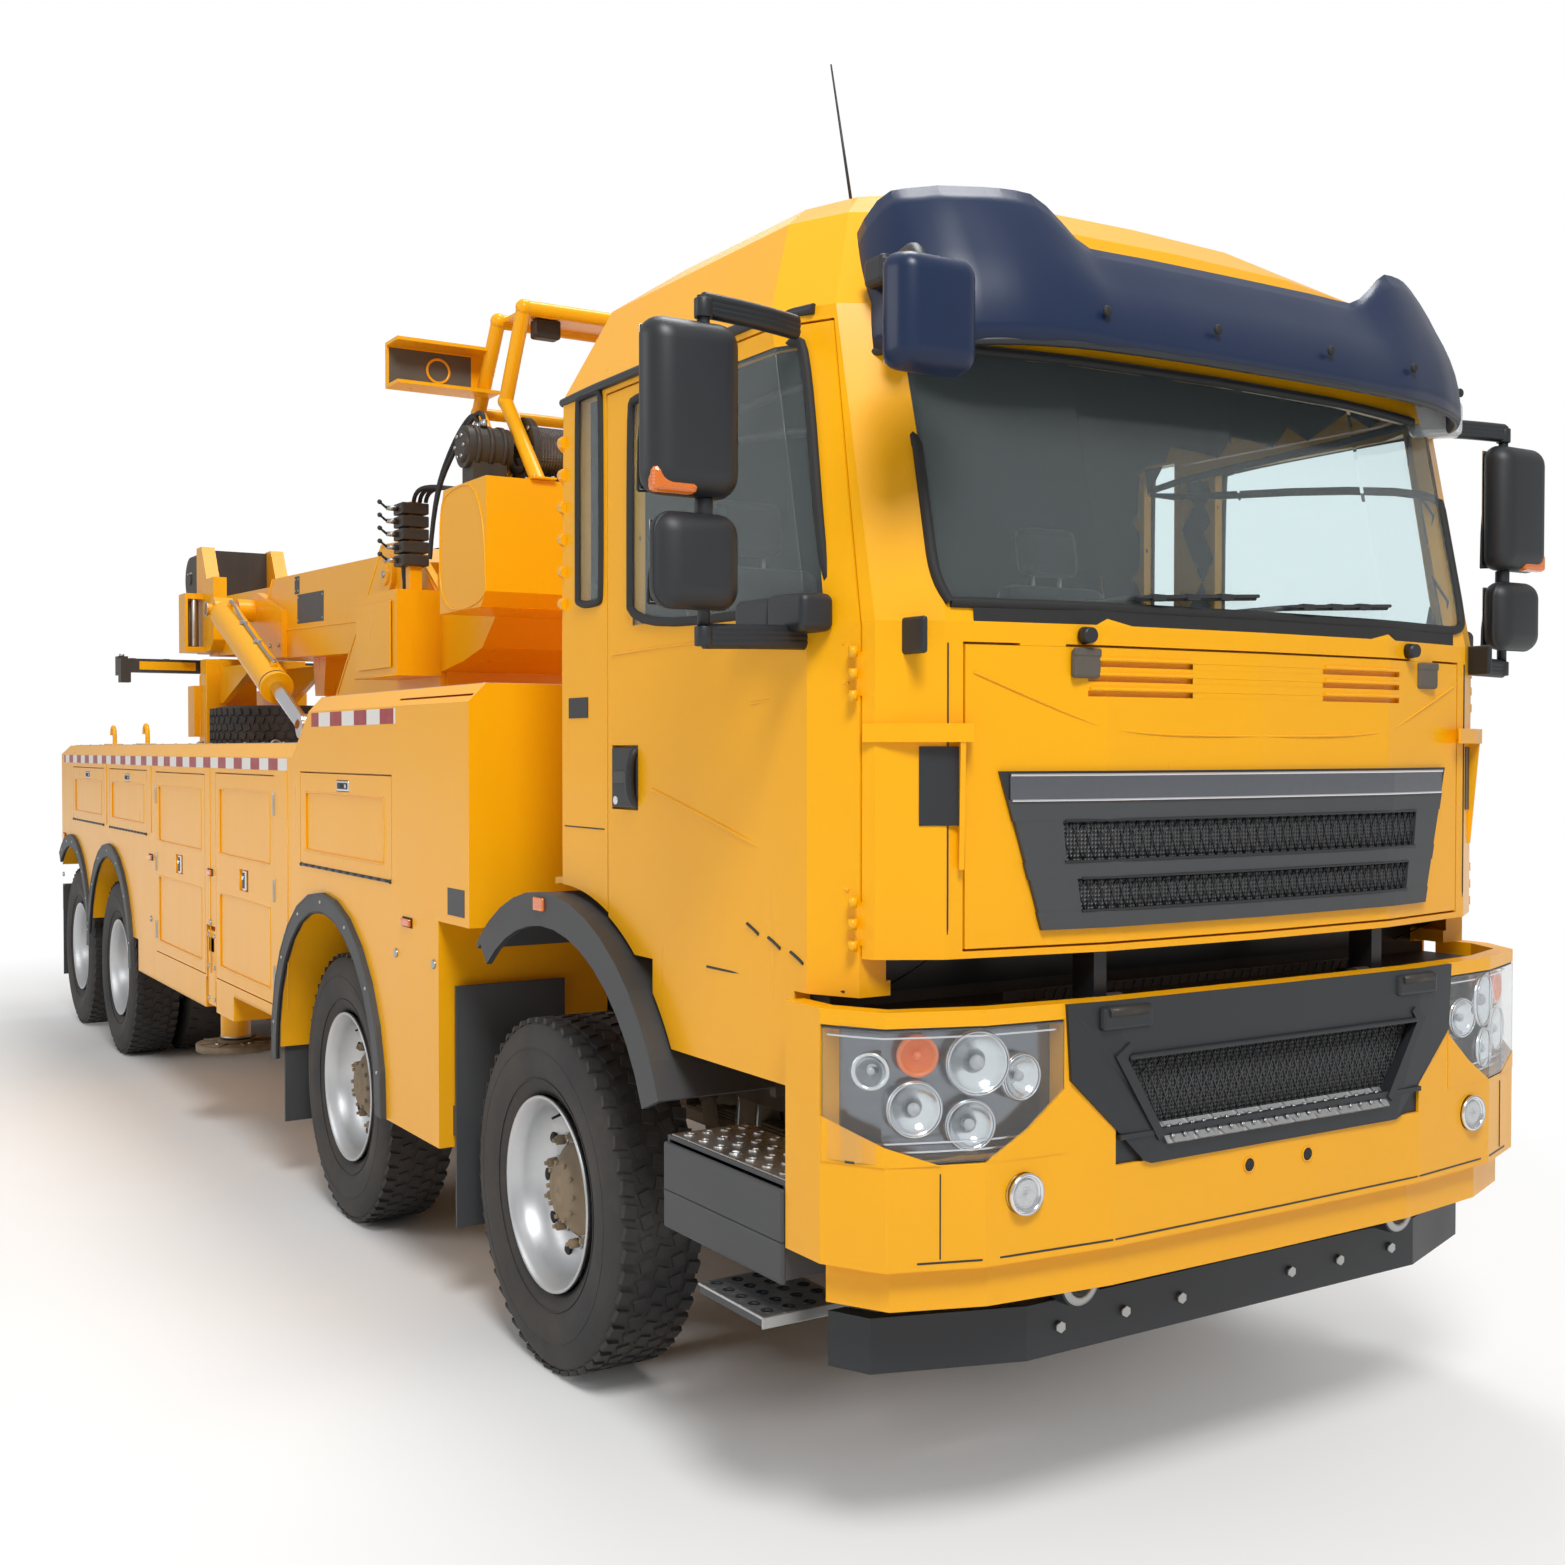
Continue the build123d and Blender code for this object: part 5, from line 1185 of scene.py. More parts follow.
def wiper(shape, pivot_x, tip_x, z0, z1):
    """One wiper: arm, spring casing and blade laid on the screen's foot."""
    def on(x, z, lift):
        node = "cab_glass" if z > 2.262 else "cab_shell"
        place, normal = skin(node, (x, -7.0, z), (0, 1, 0))
        return place + normal * lift
    way = 1 if tip_x > pivot_x else -1
    pivot = on(pivot_x, 2.175, 0.016)
    shape.stud(pivot, "y", 0.014, -0.014, 0.021, "trim", 20, tip=0.018)
    middle = on((pivot_x * 0.55 + tip_x * 0.45), (2.175 * 0.5 + z1 * 0.5) + 0.03, 0.034)
    shape.pipe([pivot, pivot.lerp(middle, 0.5) + Vector((0, -0.008, 0)), middle], 0.0095, "trim", 10)
    xs = spread(pivot_x + way * 0.1, tip_x, 13)
    blade = [on(x, z0 + (z1 - z0) * i / 12, 0.013) for i, x in enumerate(xs)]
    shape.pipe(blade, 0.0065, "rubber", 8)
    shape.pipe([p + Vector((0, -0.012, 0.004)) for p in blade], 0.0045, "trim", 8)
    for i in (3, 6, 9):
        shape.box(blade[i] - Vector((0.022, 0.018, 0.006)), blade[i] + Vector((0.022, 0.004, 0.01)), "trim",
            0.003)


def cab_fittings():
    """Window rubbers, wipers, corner intakes, ribs, seams, marker lamps and antenna."""
    shape = Shape("cab_fittings")
    # screen rubber
    around = [(x, 2.243) for x in spread(-0.915, 0.915, 13)] + [(0.942, z)
        for z in spread(2.29, 2.81, 5)] + [(x, 2.852) for x in spread(0.92, -0.92, 13)] + [(-0.942, z)
        for z in spread(2.81, 2.29, 5)]
    line = []
    for x, z in around:
        place, normal = skin("cab_shell" if abs(x) > 0.93 or z < 2.25 or z > 2.85 else "cab_glass",
            (x, -7.0, z), (0, 1, 0))
        line.append(place + normal * 0.001)
    shape.pipe(line + [line[0]], 0.013, "rubber", 10)
    wiper(shape, -0.57, -0.02, 2.262, 2.285)
    wiper(shape, 0.6, 0.05, 2.285, 2.262)
    # black band along the screen's foot
    line = front_line("cab_shell", spread(-0.86, 0.86, 17), 2.205, 0.0008)
    ribbon(shape, [Vector((p.x, p.y, 2.19)) for p in line], (0, 0, 0.046), 0.0014, "rubber")
    # quarter windows
    for side in shape.sides():
        corners = []
        for s, z in ((-0.24, 2.35), (-0.24, 2.915), (-0.255, 2.93), (-0.375, 2.93), (-0.39, 2.915),
                (-0.39, 2.35), (-0.375, 2.335), (-0.255, 2.335)):
            place, normal = skin("cab_shell", (side * 3.0, s + AXLE_1_Y + (0.004 if s > -0.3 else -0.004),
                z + (0.006 if z > 2.6 else -0.006)), (-side, 0, 0))
            corners.append(place + normal * 0.001)
        frame_bars(shape, corners, 0.011, "rubber", 10)
        # ribs pressed in the rear corner
        for z in spread(2.34, 2.82, 6):
            shape.pipe([(1.149, -0.15, z), (1.149, -0.125, z + 0.004), (1.128, -0.085, z + 0.006),
                (1.098, -0.04, z + 0.006), (1.078, -0.012, z + 0.004)], 0.019, "paint", 12)
        # corner intake: a dark slot under a pressed brow, and its fin
        low, high = 1.735, 1.915
        place, normal = skin("cab_shell", (side * 0.965, -7.0, (low + high) / 2), (0, 1, 0))
        across = Vector((0, 0, 1)).cross(normal).normalized()

        def spot(z, aside, out):
            return Vector((place.x, place.y, z)) + across * aside + normal * out

        ribbon(shape, [spot(low, aside, 0.0008) for aside in (-0.021, 0.07)], (0, 0, high - low), 0.0018,
            "trim")
        shape.flat([spot(high + 0.01, *point) for point in ((-0.15, 0.001), (-0.03, 0.026), (0.1, 0.034),
            (0.104, -0.004), (-0.15, -0.004))], (0, 0, 0.042), "paint")
        shape.flat([spot(low - 0.1, 0.07, -0.004), spot(low - 0.1, 0.07, 0.006),
            spot(high + 0.01, 0.07, 0.03), spot(high + 0.01, 0.07, -0.004)], across * 0.012, "paint")
        # mirror arm's cover at the foot of the screen pillar
        place, normal = skin("cab_shell", (side * 3.0, -1.665 + AXLE_1_Y, 2.165), (-side, 0, 0))
        shape.box(place + Vector((-0.008, -0.075, -0.042)), place + Vector((0.008, 0.06, 0.042)), "trim",
            0.008)
        # seams of the shell: the corner panel and the sill
        spots = [skin("cab_shell", (side * 0.925, -7.0, z), (0, 1, 0)) for z in spread(1.345, 2.15, 9)]
        shape.pipe([place + normal * 0.0004 for place, normal in spots], 0.0022, "trim", 6)
        line = [skin("cab_shell", (side * 3.0, s + AXLE_1_Y, 1.68), (-side, 0, 0))[0]
            for s in spread(-0.405, -0.14, 4)]
        shape.pipe(line, 0.0022, "trim", 6)
        # bare trim plate on the rear quarter
        shape.box((1.1495, -0.3, 2.0), (1.1525, -0.17, 2.06), "trim", 0.001)
    # antenna
    place, _ = skin("cab_shell", (-0.7, -4.55, 4.0), (0, 0, -1))
    shape.stud(place, "z", 0, 0.022, 0.024, "rubber", 20, tip=0.015)
    shape.bar(place + Vector((0, 0, 0.02)), place + Vector((-0.01, 0.09, 0.44)), 0.0045, "trim", 10,
        tip=0.0025)
    # roof hatch with its rubber
    place, _ = skin("cab_shell", (0.0, -4.35, 4.0), (0, 0, -1))
    shape.box(Vector((-0.33, -4.62, place.z - 0.004)), Vector((0.33, -4.06, place.z + 0.018)), "trim", 0.012)
    shape.box(Vector((-0.3, -4.59, place.z + 0.012)), Vector((0.3, -4.09, place.z + 0.034)), "grey", 0.012)
    # grab rails on the back wall
    for side in shape.sides():
        shape.pipe([(0.93, -0.01, 1.75), (0.93, 0.045, 1.8), (0.93, 0.045, 2.3), (0.93, -0.01, 2.35)], 0.012,
            "steel", 12)
    return shape.done("cab")


# ------------------------------------------------------------------ doors and mirrors
def door_fittings(side_name, side):
    """Window rubber, handle, seams and trim strip of one door."""
    shape = Shape(f"door_{side_name}_fittings", side)
    # painted shade: a near-black lining inside the door
    lining(shape, (f"door_{side_name}",))

    def on(s, z, lift=0.0):
        place, normal = skin(f"door_{side_name}", (side * 3.0, s + AXLE_1_Y, z), (-side, 0, 0))
        return place + normal * lift

    # window rubber, let out a little from its middle
    corners = []
    for s, z in ((-0.585, 2.31), (-0.585, 2.84), (-0.61, 2.865), (-1.365, 2.865), (-1.398, 2.85),
            (-1.492, 2.3), (-1.49, 2.262), (-1.46, 2.25), (-0.62, 2.25)):
        corners.append(on(s + (0.01 if s > -1.02 else -0.01), z + (0.01 if z > 2.55 else -0.01), 0.001))
    frame_bars(shape, corners, 0.013, "rubber", 10)
    # handle: a dark moulded pull in its pocket
    shape.box((1.138, -0.612, 1.745), (1.154, -0.458, 1.915), "trim", 0.006)
    shape.pipe([(1.15, -0.6, 1.76), (1.166, -0.6, 1.775), (1.169, -0.598, 1.83), (1.166, -0.6, 1.888),
        (1.15, -0.6, 1.902)], 0.014, "trim", 12)
    shape.box((1.15, -0.59, 1.812), (1.16, -0.48, 1.848), "grey", 0.005)
    shape.bar((1.148, -0.485, 1.765), (1.156, -0.485, 1.765), 0.012, "chrome", 20)
    # pressed lines
    for line, radius, segments in (
            (((-0.46, 2.175), (-0.8, 2.185), (-1.2, 2.18), (-1.56, 2.15)), 0.003, 6),
            (((-0.7, 1.8), (-1.0, 1.735), (-1.3, 1.66), (-1.57, 1.585)), 0.0045, 8),
            (((-1.22, 2.02), (-1.4, 2.035), (-1.57, 2.06)), 0.0035, 6)):
        shape.pipe([on(s, z, 0.0005) for s, z in line], radius, "paint", segments)
    for s, z in ((-1.2, 1.48), (-1.3, 1.455), (-1.4, 1.43)):
        shape.pipe([on(s, z, 0.0004), on(s - 0.035, z - 0.012, 0.0004), on(s - 0.055, z - 0.022, 0.0004)],
            0.004, "trim", 8)
    # door step seal
    shape.pipe([on(s, 1.352, 0.0004) for s in (-1.56, -1.3, -1.0)], 0.0032, "trim", 6)
    # hinge pins
    for z in (1.46, 1.51, 1.56, 2.03, 2.08, 2.13):
        shape.stud((1.106, -1.594, z), "z", -0.012, 0.012, 0.011, "paint", 12)
    return shape.done(f"door_{side_name}")


def mirror_housings(side_name, side):
    """Main and wide-angle mirror heads with glasses, a turn lamp and their arms."""
    shape = Shape(f"mirror_{side_name}_heads", side)
    for z0, z1, x0, x1, s0, s1 in ((2.455, 2.86, 1.345, 1.597, -1.545, -1.45),
            (2.21, 2.435, 1.345, 1.575, -1.54, -1.455)):
        low, high = sorted((side * x0, side * x1))
        rounded_head(shape, at((low + high) / 2, (s0 + s1) / 2, (z0 + z1) / 2),
            (high - low, s1 - s0, z1 - z0), (0.84, 1.0, 0.9), "trim", None, 0.046)
        # glass faces the rear
        shape.box(at(low + 0.022, s1 - 0.003, z0 + 0.022), at(high - 0.022, s1 + 0.0005, z1 - 0.022),
            "mirror", 0.001)
        shape.pipe([at(low + 0.02, s1, z0 + 0.02), at(high - 0.02, s1, z0 + 0.02),
            at(high - 0.02, s1, z1 - 0.02), at(low + 0.02, s1, z1 - 0.02), at(low + 0.02, s1, z0 + 0.02)],
            0.004, "rubber", 6)
    # turn lamp let into the main housing's outer foot
    shape.box((1.47, -1.532, 2.466), (1.58, -1.492, 2.522), "amber", 0.012)
    # joints on the stem
    stem = side * 1.43
    for z in (2.16, 2.443, 2.885):
        shape.bar(at(stem, -1.48, z - 0.022), at(stem, -1.48, z + 0.022), 0.021, "trim", 20, bevel=0.003)
    shape.bar(at(stem, -1.48, 2.14), at(stem, -1.48, 2.913), 0.0145, "trim", 16)
    # arms, flattened and rounded, from the pillar to the stem
    for start, end in ((at(side * 1.148, -1.455, 2.168), at(stem, -1.48, 2.16)),
            (at(side * 1.15, -1.42, 2.893), at(stem, -1.48, 2.893))):
        middle = start.lerp(end, 0.5) + Vector((0, -0.016, 0.0))
        for rise in (-0.012, 0.0, 0.012):
            lift = Vector((0, 0, rise))
            shape.pipe([start + lift, middle + lift, end + lift], 0.017, "trim", 14)
    # moulded covers over the arms' feet on the door
    for s0, s1, out in ((-1.545, -1.385, 0.062), (-1.38, -1.215, 0.05)):
        rounded_head(shape, ((1.135 + out / 2), (s0 + s1) / 2, 2.222), (0.03 + out, s1 - s0, 0.094),
            (1.0, 1.0, 0.92), "trim", None, 0.02)
    return shape.done(f"door_{side_name}", (f"mirrors_{side_name}",))


def lining(shape, wanted, thickness=0.003):
    """Cloth lining on the inside of the named nodes, found from the cab's middle; its near-black is painted shade
    for the dim cab seen through the glass.
    """
    shape._roll()
    middle = at(0, -0.92, 2.25)
    made = bmesh.ops.create_icosphere(shape.bm, subdivisions=5, radius=1.0)
    bare = []
    for vert in made["verts"]:
        way = vert.co.normalized()
        near = None
        for node in ("cab_shell", "door_left", "door_right", "cab_glass", "door_glass_left",
                "door_glass_right"):
            hit, place, _, _ = NODES[node].ray_cast(middle, way)
            if hit and (near is None or (place - middle).length < near[0]):
                near = ((place - middle).length, place, node)
        if near is None or near[2] not in wanted:
            bare.append(vert)
        else:
            vert.co = near[1] - way * 0.008
    lost = set(bare)
    kept = [v for v in made["verts"] if v not in lost]
    bmesh.ops.delete(shape.bm, geom=bare, context="VERTS")
    faces = list({f for v in kept if v.is_valid for f in v.link_faces})
    for face in faces:
        face.material_index = shape.look("lining")
        face.smooth = True
    bmesh.ops.solidify(shape.bm, geom=faces, thickness=thickness)
    loose = [v for v in shape.bm.verts if not v.link_faces]
    bmesh.ops.delete(shape.bm, geom=loose, context="VERTS")
    shape._roll()


def cab_interior():
    """Two sprung seats, bunk wall, dashboard and steering wheel."""
    shape = Shape("cab_furniture")
    for x in (-0.6, 0.6):
        shape.box((x - 0.15, -0.86, 1.376), (x + 0.15, -0.4, 1.7), "trim", 0.015)
        for i in range(5):
            z = 1.44 + 0.05 * i
            shape.box((x - 0.158, -0.868, z), (x + 0.158, -0.392, z + 0.014), "rubber", 0.005)
        # cushion and backrest, rounded, with side bolsters and sewn channels
        shape.box((x - 0.24, -0.92, 1.7), (x + 0.24, -0.38, 1.828), "cloth", 0.045)
        for side in shape.sides((-1, 1)):
            shape.box(at(x + side * 0.16, -0.915, 1.735), at(x + side * 0.24, -0.4, 1.85), "cloth", 0.034)
        back = Matrix.Rotation(-0.155, 4, "X")
        shape.box((x - 0.225, -0.405, 1.835), (x + 0.225, -0.3, 2.47), "cloth", 0.045, back)
        for side in shape.sides((-1, 1)):
            shape.box(at(x + side * 0.155, -0.44, 1.88), at(x + side * 0.228, -0.33, 2.4), "cloth", 0.034,
                back)
        shape.box((x - 0.125, -0.325, 2.5), (x + 0.125, -0.245, 2.672), "cloth", 0.038, back)
        for z in (1.97, 2.07, 2.17, 2.27):
            shape.bar((x - 0.15, -0.428 + (z - 1.97) * 0.155, z), (x + 0.15, -0.428 + (z - 1.97) * 0.155, z),
                0.004, "rubber", 8)
        for side in shape.sides((-1, 1)):
            shape.bar(at(x + side * 0.06, -0.285, 2.44), at(x + side * 0.06, -0.285, 2.52), 0.008, "steel",
                12)
        # belt and arm rest
        shape.pipe([(x + 0.17, -0.3, 2.42), (x + 0.1, -0.43, 2.25), (x - 0.1, -0.52, 1.96),
            (x - 0.2, -0.6, 1.84)], 0.01, "trim", 8)
    # dashboard: a wide rounded moulding with a binnacle and vents
    block = Matrix.Translation(at(0, -1.53, 1.7775)) @ Matrix.Diagonal((1.76, 0.22, 0.605, 1.0))
    verts = bmesh.ops.create_cube(shape.bm, size=1.0, matrix=block)["verts"]
    shape._finish(shape.round_off(verts, 0.055, 4), "grey", True)
    shape.box((0.33, -1.5, 1.93), (0.87, -1.405, 2.078), "trim", 0.028)
    for x in (-0.78, -0.15, 0.15, 0.83):
        shape.box((x - 0.045, -1.4245, 1.86), (x + 0.045, -1.415, 1.93), "trim", 0.006)
        for i in range(4):
            shape.box((x - 0.038, -1.4165, 1.872 + i * 0.014), (x + 0.038, -1.412, 1.877 + i * 0.014), "grey")
    shape.box((-0.13, -1.4245, 1.66), (0.13, -1.415, 1.82), "rubber", 0.008)
    shape.box((-0.7, -1.4245, 1.62), (-0.28, -1.4165, 1.8), "trim", 0.01)
    # engine tunnel and bunk wall
    shape.box((-0.3, -1.44, 1.376), (0.3, -0.105, 1.558), "rubber", 0.035)
    shape.box((-0.7, -0.195, 1.38), (0.7, -0.065, 1.72), "trim", 0.02)
    shape.box((-0.69, -0.198, 1.722), (0.69, -0.066, 1.896), "cloth", 0.05)
    # painted shade: a near-black lining inside the cab shell
    lining(shape, ("cab_shell",))
    # gear lever
    shape.pipe([(0.2, -1.02, 1.55), (0.2, -1.04, 1.68), (0.22, -1.08, 1.8)], 0.01, "steel", 10)
    shape.ball((0.22, -1.085, 1.815), 0.028, "trim", (1, 1, 1.2))
    # steering wheel square to its column
    axis = Vector((0, 0.866, 0.5))
    centre = at(0.6, -1.177, 2.078)
    rim = [(-0.014 + 0.014 * cos(a), 0.208 + 0.014 * sin(a)) for a in spread(0, 2 * pi * 11 / 12, 12)]
    shape.turned(centre, axis, rim, "trim", 48, Vector((1, 0, 0)))
    shape.bar(centre - axis * 0.045, centre + axis * 0.004, 0.066, "grey", 28, tip=0.058, bevel=0.006)
    for angle in (0.0, pi / 2, pi, 1.5 * pi):
        arm = Vector((1, 0, 0)) * cos(angle) + axis.cross(Vector((1, 0, 0))) * sin(angle)
        if abs(angle - pi / 2) > 0.1:
            shape.bar(centre - axis * 0.016 + arm * 0.05, centre - axis * 0.014 + arm * 0.205, 0.013, "grey",
                10, tip=0.01)
    shape.bar((0.6, -1.45, 1.92), centre - axis * 0.03, 0.03, "trim", 20, tip=0.026)
    return shape.done("cab", ("cab_interior",))


# ------------------------------------------------------------------ crane
def winch_fittings():
    """Rope wound on both drums, flange bolts, motors and their ports."""
    shape = Shape("winch_fittings")
    for x0 in (-0.335, 0.025):
        centre = at(x0 + 0.155, *WINCH_AXIS)
        # rope layers: a ridged barrel of wraps
        step = 0.232 / 17
        ridge = ((0, 0.1085), (0.25, 0.1145), (0.5, 0.116), (0.75, 0.1145))
        wraps = [(-0.116 + step * (i + part), radius) for i in range(17) for part, radius in ridge]
        outline = wraps + [(0.116, 0.1085), (0.116, 0.082), (-0.116, 0.082)]
        shape.turned(centre, (1, 0, 0), outline, "rope", 48)
        for x in (x0, x0 + 0.31):
            way = -1 if x == x0 else 1
            face = at(x, *WINCH_AXIS)
            shape.turned(face, (1, 0, 0), [(-0.001, 0.06), (way * 0.006, 0.062), (way * 0.006, 0.092),
                (-0.001, 0.094)], "black", 36)
            for z, y in around(0.128, 8):
                place = face + Vector((0, y, z))
                shape.bar(place, place + Vector((way * 0.008, 0, 0)), 0.01, "steel", 6)
    for side in shape.sides():
        for x in (0.44, 0.5, 0.56):
            shape.ring((x, *WINCH_AXIS), (1, 0, 0), -0.01, 0.01, 0.0885, 0.096, "black", 40)
        end = at(side * 0.6, *WINCH_AXIS)
        shape.stud(end, "x", -0.004, 0.016, 0.072, "black", 32, tip=0.062, bevel=0.003)
        for z, y in around(0.05, 6):
            shape.stud(end + Vector((side * 0.01, y, z)), "x", 0, 0.012, 0.008, "steel")
        # ports and hard lines down to the valve
        for s in (2.045, 2.115):
            top = at(side * 0.52, s, 3.285)
            shape.stud(top, "z", 0, 0.03, 0.016, "steel")
            shape.pipe([top + Vector((0, 0, 0.02)), top + Vector((0, 0, 0.06)),
                top + Vector((0, 0.09, 0.075)), top + Vector((0, 0.3, -0.02)), (0.53, 2.62, 3.06),
                (0.535, 2.66, 2.78)], 0.011, "rubber", 10)
    return shape.done("turret")


def turret_fittings():
    """Weld beads, pivot caps, valve bank, hard lines and ring bolts."""
    shape = Shape("turret_fittings")
    # pivot caps and ear caps
    for side in shape.sides():
        for x, pin, r in ((0.385, BOOM_PIVOT, 0.06), (0.445, EAR_PIN, 0.046)):
            face = at(side * x, *pin)
            shape.stud(face, "x", -0.004, 0.012, r, "paint", 32, tip=r * 0.9, bevel=0.002)
            shape.stud(face, "x", 0, 0.02, 0.018, "steel")
            shape.box(face + Vector((-side * 0.003, -0.012, r + 0.004)),
                face + Vector((side * 0.01, 0.012, r + 0.03)), "steel", 0.002)
        # weld beads down the cheek
        edge = [at(side * 0.3605, s, z) for s, z in ((3.03, 2.66), (3.4, 2.945), (3.84, 2.965), (4.6, 2.222),
            (4.86, 2.015))]
        for a, b in zip(edge, edge[1:]):
            shape.bar(a, b, 0.0045, "paint", 8)
        shape.bar((0.582, 2.99, 2.262), (0.582, 3.6, 2.262), 0.005, "paint", 8)
        # folded edge of the winch box and its seams
        x = side * 0.6205
        line = [at(x, s, z) for s, z in ((1.78, 2.56), (1.78, 3.03), (2.255, 3.03), (2.305, 2.9),
            (2.305, 2.505), (1.842, 2.505))]
        frame_bars(shape, line, 0.0045, "paint", 8)
        # stiffening rib between shoulder and box
        shape.box((0.585, 3.05, 2.3), (0.592, 3.55, 2.62), "paint", 0.002)
        # plate inside each side flange of the hoop
        shape.box((0.42, 2.4395, 3.51), (0.8, 2.441, 3.67), "hub", 0.0005)
        ring = at(side * 0.575, 2.4385, 3.59)
        shape.turned(ring, (0, -1, 0), [(0.0, 0.0455), (0.004, 0.0465), (0.004, 0.056), (0.0, 0.058)],
            "paint", 32)
        # clamps where the hoop's legs meet the box
        for s in (1.8, 2.1):
            foot = at(side * 0.37, s, 3.036)
            shape.box(foot - Vector((0.055, 0.055, 0.0)), foot + Vector((0.055, 0.055, 0.01)), "paint", 0.003)
            shape.bolts([foot + Vector((a, b, 0.01)) for a in (-0.042, 0.042) for b in (-0.042, 0.042)],
                (0, 0, 1), 0.008, 0.006, "steel")
    # work lamp under the hoop's top
    for x in (-0.22, 0.22):
        shape.box((x - 0.06, 2.035, 3.7), (x + 0.06, 2.11, 3.784), "black", 0.012)
        shape.box((x - 0.05, 2.106, 3.71), (x + 0.05, 2.116, 3.774), "amber", 0.004)
    # ring bolts
    for x, y in around(0.55, 32):
        shape.stud(at(x, 3.65 + y, 1.6), "z", -0.004, 0.014, 0.012, "steel")
    # valve bank on its post, with spools, levers and hoses
    for i in range(5):
        z = 2.79 + 0.062 * i
        shape.box((-0.53, 3.045, z), (-0.395, 3.175, z + 0.054), "black", 0.006)
        shape.bar((-0.53, 3.11, z + 0.027), (-0.585, 3.11, z + 0.027), 0.014, "steel", 12, tip=0.011)
        shape.bar((-0.585, 3.11, z + 0.027), (-0.62, 3.1, z + 0.05), 0.006, "trim", 8)
        shape.ball((-0.622, 3.1, z + 0.052), 0.012, "trim", (1, 1, 1), 10)
    for i, (y, z) in enumerate(((3.06, 2.83), (3.09, 2.89), (3.13, 2.95), (3.16, 3.01))):
        shape.pipe([(-0.47, y, z), (-0.47, y + 0.09, z - 0.02), (-0.455 + 0.01 * i, y + 0.16, z - 0.2),
            (-0.44 + 0.01 * i, 3.3, 2.7), (-0.42 + 0.012 * i, 3.36, 2.675)], 0.0125, "rubber", 10)
    for i in range(3):
        shape.pipe([(-0.46 + 0.03 * i, 3.08, 3.1), (-0.46 + 0.03 * i, 3.06, 3.16),
            (-0.42 + 0.03 * i, 2.85, 3.15), (-0.4 + 0.04 * i, 2.6, 3.08), (-0.38 + 0.05 * i, 2.34, 3.05)],
            0.011, "rubber", 10)
    # hard lines along the deck of the turret
    for x in (-0.22, -0.18, 0.18, 0.22):
        shape.pipe([(x, 3.06, 2.62), (x, 3.1, 2.2), (x, 3.16, 2.02), (x, 3.4, 2.012), (x, 4.6, 2.012)], 0.01,
            "steel", 8)
    return shape.done("turret")


def boom_fittings():
    """Boom seams, blank plates, clamped lines on the top, and pin caps."""
    shape = Shape("boom_fittings")
    tilt = radians(1.5)

    def along(a, up, x):
        """A point so far along the boom from its pivot and so far above its line."""
        s, z = BOOM_PIVOT
        return at(x, s + a * cos(tilt) - up * sin(tilt), z + a * sin(tilt) + up * cos(tilt))

    for side in shape.sides():
        x = side * 0.2605
        # seams between the plates and round the doubler
        shape.pipe([along(0.05, -0.205, x), along(1.4, -0.205, x), along(2.2, -0.205, x),
            along(2.9, -0.205, x)], 0.0045, "paint", 8)
        shape.bar(along(2.585, 0.13, x), along(3.02, -0.33, x), 0.006, "paint", 8)
        # blank plates
        for a, b, u, v in ((1.48, 2.02, -0.175, 0.005), (1.98, 2.08, 0.01, 0.12)):
            middle = along((a + b) / 2, (u + v) / 2, x)
            turn = Matrix.Rotation(tilt, 4, "X")
            size = Vector((0.003, b - a, v - u)) / 2
            shape.box(middle - size, middle + size, "grey", 0.001, turn)
            shape.bolts([along(p, q, side * 0.262) for p in (a + 0.02, b - 0.02)
                for q in (u + 0.02, v - 0.02)], (side, 0, 0), 0.007, 0.003, "steel")
        # caps on the cylinder pin and the pivot
        shape.stud((0.6, *BARREL_PIN), "x", -0.006, 0.0, 0.05, "steel", 28, bevel=0.001)
        for a in spread(2.32, 2.9, 4):
            shape.stud(along(a, -0.3, side * 0.292), "x", 0, 0.01, 0.012, "steel")
    # clamped lines on the top, running back to the head
    for i, x in enumerate((-0.06, -0.02, 0.05)):
        points = [along(-0.16, 0.06, x), along(-0.08, 0.155, x)] + [along(a, 0.152 + 0.004 * sin(a * 3 + i),
            x) for a in spread(0.2, 2.5, 6)]
        shape.pipe(points, 0.0125 if i < 2 else 0.009, "rubber", 10)
    for a in spread(0.3, 2.4, 5):
        middle = along(a, 0.15, 0.0)
        shape.box(middle - Vector((0.095, 0.022, 0.014)), middle + Vector((0.085, 0.022, 0.02)), "steel",
            0.003, Matrix.Rotation(tilt, 4, "X"))
    return shape.done("boom_outer")


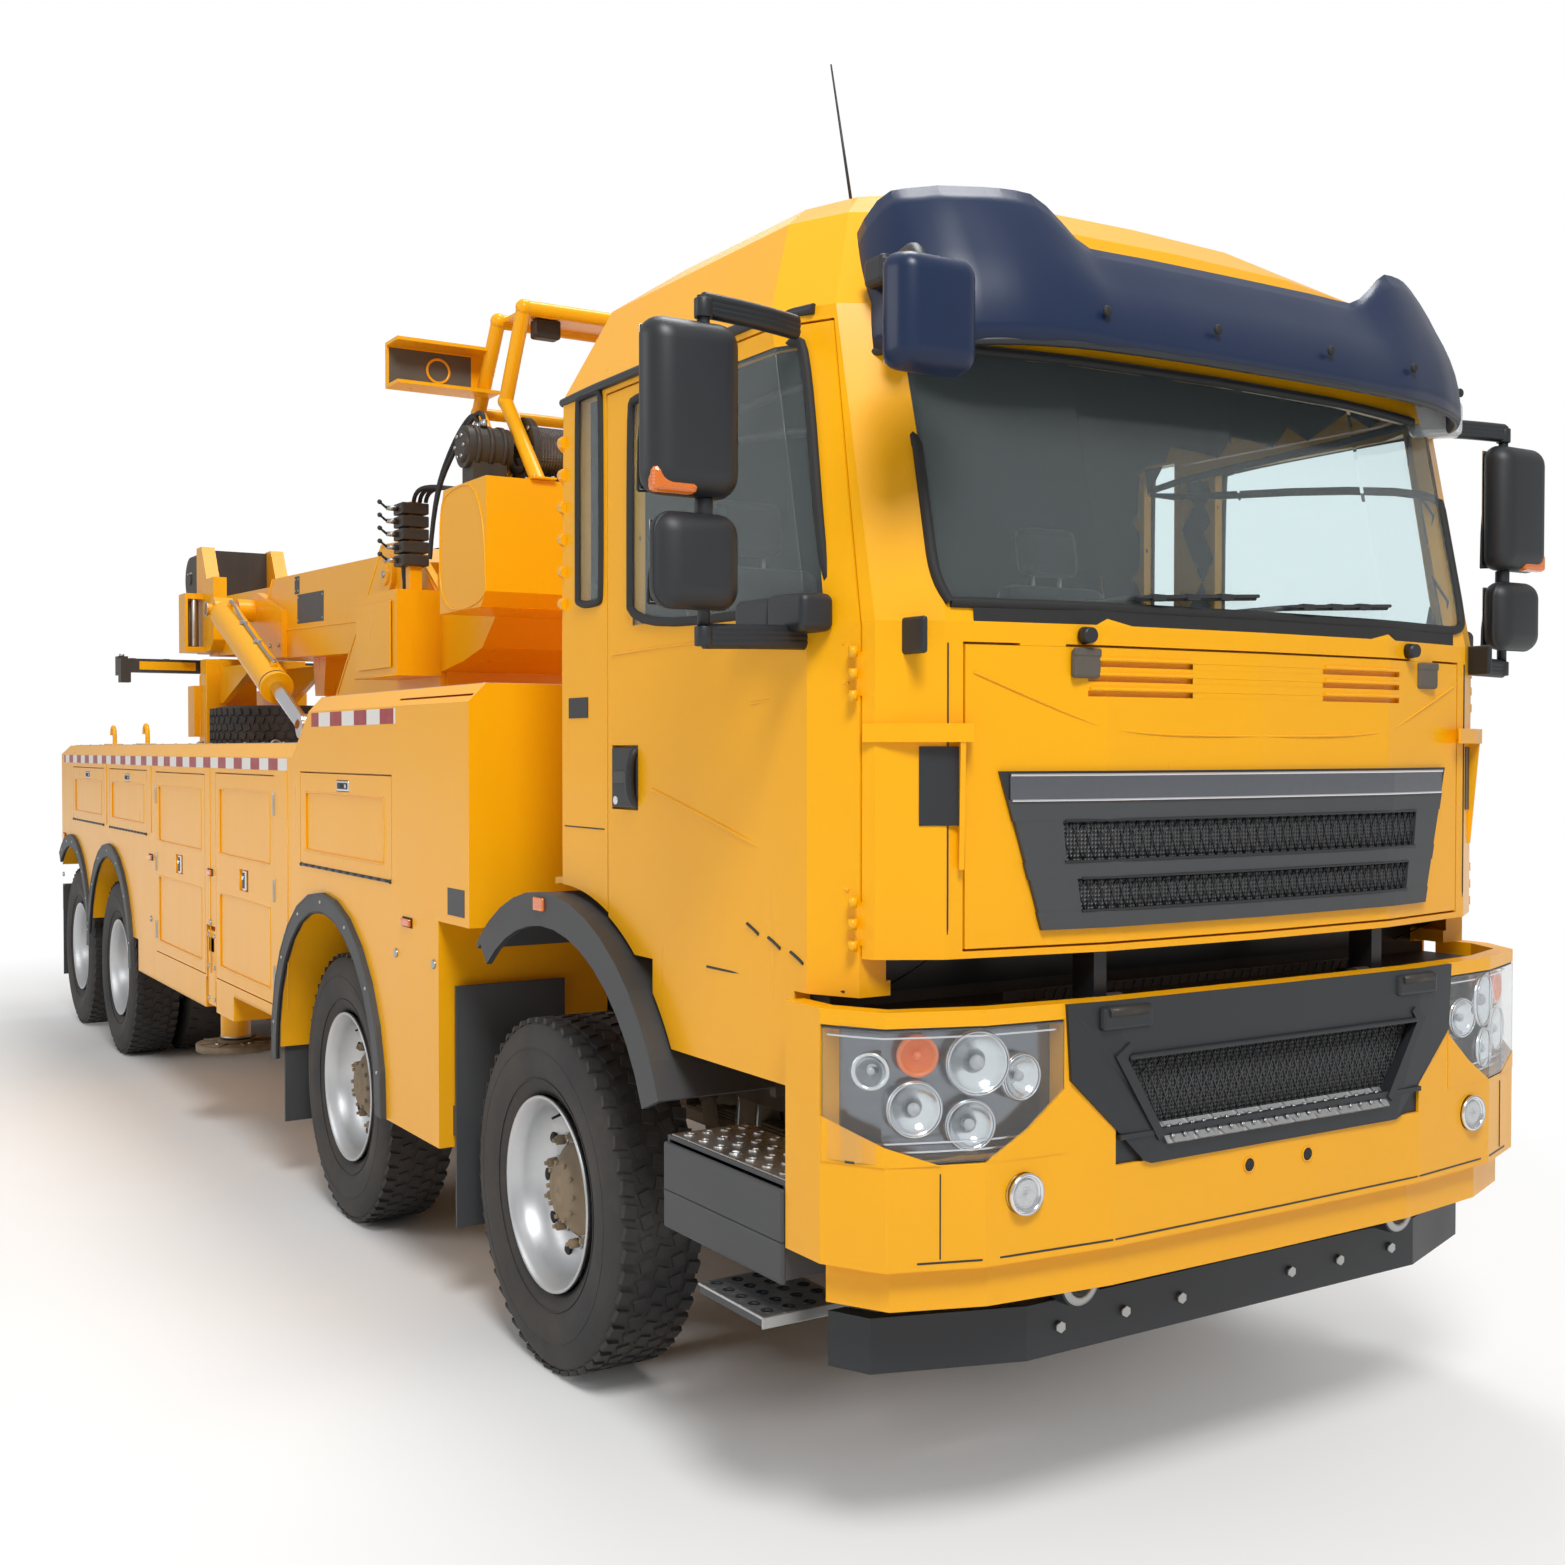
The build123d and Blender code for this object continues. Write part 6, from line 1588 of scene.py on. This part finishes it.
def boom_head_fittings():
    """Guide rollers, sheave rims, keeper pins and rope over the sheaves of the boom's end."""
    shape = Shape("boom_head_fittings")
    for x0, x1 in ((-0.16, -0.028), (0.028, 0.16)):
        middle = (x0 + x1) / 2
        for s, z, r in ((8.83, 3.23, 0.15), (8.4, 3.25, 0.11)):
            for way in (-1, 1):
                shape.ring((middle + way * 0.048, s, z), (1, 0, 0), -0.012, 0.012, r - 0.002, r + 0.01,
                    "steel", 44)
            shape.ring((middle, s, z), (1, 0, 0), -0.01, 0.01, r - 0.001, r + 0.006, "rope", 44)
        # rope between the two sheaves
        shape.bar((middle, 8.4, 3.364), (middle, 8.83, 3.386), 0.01, "rope", 10)
    for side in shape.sides():
        for s, z in ((8.83, 3.23), (8.4, 3.25)):
            face = at(side * 0.203, s, z)
            shape.stud(face, "x", -0.003, 0.01, 0.048, "black", 28, tip=0.044, bevel=0.001)
            shape.box(face + Vector((-0.006, -0.06, 0.034)), face + Vector((0.006, 0.06, 0.052)), "steel",
                0.002)
            shape.bolts([face + Vector((side * 0.006, b, 0.043)) for b in (-0.045, 0.045)], (side, 0, 0),
                0.008, 0.008, "steel")
        # outline bar on the head's plates
        for z in (3.075, 3.385):
            shape.bar((0.2045, 8.22, z), (0.2045, 8.68, z), 0.006, "black", 8)
        # fairlead rollers at the sides of the boom's end
        for s in (8.03, 8.17):
            shape.bar((0.3625, s, 2.662), (0.3625, s, 3.008), 0.022, "steel", 24, bevel=0.003)
        for x in (0.33, 0.395):
            shape.bar((x, 8.1, 2.662), (x, 8.1, 3.008), 0.018, "steel", 20, bevel=0.003)
        shape.box((0.3005, 7.8, 2.72), (0.3035, 8.02, 3.0), "paint", 0.001)
    # guard over the sheaves
    for x in (-0.185, 0.185):
        shape.pipe([(x, 8.3, 3.392), (x, 8.4, 3.4), (x, 8.7, 3.4005)], 0.0055, "black", 8)
    return shape.done("boom_inner")


def cylinder_fittings():
    """Gland nuts, ports and feed pipes on the lift cylinders."""
    barrels = Shape("lift_barrel_fittings")
    pin, ear = Vector((0, *BARREL_PIN)), Vector((0, *EAR_PIN))
    way = (ear - pin).normalized()
    up = Vector((0, way.z, -way.y))

    def on(x, distance, out=0.0):
        """A point so far along a barrel and so far above its line."""
        place = pin + way * distance + up * out
        return at(x, place.y, place.z)

    for side in barrels.sides():
        x = side * 0.495
        barrels.bar(on(x, 1.385), on(x, 1.4195), 0.0985, "paint", 40, bevel=0.003)
        barrels.bar(on(x, 1.37), on(x, 1.384), 0.0965, "trim", 40)
        barrels.bar(on(x, 0.105), on(x, 0.125), 0.098, "paint", 40, bevel=0.003)
        for distance in (0.2, 1.3):
            foot = on(x, distance, 0.094)
            barrels.bar(foot, on(x, distance, 0.12), 0.02, "paint", 20, bevel=0.002)
            barrels.bar(on(x, distance, 0.118), on(x, distance, 0.132), 0.015, "steel", 6)
        barrels.pipe([on(x, 0.2, 0.128), on(x, 0.26, 0.136), on(x, 0.45, 0.108), on(x, 1.0, 0.107),
            on(x, 1.22, 0.112), on(x, 1.3, 0.13)], 0.009, "steel", 10)
        for distance in (0.55, 0.9):
            foot = on(x, distance, 0.102)
            barrels.box(foot - Vector((0.022, 0.012, 0.01)), foot + Vector((0.022, 0.012, 0.014)), "steel",
                0.003)
    return barrels.done("lift_barrels")


# ------------------------------------------------------------------ underlift, outriggers, chassis
def underlift_fittings():
    """Wear strips, weld seams, hose guides and pin caps on the folded arm."""
    outer = Shape("lift_arm_outer_fittings")
    for side in outer.sides():
        for s in (8.112, 8.398):
            outer.bar((0.15, s, 0.98), (0.15, s, 1.895), 0.005, "paint", 8)
        outer.box((0.1495, 8.13, 1.74), (0.156, 8.38, 1.86), "paint", 0.002)
        outer.bolts([(0.156, s, z) for s in (8.17, 8.34) for z in (1.77, 1.83)], (side, 0, 0), 0.011, 0.007,
            "steel")
        face = at(side * 0.225, 8.25, 0.85)
        outer.stud(face, "x", -0.004, 0.012, 0.04, "steel", 28, tip=0.036, bevel=0.002)
    outer.box((-0.145, 8.398, 1.885), (0.145, 8.406, 1.899), "paint", 0.002)
    for foot, top in ((0.09, 0.075), (0.06, 0.05)):
        outer.pipe([(foot, 8.404, 1.02), (foot, 8.406, 1.3), (top, 8.406, 1.6), (top, 8.404, 1.88)], 0.01,
            "rubber", 10)
    first = outer.done("lift_arm_outer")
    bar = Shape("crossbar_fittings")
    for side in bar.sides():
        x = side * 0.795
        for z in (2.47, 2.58):
            bar.box(at(x - 0.03, 8.458, z - 0.012), at(x + 0.03, 8.464, z + 0.012), "steel", 0.003)
        bar.bar(at(x, 8.405, 2.594), at(x, 8.405, 2.612), 0.02, "steel", 6)
        low, high = side * 0.3, side * 0.7
        bar.box(at(low, 8.2495, 2.495), at(high, 8.2515, 2.555), "paint", 0.0006)
        bar.box(at(low, 8.349, 2.495), at(high, 8.3515, 2.555), "grey", 0.0006)
        for x in (0.2, 0.5, 0.74):
            bar.turned((x, 8.3, 2.575), (0, 0, 1), [(0.0, 0.012), (0.004, 0.013), (0.004, 0.024),
                (0.0, 0.025)], "trim", 24)
    bar.bolts([(x, 8.356, z) for x in (-0.08, 0.08) for z in (2.485, 2.565)], (0, 1, 0), 0.012, 0.008,
        "steel")
    second = bar.done("crossbar")
    return first, second


def outrigger_fittings(side_name, side):
    """Bolted ends, lock pin and sole of one outrigger."""
    beam = Shape(f"outrigger_beam_{side_name}_fittings", side)
    face = side * 1.245
    low, high = sorted((face, face + side * 0.0015))
    beam.box(at(low, 3.755, 0.66), at(high, 3.875, 0.99), "paint", 0.0005)
    beam.box(at(low, 3.765, 0.905), at(high, 3.865, 0.975), "tape", 0.0005)
    beam.bolts([at(face, s, z) for s in (3.755, 3.875) for z in (0.67, 0.83, 0.985)], (side, 0, 0), 0.01,
        0.006, "steel")
    beam.turned((*OUTRIGGER, 0.47), (0, 0, 1), [(-0.001, 0.052), (-0.001, 0.0735), (0.012, 0.0735),
        (0.012, 0.0725)], "steel", 36)
    first = beam.done(f"outrigger_beam_{side_name}")
    foot = Shape(f"outrigger_foot_{side_name}_fittings", side)
    centre = at(side * OUTRIGGER[0], OUTRIGGER[1], 0.412)
    foot.turned(centre, (0, 0, 1), [(0.001, 0.17), (0.001, 0.1905), (0.03, 0.1915), (0.034, 0.186),
        (0.034, 0.17)], "black", 48)
    for y, x in around(1, 8):
        way, top = Vector((x, y, 0)), centre + Vector((0, 0, 0.036))
        foot.bar(top + way * 0.085, top + way * 0.178, 0.006, "black", 8)
    foot.bolts([centre + Vector((0.11 * cos(a), 0.11 * sin(a), 0.033)) for a in (0.4, 1.97, 3.54, 5.11)],
        (0, 0, 1), 0.012, 0.008, "steel")
    second = foot.done(f"outrigger_foot_{side_name}")
    return first, second


def chassis_fittings():
    """Rail bolts, air tanks' bands, brake hoses and lamp wiring along the frame."""
    shape = Shape("chassis_fittings")
    for _ in shape.sides():
        for s in spread(0.7, 8.25, 24):
            for z in (0.905, 1.065):
                shape.stud((0.4305, s, z), "x", -0.004, 0.009, 0.01, "steel")
        for s in AXLES:
            # spring clips, shackles and dampers
            for b in (-0.06, 0.06):
                shape.pipe([(0.345, s + b, 0.56), (0.345, s + b, 0.757), (0.39, s + b, 0.772),
                    (0.435, s + b, 0.757), (0.435, s + b, 0.56)], 0.009, "steel", 8)
            for b in (-0.455, 0.455):
                shape.bar((0.35, s + b, 0.63), (0.43, s + b, 0.63), 0.022, "steel", 16)
            shape.bar((0.46, s + 0.16, 0.58), (0.46, s + 0.3, 0.95), 0.026, "hub", 20)
            shape.bar((0.46, s + 0.21, 0.72), (0.46, s + 0.32, 0.99), 0.033, "black", 20)
        # brake chambers behind the fixed axles
        for s in AXLES[2:]:
            shape.bar((0.5, s - 0.2, 0.64), (0.5, s - 0.36, 0.66), 0.078, "hub", 28, tip=0.078, bevel=0.008)
            shape.pipe([(0.5, s - 0.3, 0.73), (0.48, s - 0.34, 0.8), (0.44, s - 0.3, 0.86)], 0.01, "rubber",
                10)
        # leaf ends stacked on the springs
        for s in AXLES:
            for i in range(4):
                half = 0.44 - 0.08 * i
                shape.box((0.357, s - half, 0.65 + 0.011 * i), (0.423, s + half, 0.6595 + 0.011 * i), "black",
                    0.002)
        # line along the rail
        shape.pipe([(0.44, s, 0.98 + 0.006 * sin(s * 4)) for s in spread(0.7, 8.2, 14)], 0.011, "rubber", 8)
        shape.pipe([(0.44, s, 1.02 + 0.004 * sin(s * 3)) for s in spread(0.7, 8.2, 14)], 0.007, "trim", 8)
    # gearbox ribs, shaft joints
    for s in spread(0.62, 1.16, 6):
        shape.box((-0.206, s, 0.655), (0.206, s + 0.016, 0.85), "hub", 0.004)
    for s in (1.22, 1.9, 3.6, 5.1, 6.12):
        shape.turned((0, s, 0.802), (0, 1, 0), [(-0.025, 0.037), (-0.025, 0.06), (-0.01, 0.07), (0.01, 0.07),
            (0.025, 0.06), (0.025, 0.037)], "hub", 28)
    # black sheets under the cab's front, open where the cab's feet pass: painted shade for the dark gap over the
    # bumper
    for x0, x1 in ((-1.08, -0.54), (-0.38, 0.38), (0.54, 1.08)):
        shape.box((x0, -1.69, 1.292), (x1, -1.455, 1.298), "black", 0.002)
    shape.box((-0.6, -1.806, 1.27), (0.6, -1.8, 1.322), "black", 0.002)
    shape.box((-1.08, -1.463, 1.292), (1.08, -1.455, 1.329), "black", 0.002)
    # mesh over the radiator, seen between bumper and cab
    shape.box((-0.66, -1.59, 0.95), (0.66, -1.578, 1.322), "black", 0.003)
    for x in spread(-0.64, 0.64, 40):
        shape.bar((x, -1.592, 1.18), (min(0.65, x + 0.05), -1.592, 1.318), 0.0018, "black", 6)
    return shape.done("truck")


def step_fittings():
    """Serrated treads and side plates of the entry steps."""
    shape = Shape("step_fittings")
    for side in shape.sides():
        for z in (0.9005, 0.7755):
            shape.box((0.965, -1.44, z - 0.001), (1.19, -0.885, z + 0.0035), "plate", 0.001)
            for i in range(7):
                for j in range(4):
                    place = (0.995 + 0.055 * j, -1.395 + i * 0.078, z + 0.003)
                    shape.turned(place, (0, 0, 1), [(0.0, 0.01), (0.0055, 0.011), (0.0055, 0.015),
                        (0.0, 0.018)], "plate", 12)
        # dark moulded cheek outside the steps
        x0, x1 = sorted((side * 1.194, side * 1.208))
        shape.box(at(x0, -1.452, 0.66), at(x1, -0.868, 0.884), "grey", 0.006)
        shape.box(at(x0, -1.452, 0.756), at(x1 + side * 0.002, -0.868, 0.764), "trim", 0.003)
        # hanging step: drilled aluminium tread on two hangers
        shape.box((0.998, -1.423, 0.578), (1.243, -1.117, 0.585), "plate", 0.002)
        shape.box((0.998, -1.425, 0.556), (1.243, -1.419, 0.584), "steel", 0.002)
        for i in range(5):
            for j in range(4):
                place = (1.03 + 0.06 * j, -1.39 + i * 0.06, 0.5855)
                shape.turned(place, (0, 0, 1), [(0.0, 0.0005), (0.0, 0.011), (0.0012, 0.013), (0.0014, 0.016),
                    (-0.001, 0.016)], "trim", 12)
        for s in (-1.4, -1.14):
            shape.box((1.008, s - 0.022, 0.584), (1.013, s + 0.022, 0.672), "steel", 0.002)
    return shape.done("truck")


def mast_fittings():
    """Seams, rubber rest, base bolts and lashing hook on the rear mast."""
    shape = Shape("mast_fittings")
    for side in shape.sides():
        x = side * 0.3585
        for s in (7.674, 7.866):
            shape.bar(at(x, s, 1.28), at(x, s, 2.445), 0.0048, "paint", 8)
        shape.bolts([(a, s, 1.2755) for a in (0.385, 0.41) for s in (7.69, 7.77, 7.85)], (0, 0, 1), 0.012,
            0.008, "steel")
        shape.box((0.3585, 7.7, 1.9), (0.36, 7.84, 2.2), "paint", 0.0004)
        shape.bar((0.2625, 8.075, 2.12), (0.2625, 8.54, 2.12), 0.005, "paint", 8)
        shape.bolts([(0.262, s, 2.23) for s in (8.15, 8.45)], (side, 0, 0), 0.016, 0.009, "steel")
    shape.box((-0.3, 7.7, 2.5525), (0.3, 7.84, 2.5575), "rubber", 0.002)
    return shape.done("truck")


# ------------------------------------------------------------------ stage
def seen_by(tree):
    """Masks for what the eye sees straight, in a gloss and through glass."""
    paths = tree.nodes.new("ShaderNodeLightPath")
    return [Value(tree, paths.outputs[f"Is {kind} Ray"]) for kind in ("Camera", "Glossy", "Transmission")]


def stage(sizes):
    """Pale floor, soft boxes and the camera."""
    floor_mesh = bpy.data.meshes.new("floor")
    bm = bmesh.new()
    bmesh.ops.create_grid(bm, x_segments=1, y_segments=1, size=90.0)
    bm.to_mesh(floor_mesh)
    bm.free()
    floor = bpy.data.objects.new("floor", floor_mesh)
    bpy.context.scene.collection.objects.link(floor)
    look = Finish("Pale floor", (0.9, 0.9, 0.9), 0.9, Specular_IOR_Level=0.1)
    tree = look.tree
    # the distance fades to plain white for the eye, and stays dull for light
    eye, gloss, through = seen_by(tree)
    stretched = look.node("ShaderNodeVectorMath", {"operation": "MULTIPLY"},
        {0: look.place, 1: (1.0, 0.56, 1.0)})
    distance = look.node("ShaderNodeVectorMath", {"operation": "LENGTH"}, {0: stretched}, "Value")
    fade = ((distance - 2.2) / 2.6).clamped() * (eye + gloss + through).clamped()
    glow = look.node("ShaderNodeEmission", inputs={"Strength": 1.0})
    both = look.node("ShaderNodeMixShader", inputs={0: fade, 1: Value(tree, look.shader.outputs[0]), 2: glow})
    tree.links.new(both.socket, tree.nodes["Material Output"].inputs["Surface"])
    floor_mesh.materials.append(look.material)

    world = bpy.data.worlds.new("Plain sky")
    bpy.context.scene.world = world
    world.use_nodes = True
    tree = world.node_tree
    eye, gloss, through = seen_by(tree)
    strength = (eye + gloss * 0.3 + through).clamped() * (1.0 - sizes.sky) + sizes.sky
    ground = tree.nodes["Background"]
    ground.inputs["Color"].default_value = (1, 1, 1, 1)
    tree.links.new(strength.socket, ground.inputs["Strength"])

    def lamp(name, place, aim, size, power):
        light = bpy.data.lights.new(name, "AREA")
        light.shape = "DISK"
        light.size = size
        light.energy = power
        holder = bpy.data.objects.new(name, light)
        bpy.context.scene.collection.objects.link(holder)
        holder.location = place
        holder.rotation_euler = (Vector(aim) - Vector(place)).to_track_quat("-Z", "Y").to_euler()

    lamp("key", (-3.5, -10.5, 9.5), (0, -1.0, 1.4), 3.5, 820 * sizes.light)
    lamp("fill", (-11.0, 1.0, 6.0), (0, 0, 1.5), 6.0, 230 * sizes.light)
    lamp("top", (2.0, -1.0, 12.0), (0, 0, 1.0), 5.0, 620 * sizes.light)
    lamp("back", (8.0, 9.0, 7.0), (0, 0, 1.5), 6.0, 220 * sizes.light)

    camera = bpy.data.cameras.new("camera")
    camera.lens = 38.71
    camera.sensor_width = 36.0
    camera.clip_end = 200.0
    holder = bpy.data.objects.new("camera", camera)
    bpy.context.scene.collection.objects.link(holder)
    holder.location = (-3.272, -8.299, 1.9085)
    holder.rotation_euler = (radians(88.87), 0.0, radians(-32.08))
    bpy.context.scene.camera = holder
    bpy.context.scene.view_settings.view_transform = "Standard"


# ------------------------------------------------------------------ add-on
class TruckSizes(bpy.types.PropertyGroup):
    """Colours and light that a user would change."""

    paint: bpy.props.FloatVectorProperty(name="Body colour", description="Colour of the sprayed enamel",
        subtype="COLOR", size=3, default=(0.95, 0.435, 0.001), min=0.0, max=1.0)
    light: bpy.props.FloatProperty(name="Lamp level", description="Power of the studio lamps",
        subtype="FACTOR", default=1.0, min=0.1, max=3.0)
    sky: bpy.props.FloatProperty(name="Sky level", description="Light from the plain surroundings",
        subtype="FACTOR", default=0.36, min=0.0, max=1.0)


class TRUCK_OT_finishes(bpy.types.Operator):
    """Make the materials and give the carried-over solids theirs"""

    bl_idname = "truck.finishes"
    bl_label = "Finishes"

    def execute(self, context):
        make_materials(context.scene.truck_sizes)
        looks = {node: look for look, nodes in NODE_LOOKS.items() for node in nodes.split()}
        for name, obj in NODES.items():
            look = "paint" if name.startswith("locker_") else looks.get(name)
            if look:
                obj.data.materials.clear()
                obj.data.materials.append(MATERIALS[look])
        return {"FINISHED"}


class TRUCK_OT_wheels(bpy.types.Operator):
    """Dress the eight road positions and the spare"""

    bl_idname = "truck.wheels"
    bl_label = "Wheels"

    def execute(self, context):
        masters = (wheel_master(False), wheel_master(True))
        for number, s in enumerate(AXLES, 1):
            for side_name, side in SIDES:
                wheel_set(f"wheel_{number}_{side_name}", masters[number > 2], s, side)
        for mesh in masters:
            bpy.data.meshes.remove(mesh)
        spare_wheel()
        return {"FINISHED"}


class TRUCK_OT_body(bpy.types.Operator):
    """Fit the locker body, its doors, tapes and arches"""

    bl_idname = "truck.body"
    bl_label = "Locker body"

    def execute(self, context):
        for row in LOCKERS:
            for side_name, side in SIDES:
                locker_fittings(*row, side_name, side)
        body_tapes()
        body_fittings()
        arch_fittings()
        mast_fittings()
        return {"FINISHED"}


class TRUCK_OT_front(bpy.types.Operator):
    """Fit the lamps, the bumper and the front flap"""

    bl_idname = "truck.front"
    bl_label = "Front end"

    def execute(self, context):
        lamps()
        bumper_fittings()
        push_bar_fittings()
        front_panel_fittings()
        grille()
        step_fittings()
        return {"FINISHED"}


class TRUCK_OT_cab(bpy.types.Operator):
    """Fit the cab, its doors, mirrors and furniture"""

    bl_idname = "truck.cab"
    bl_label = "Cab"

    def execute(self, context):
        cab_fittings()
        sun_visor()
        roof_trim()
        cab_interior()
        for side_name, side in SIDES:
            door_fittings(side_name, side)
            mirror_housings(side_name, side)
        return {"FINISHED"}


class TRUCK_OT_crane(bpy.types.Operator):
    """Fit the turret, winches, boom and lift cylinders"""

    bl_idname = "truck.crane"
    bl_label = "Crane"

    def execute(self, context):
        turret_fittings()
        winch_fittings()
        boom_fittings()
        boom_head_fittings()
        cylinder_fittings()
        return {"FINISHED"}


class TRUCK_OT_chassis(bpy.types.Operator):
    """Fit the frame, the underlift and the outriggers"""

    bl_idname = "truck.chassis"
    bl_label = "Chassis"

    def execute(self, context):
        chassis_fittings()
        underlift_fittings()
        for side_name, side in SIDES:
            outrigger_fittings(side_name, side)
        return {"FINISHED"}


class TRUCK_OT_stage(bpy.types.Operator):
    """Lay the floor and set the lamps and the camera"""

    bl_idname = "truck.stage"
    bl_label = "Stage"

    def execute(self, context):
        stage(context.scene.truck_sizes)
        return {"FINISHED"}


OPERATORS = (TRUCK_OT_finishes, TRUCK_OT_wheels, TRUCK_OT_body, TRUCK_OT_front, TRUCK_OT_cab, TRUCK_OT_crane,
    TRUCK_OT_chassis, TRUCK_OT_stage)


class VIEW3D_PT_truck(bpy.types.Panel):
    """Lists the steps that dress the truck"""

    bl_label = "Recovery truck"
    bl_space_type = "VIEW_3D"
    bl_region_type = "UI"
    bl_category = "Truck"

    def draw(self, context):
        sizes = context.scene.truck_sizes
        for name in ("paint", "light", "sky"):
            self.layout.prop(sizes, name)
        for operator in OPERATORS:
            self.layout.operator(operator.bl_idname)


CLASSES = (TruckSizes, *OPERATORS, VIEW3D_PT_truck)


def register():
    for cls in CLASSES:
        bpy.utils.register_class(cls)
    bpy.types.Scene.truck_sizes = bpy.props.PointerProperty(type=TruckSizes)


def unregister():
    del bpy.types.Scene.truck_sizes
    for cls in reversed(CLASSES):
        bpy.utils.unregister_class(cls)


def main():
    register()
    bpy.ops.truck.finishes()
    bpy.ops.truck.wheels()
    bpy.ops.truck.body()
    bpy.ops.truck.front()
    bpy.ops.truck.cab()
    bpy.ops.truck.crane()
    bpy.ops.truck.chassis()
    bpy.ops.truck.stage()


if __name__ == "__main__":
    main()
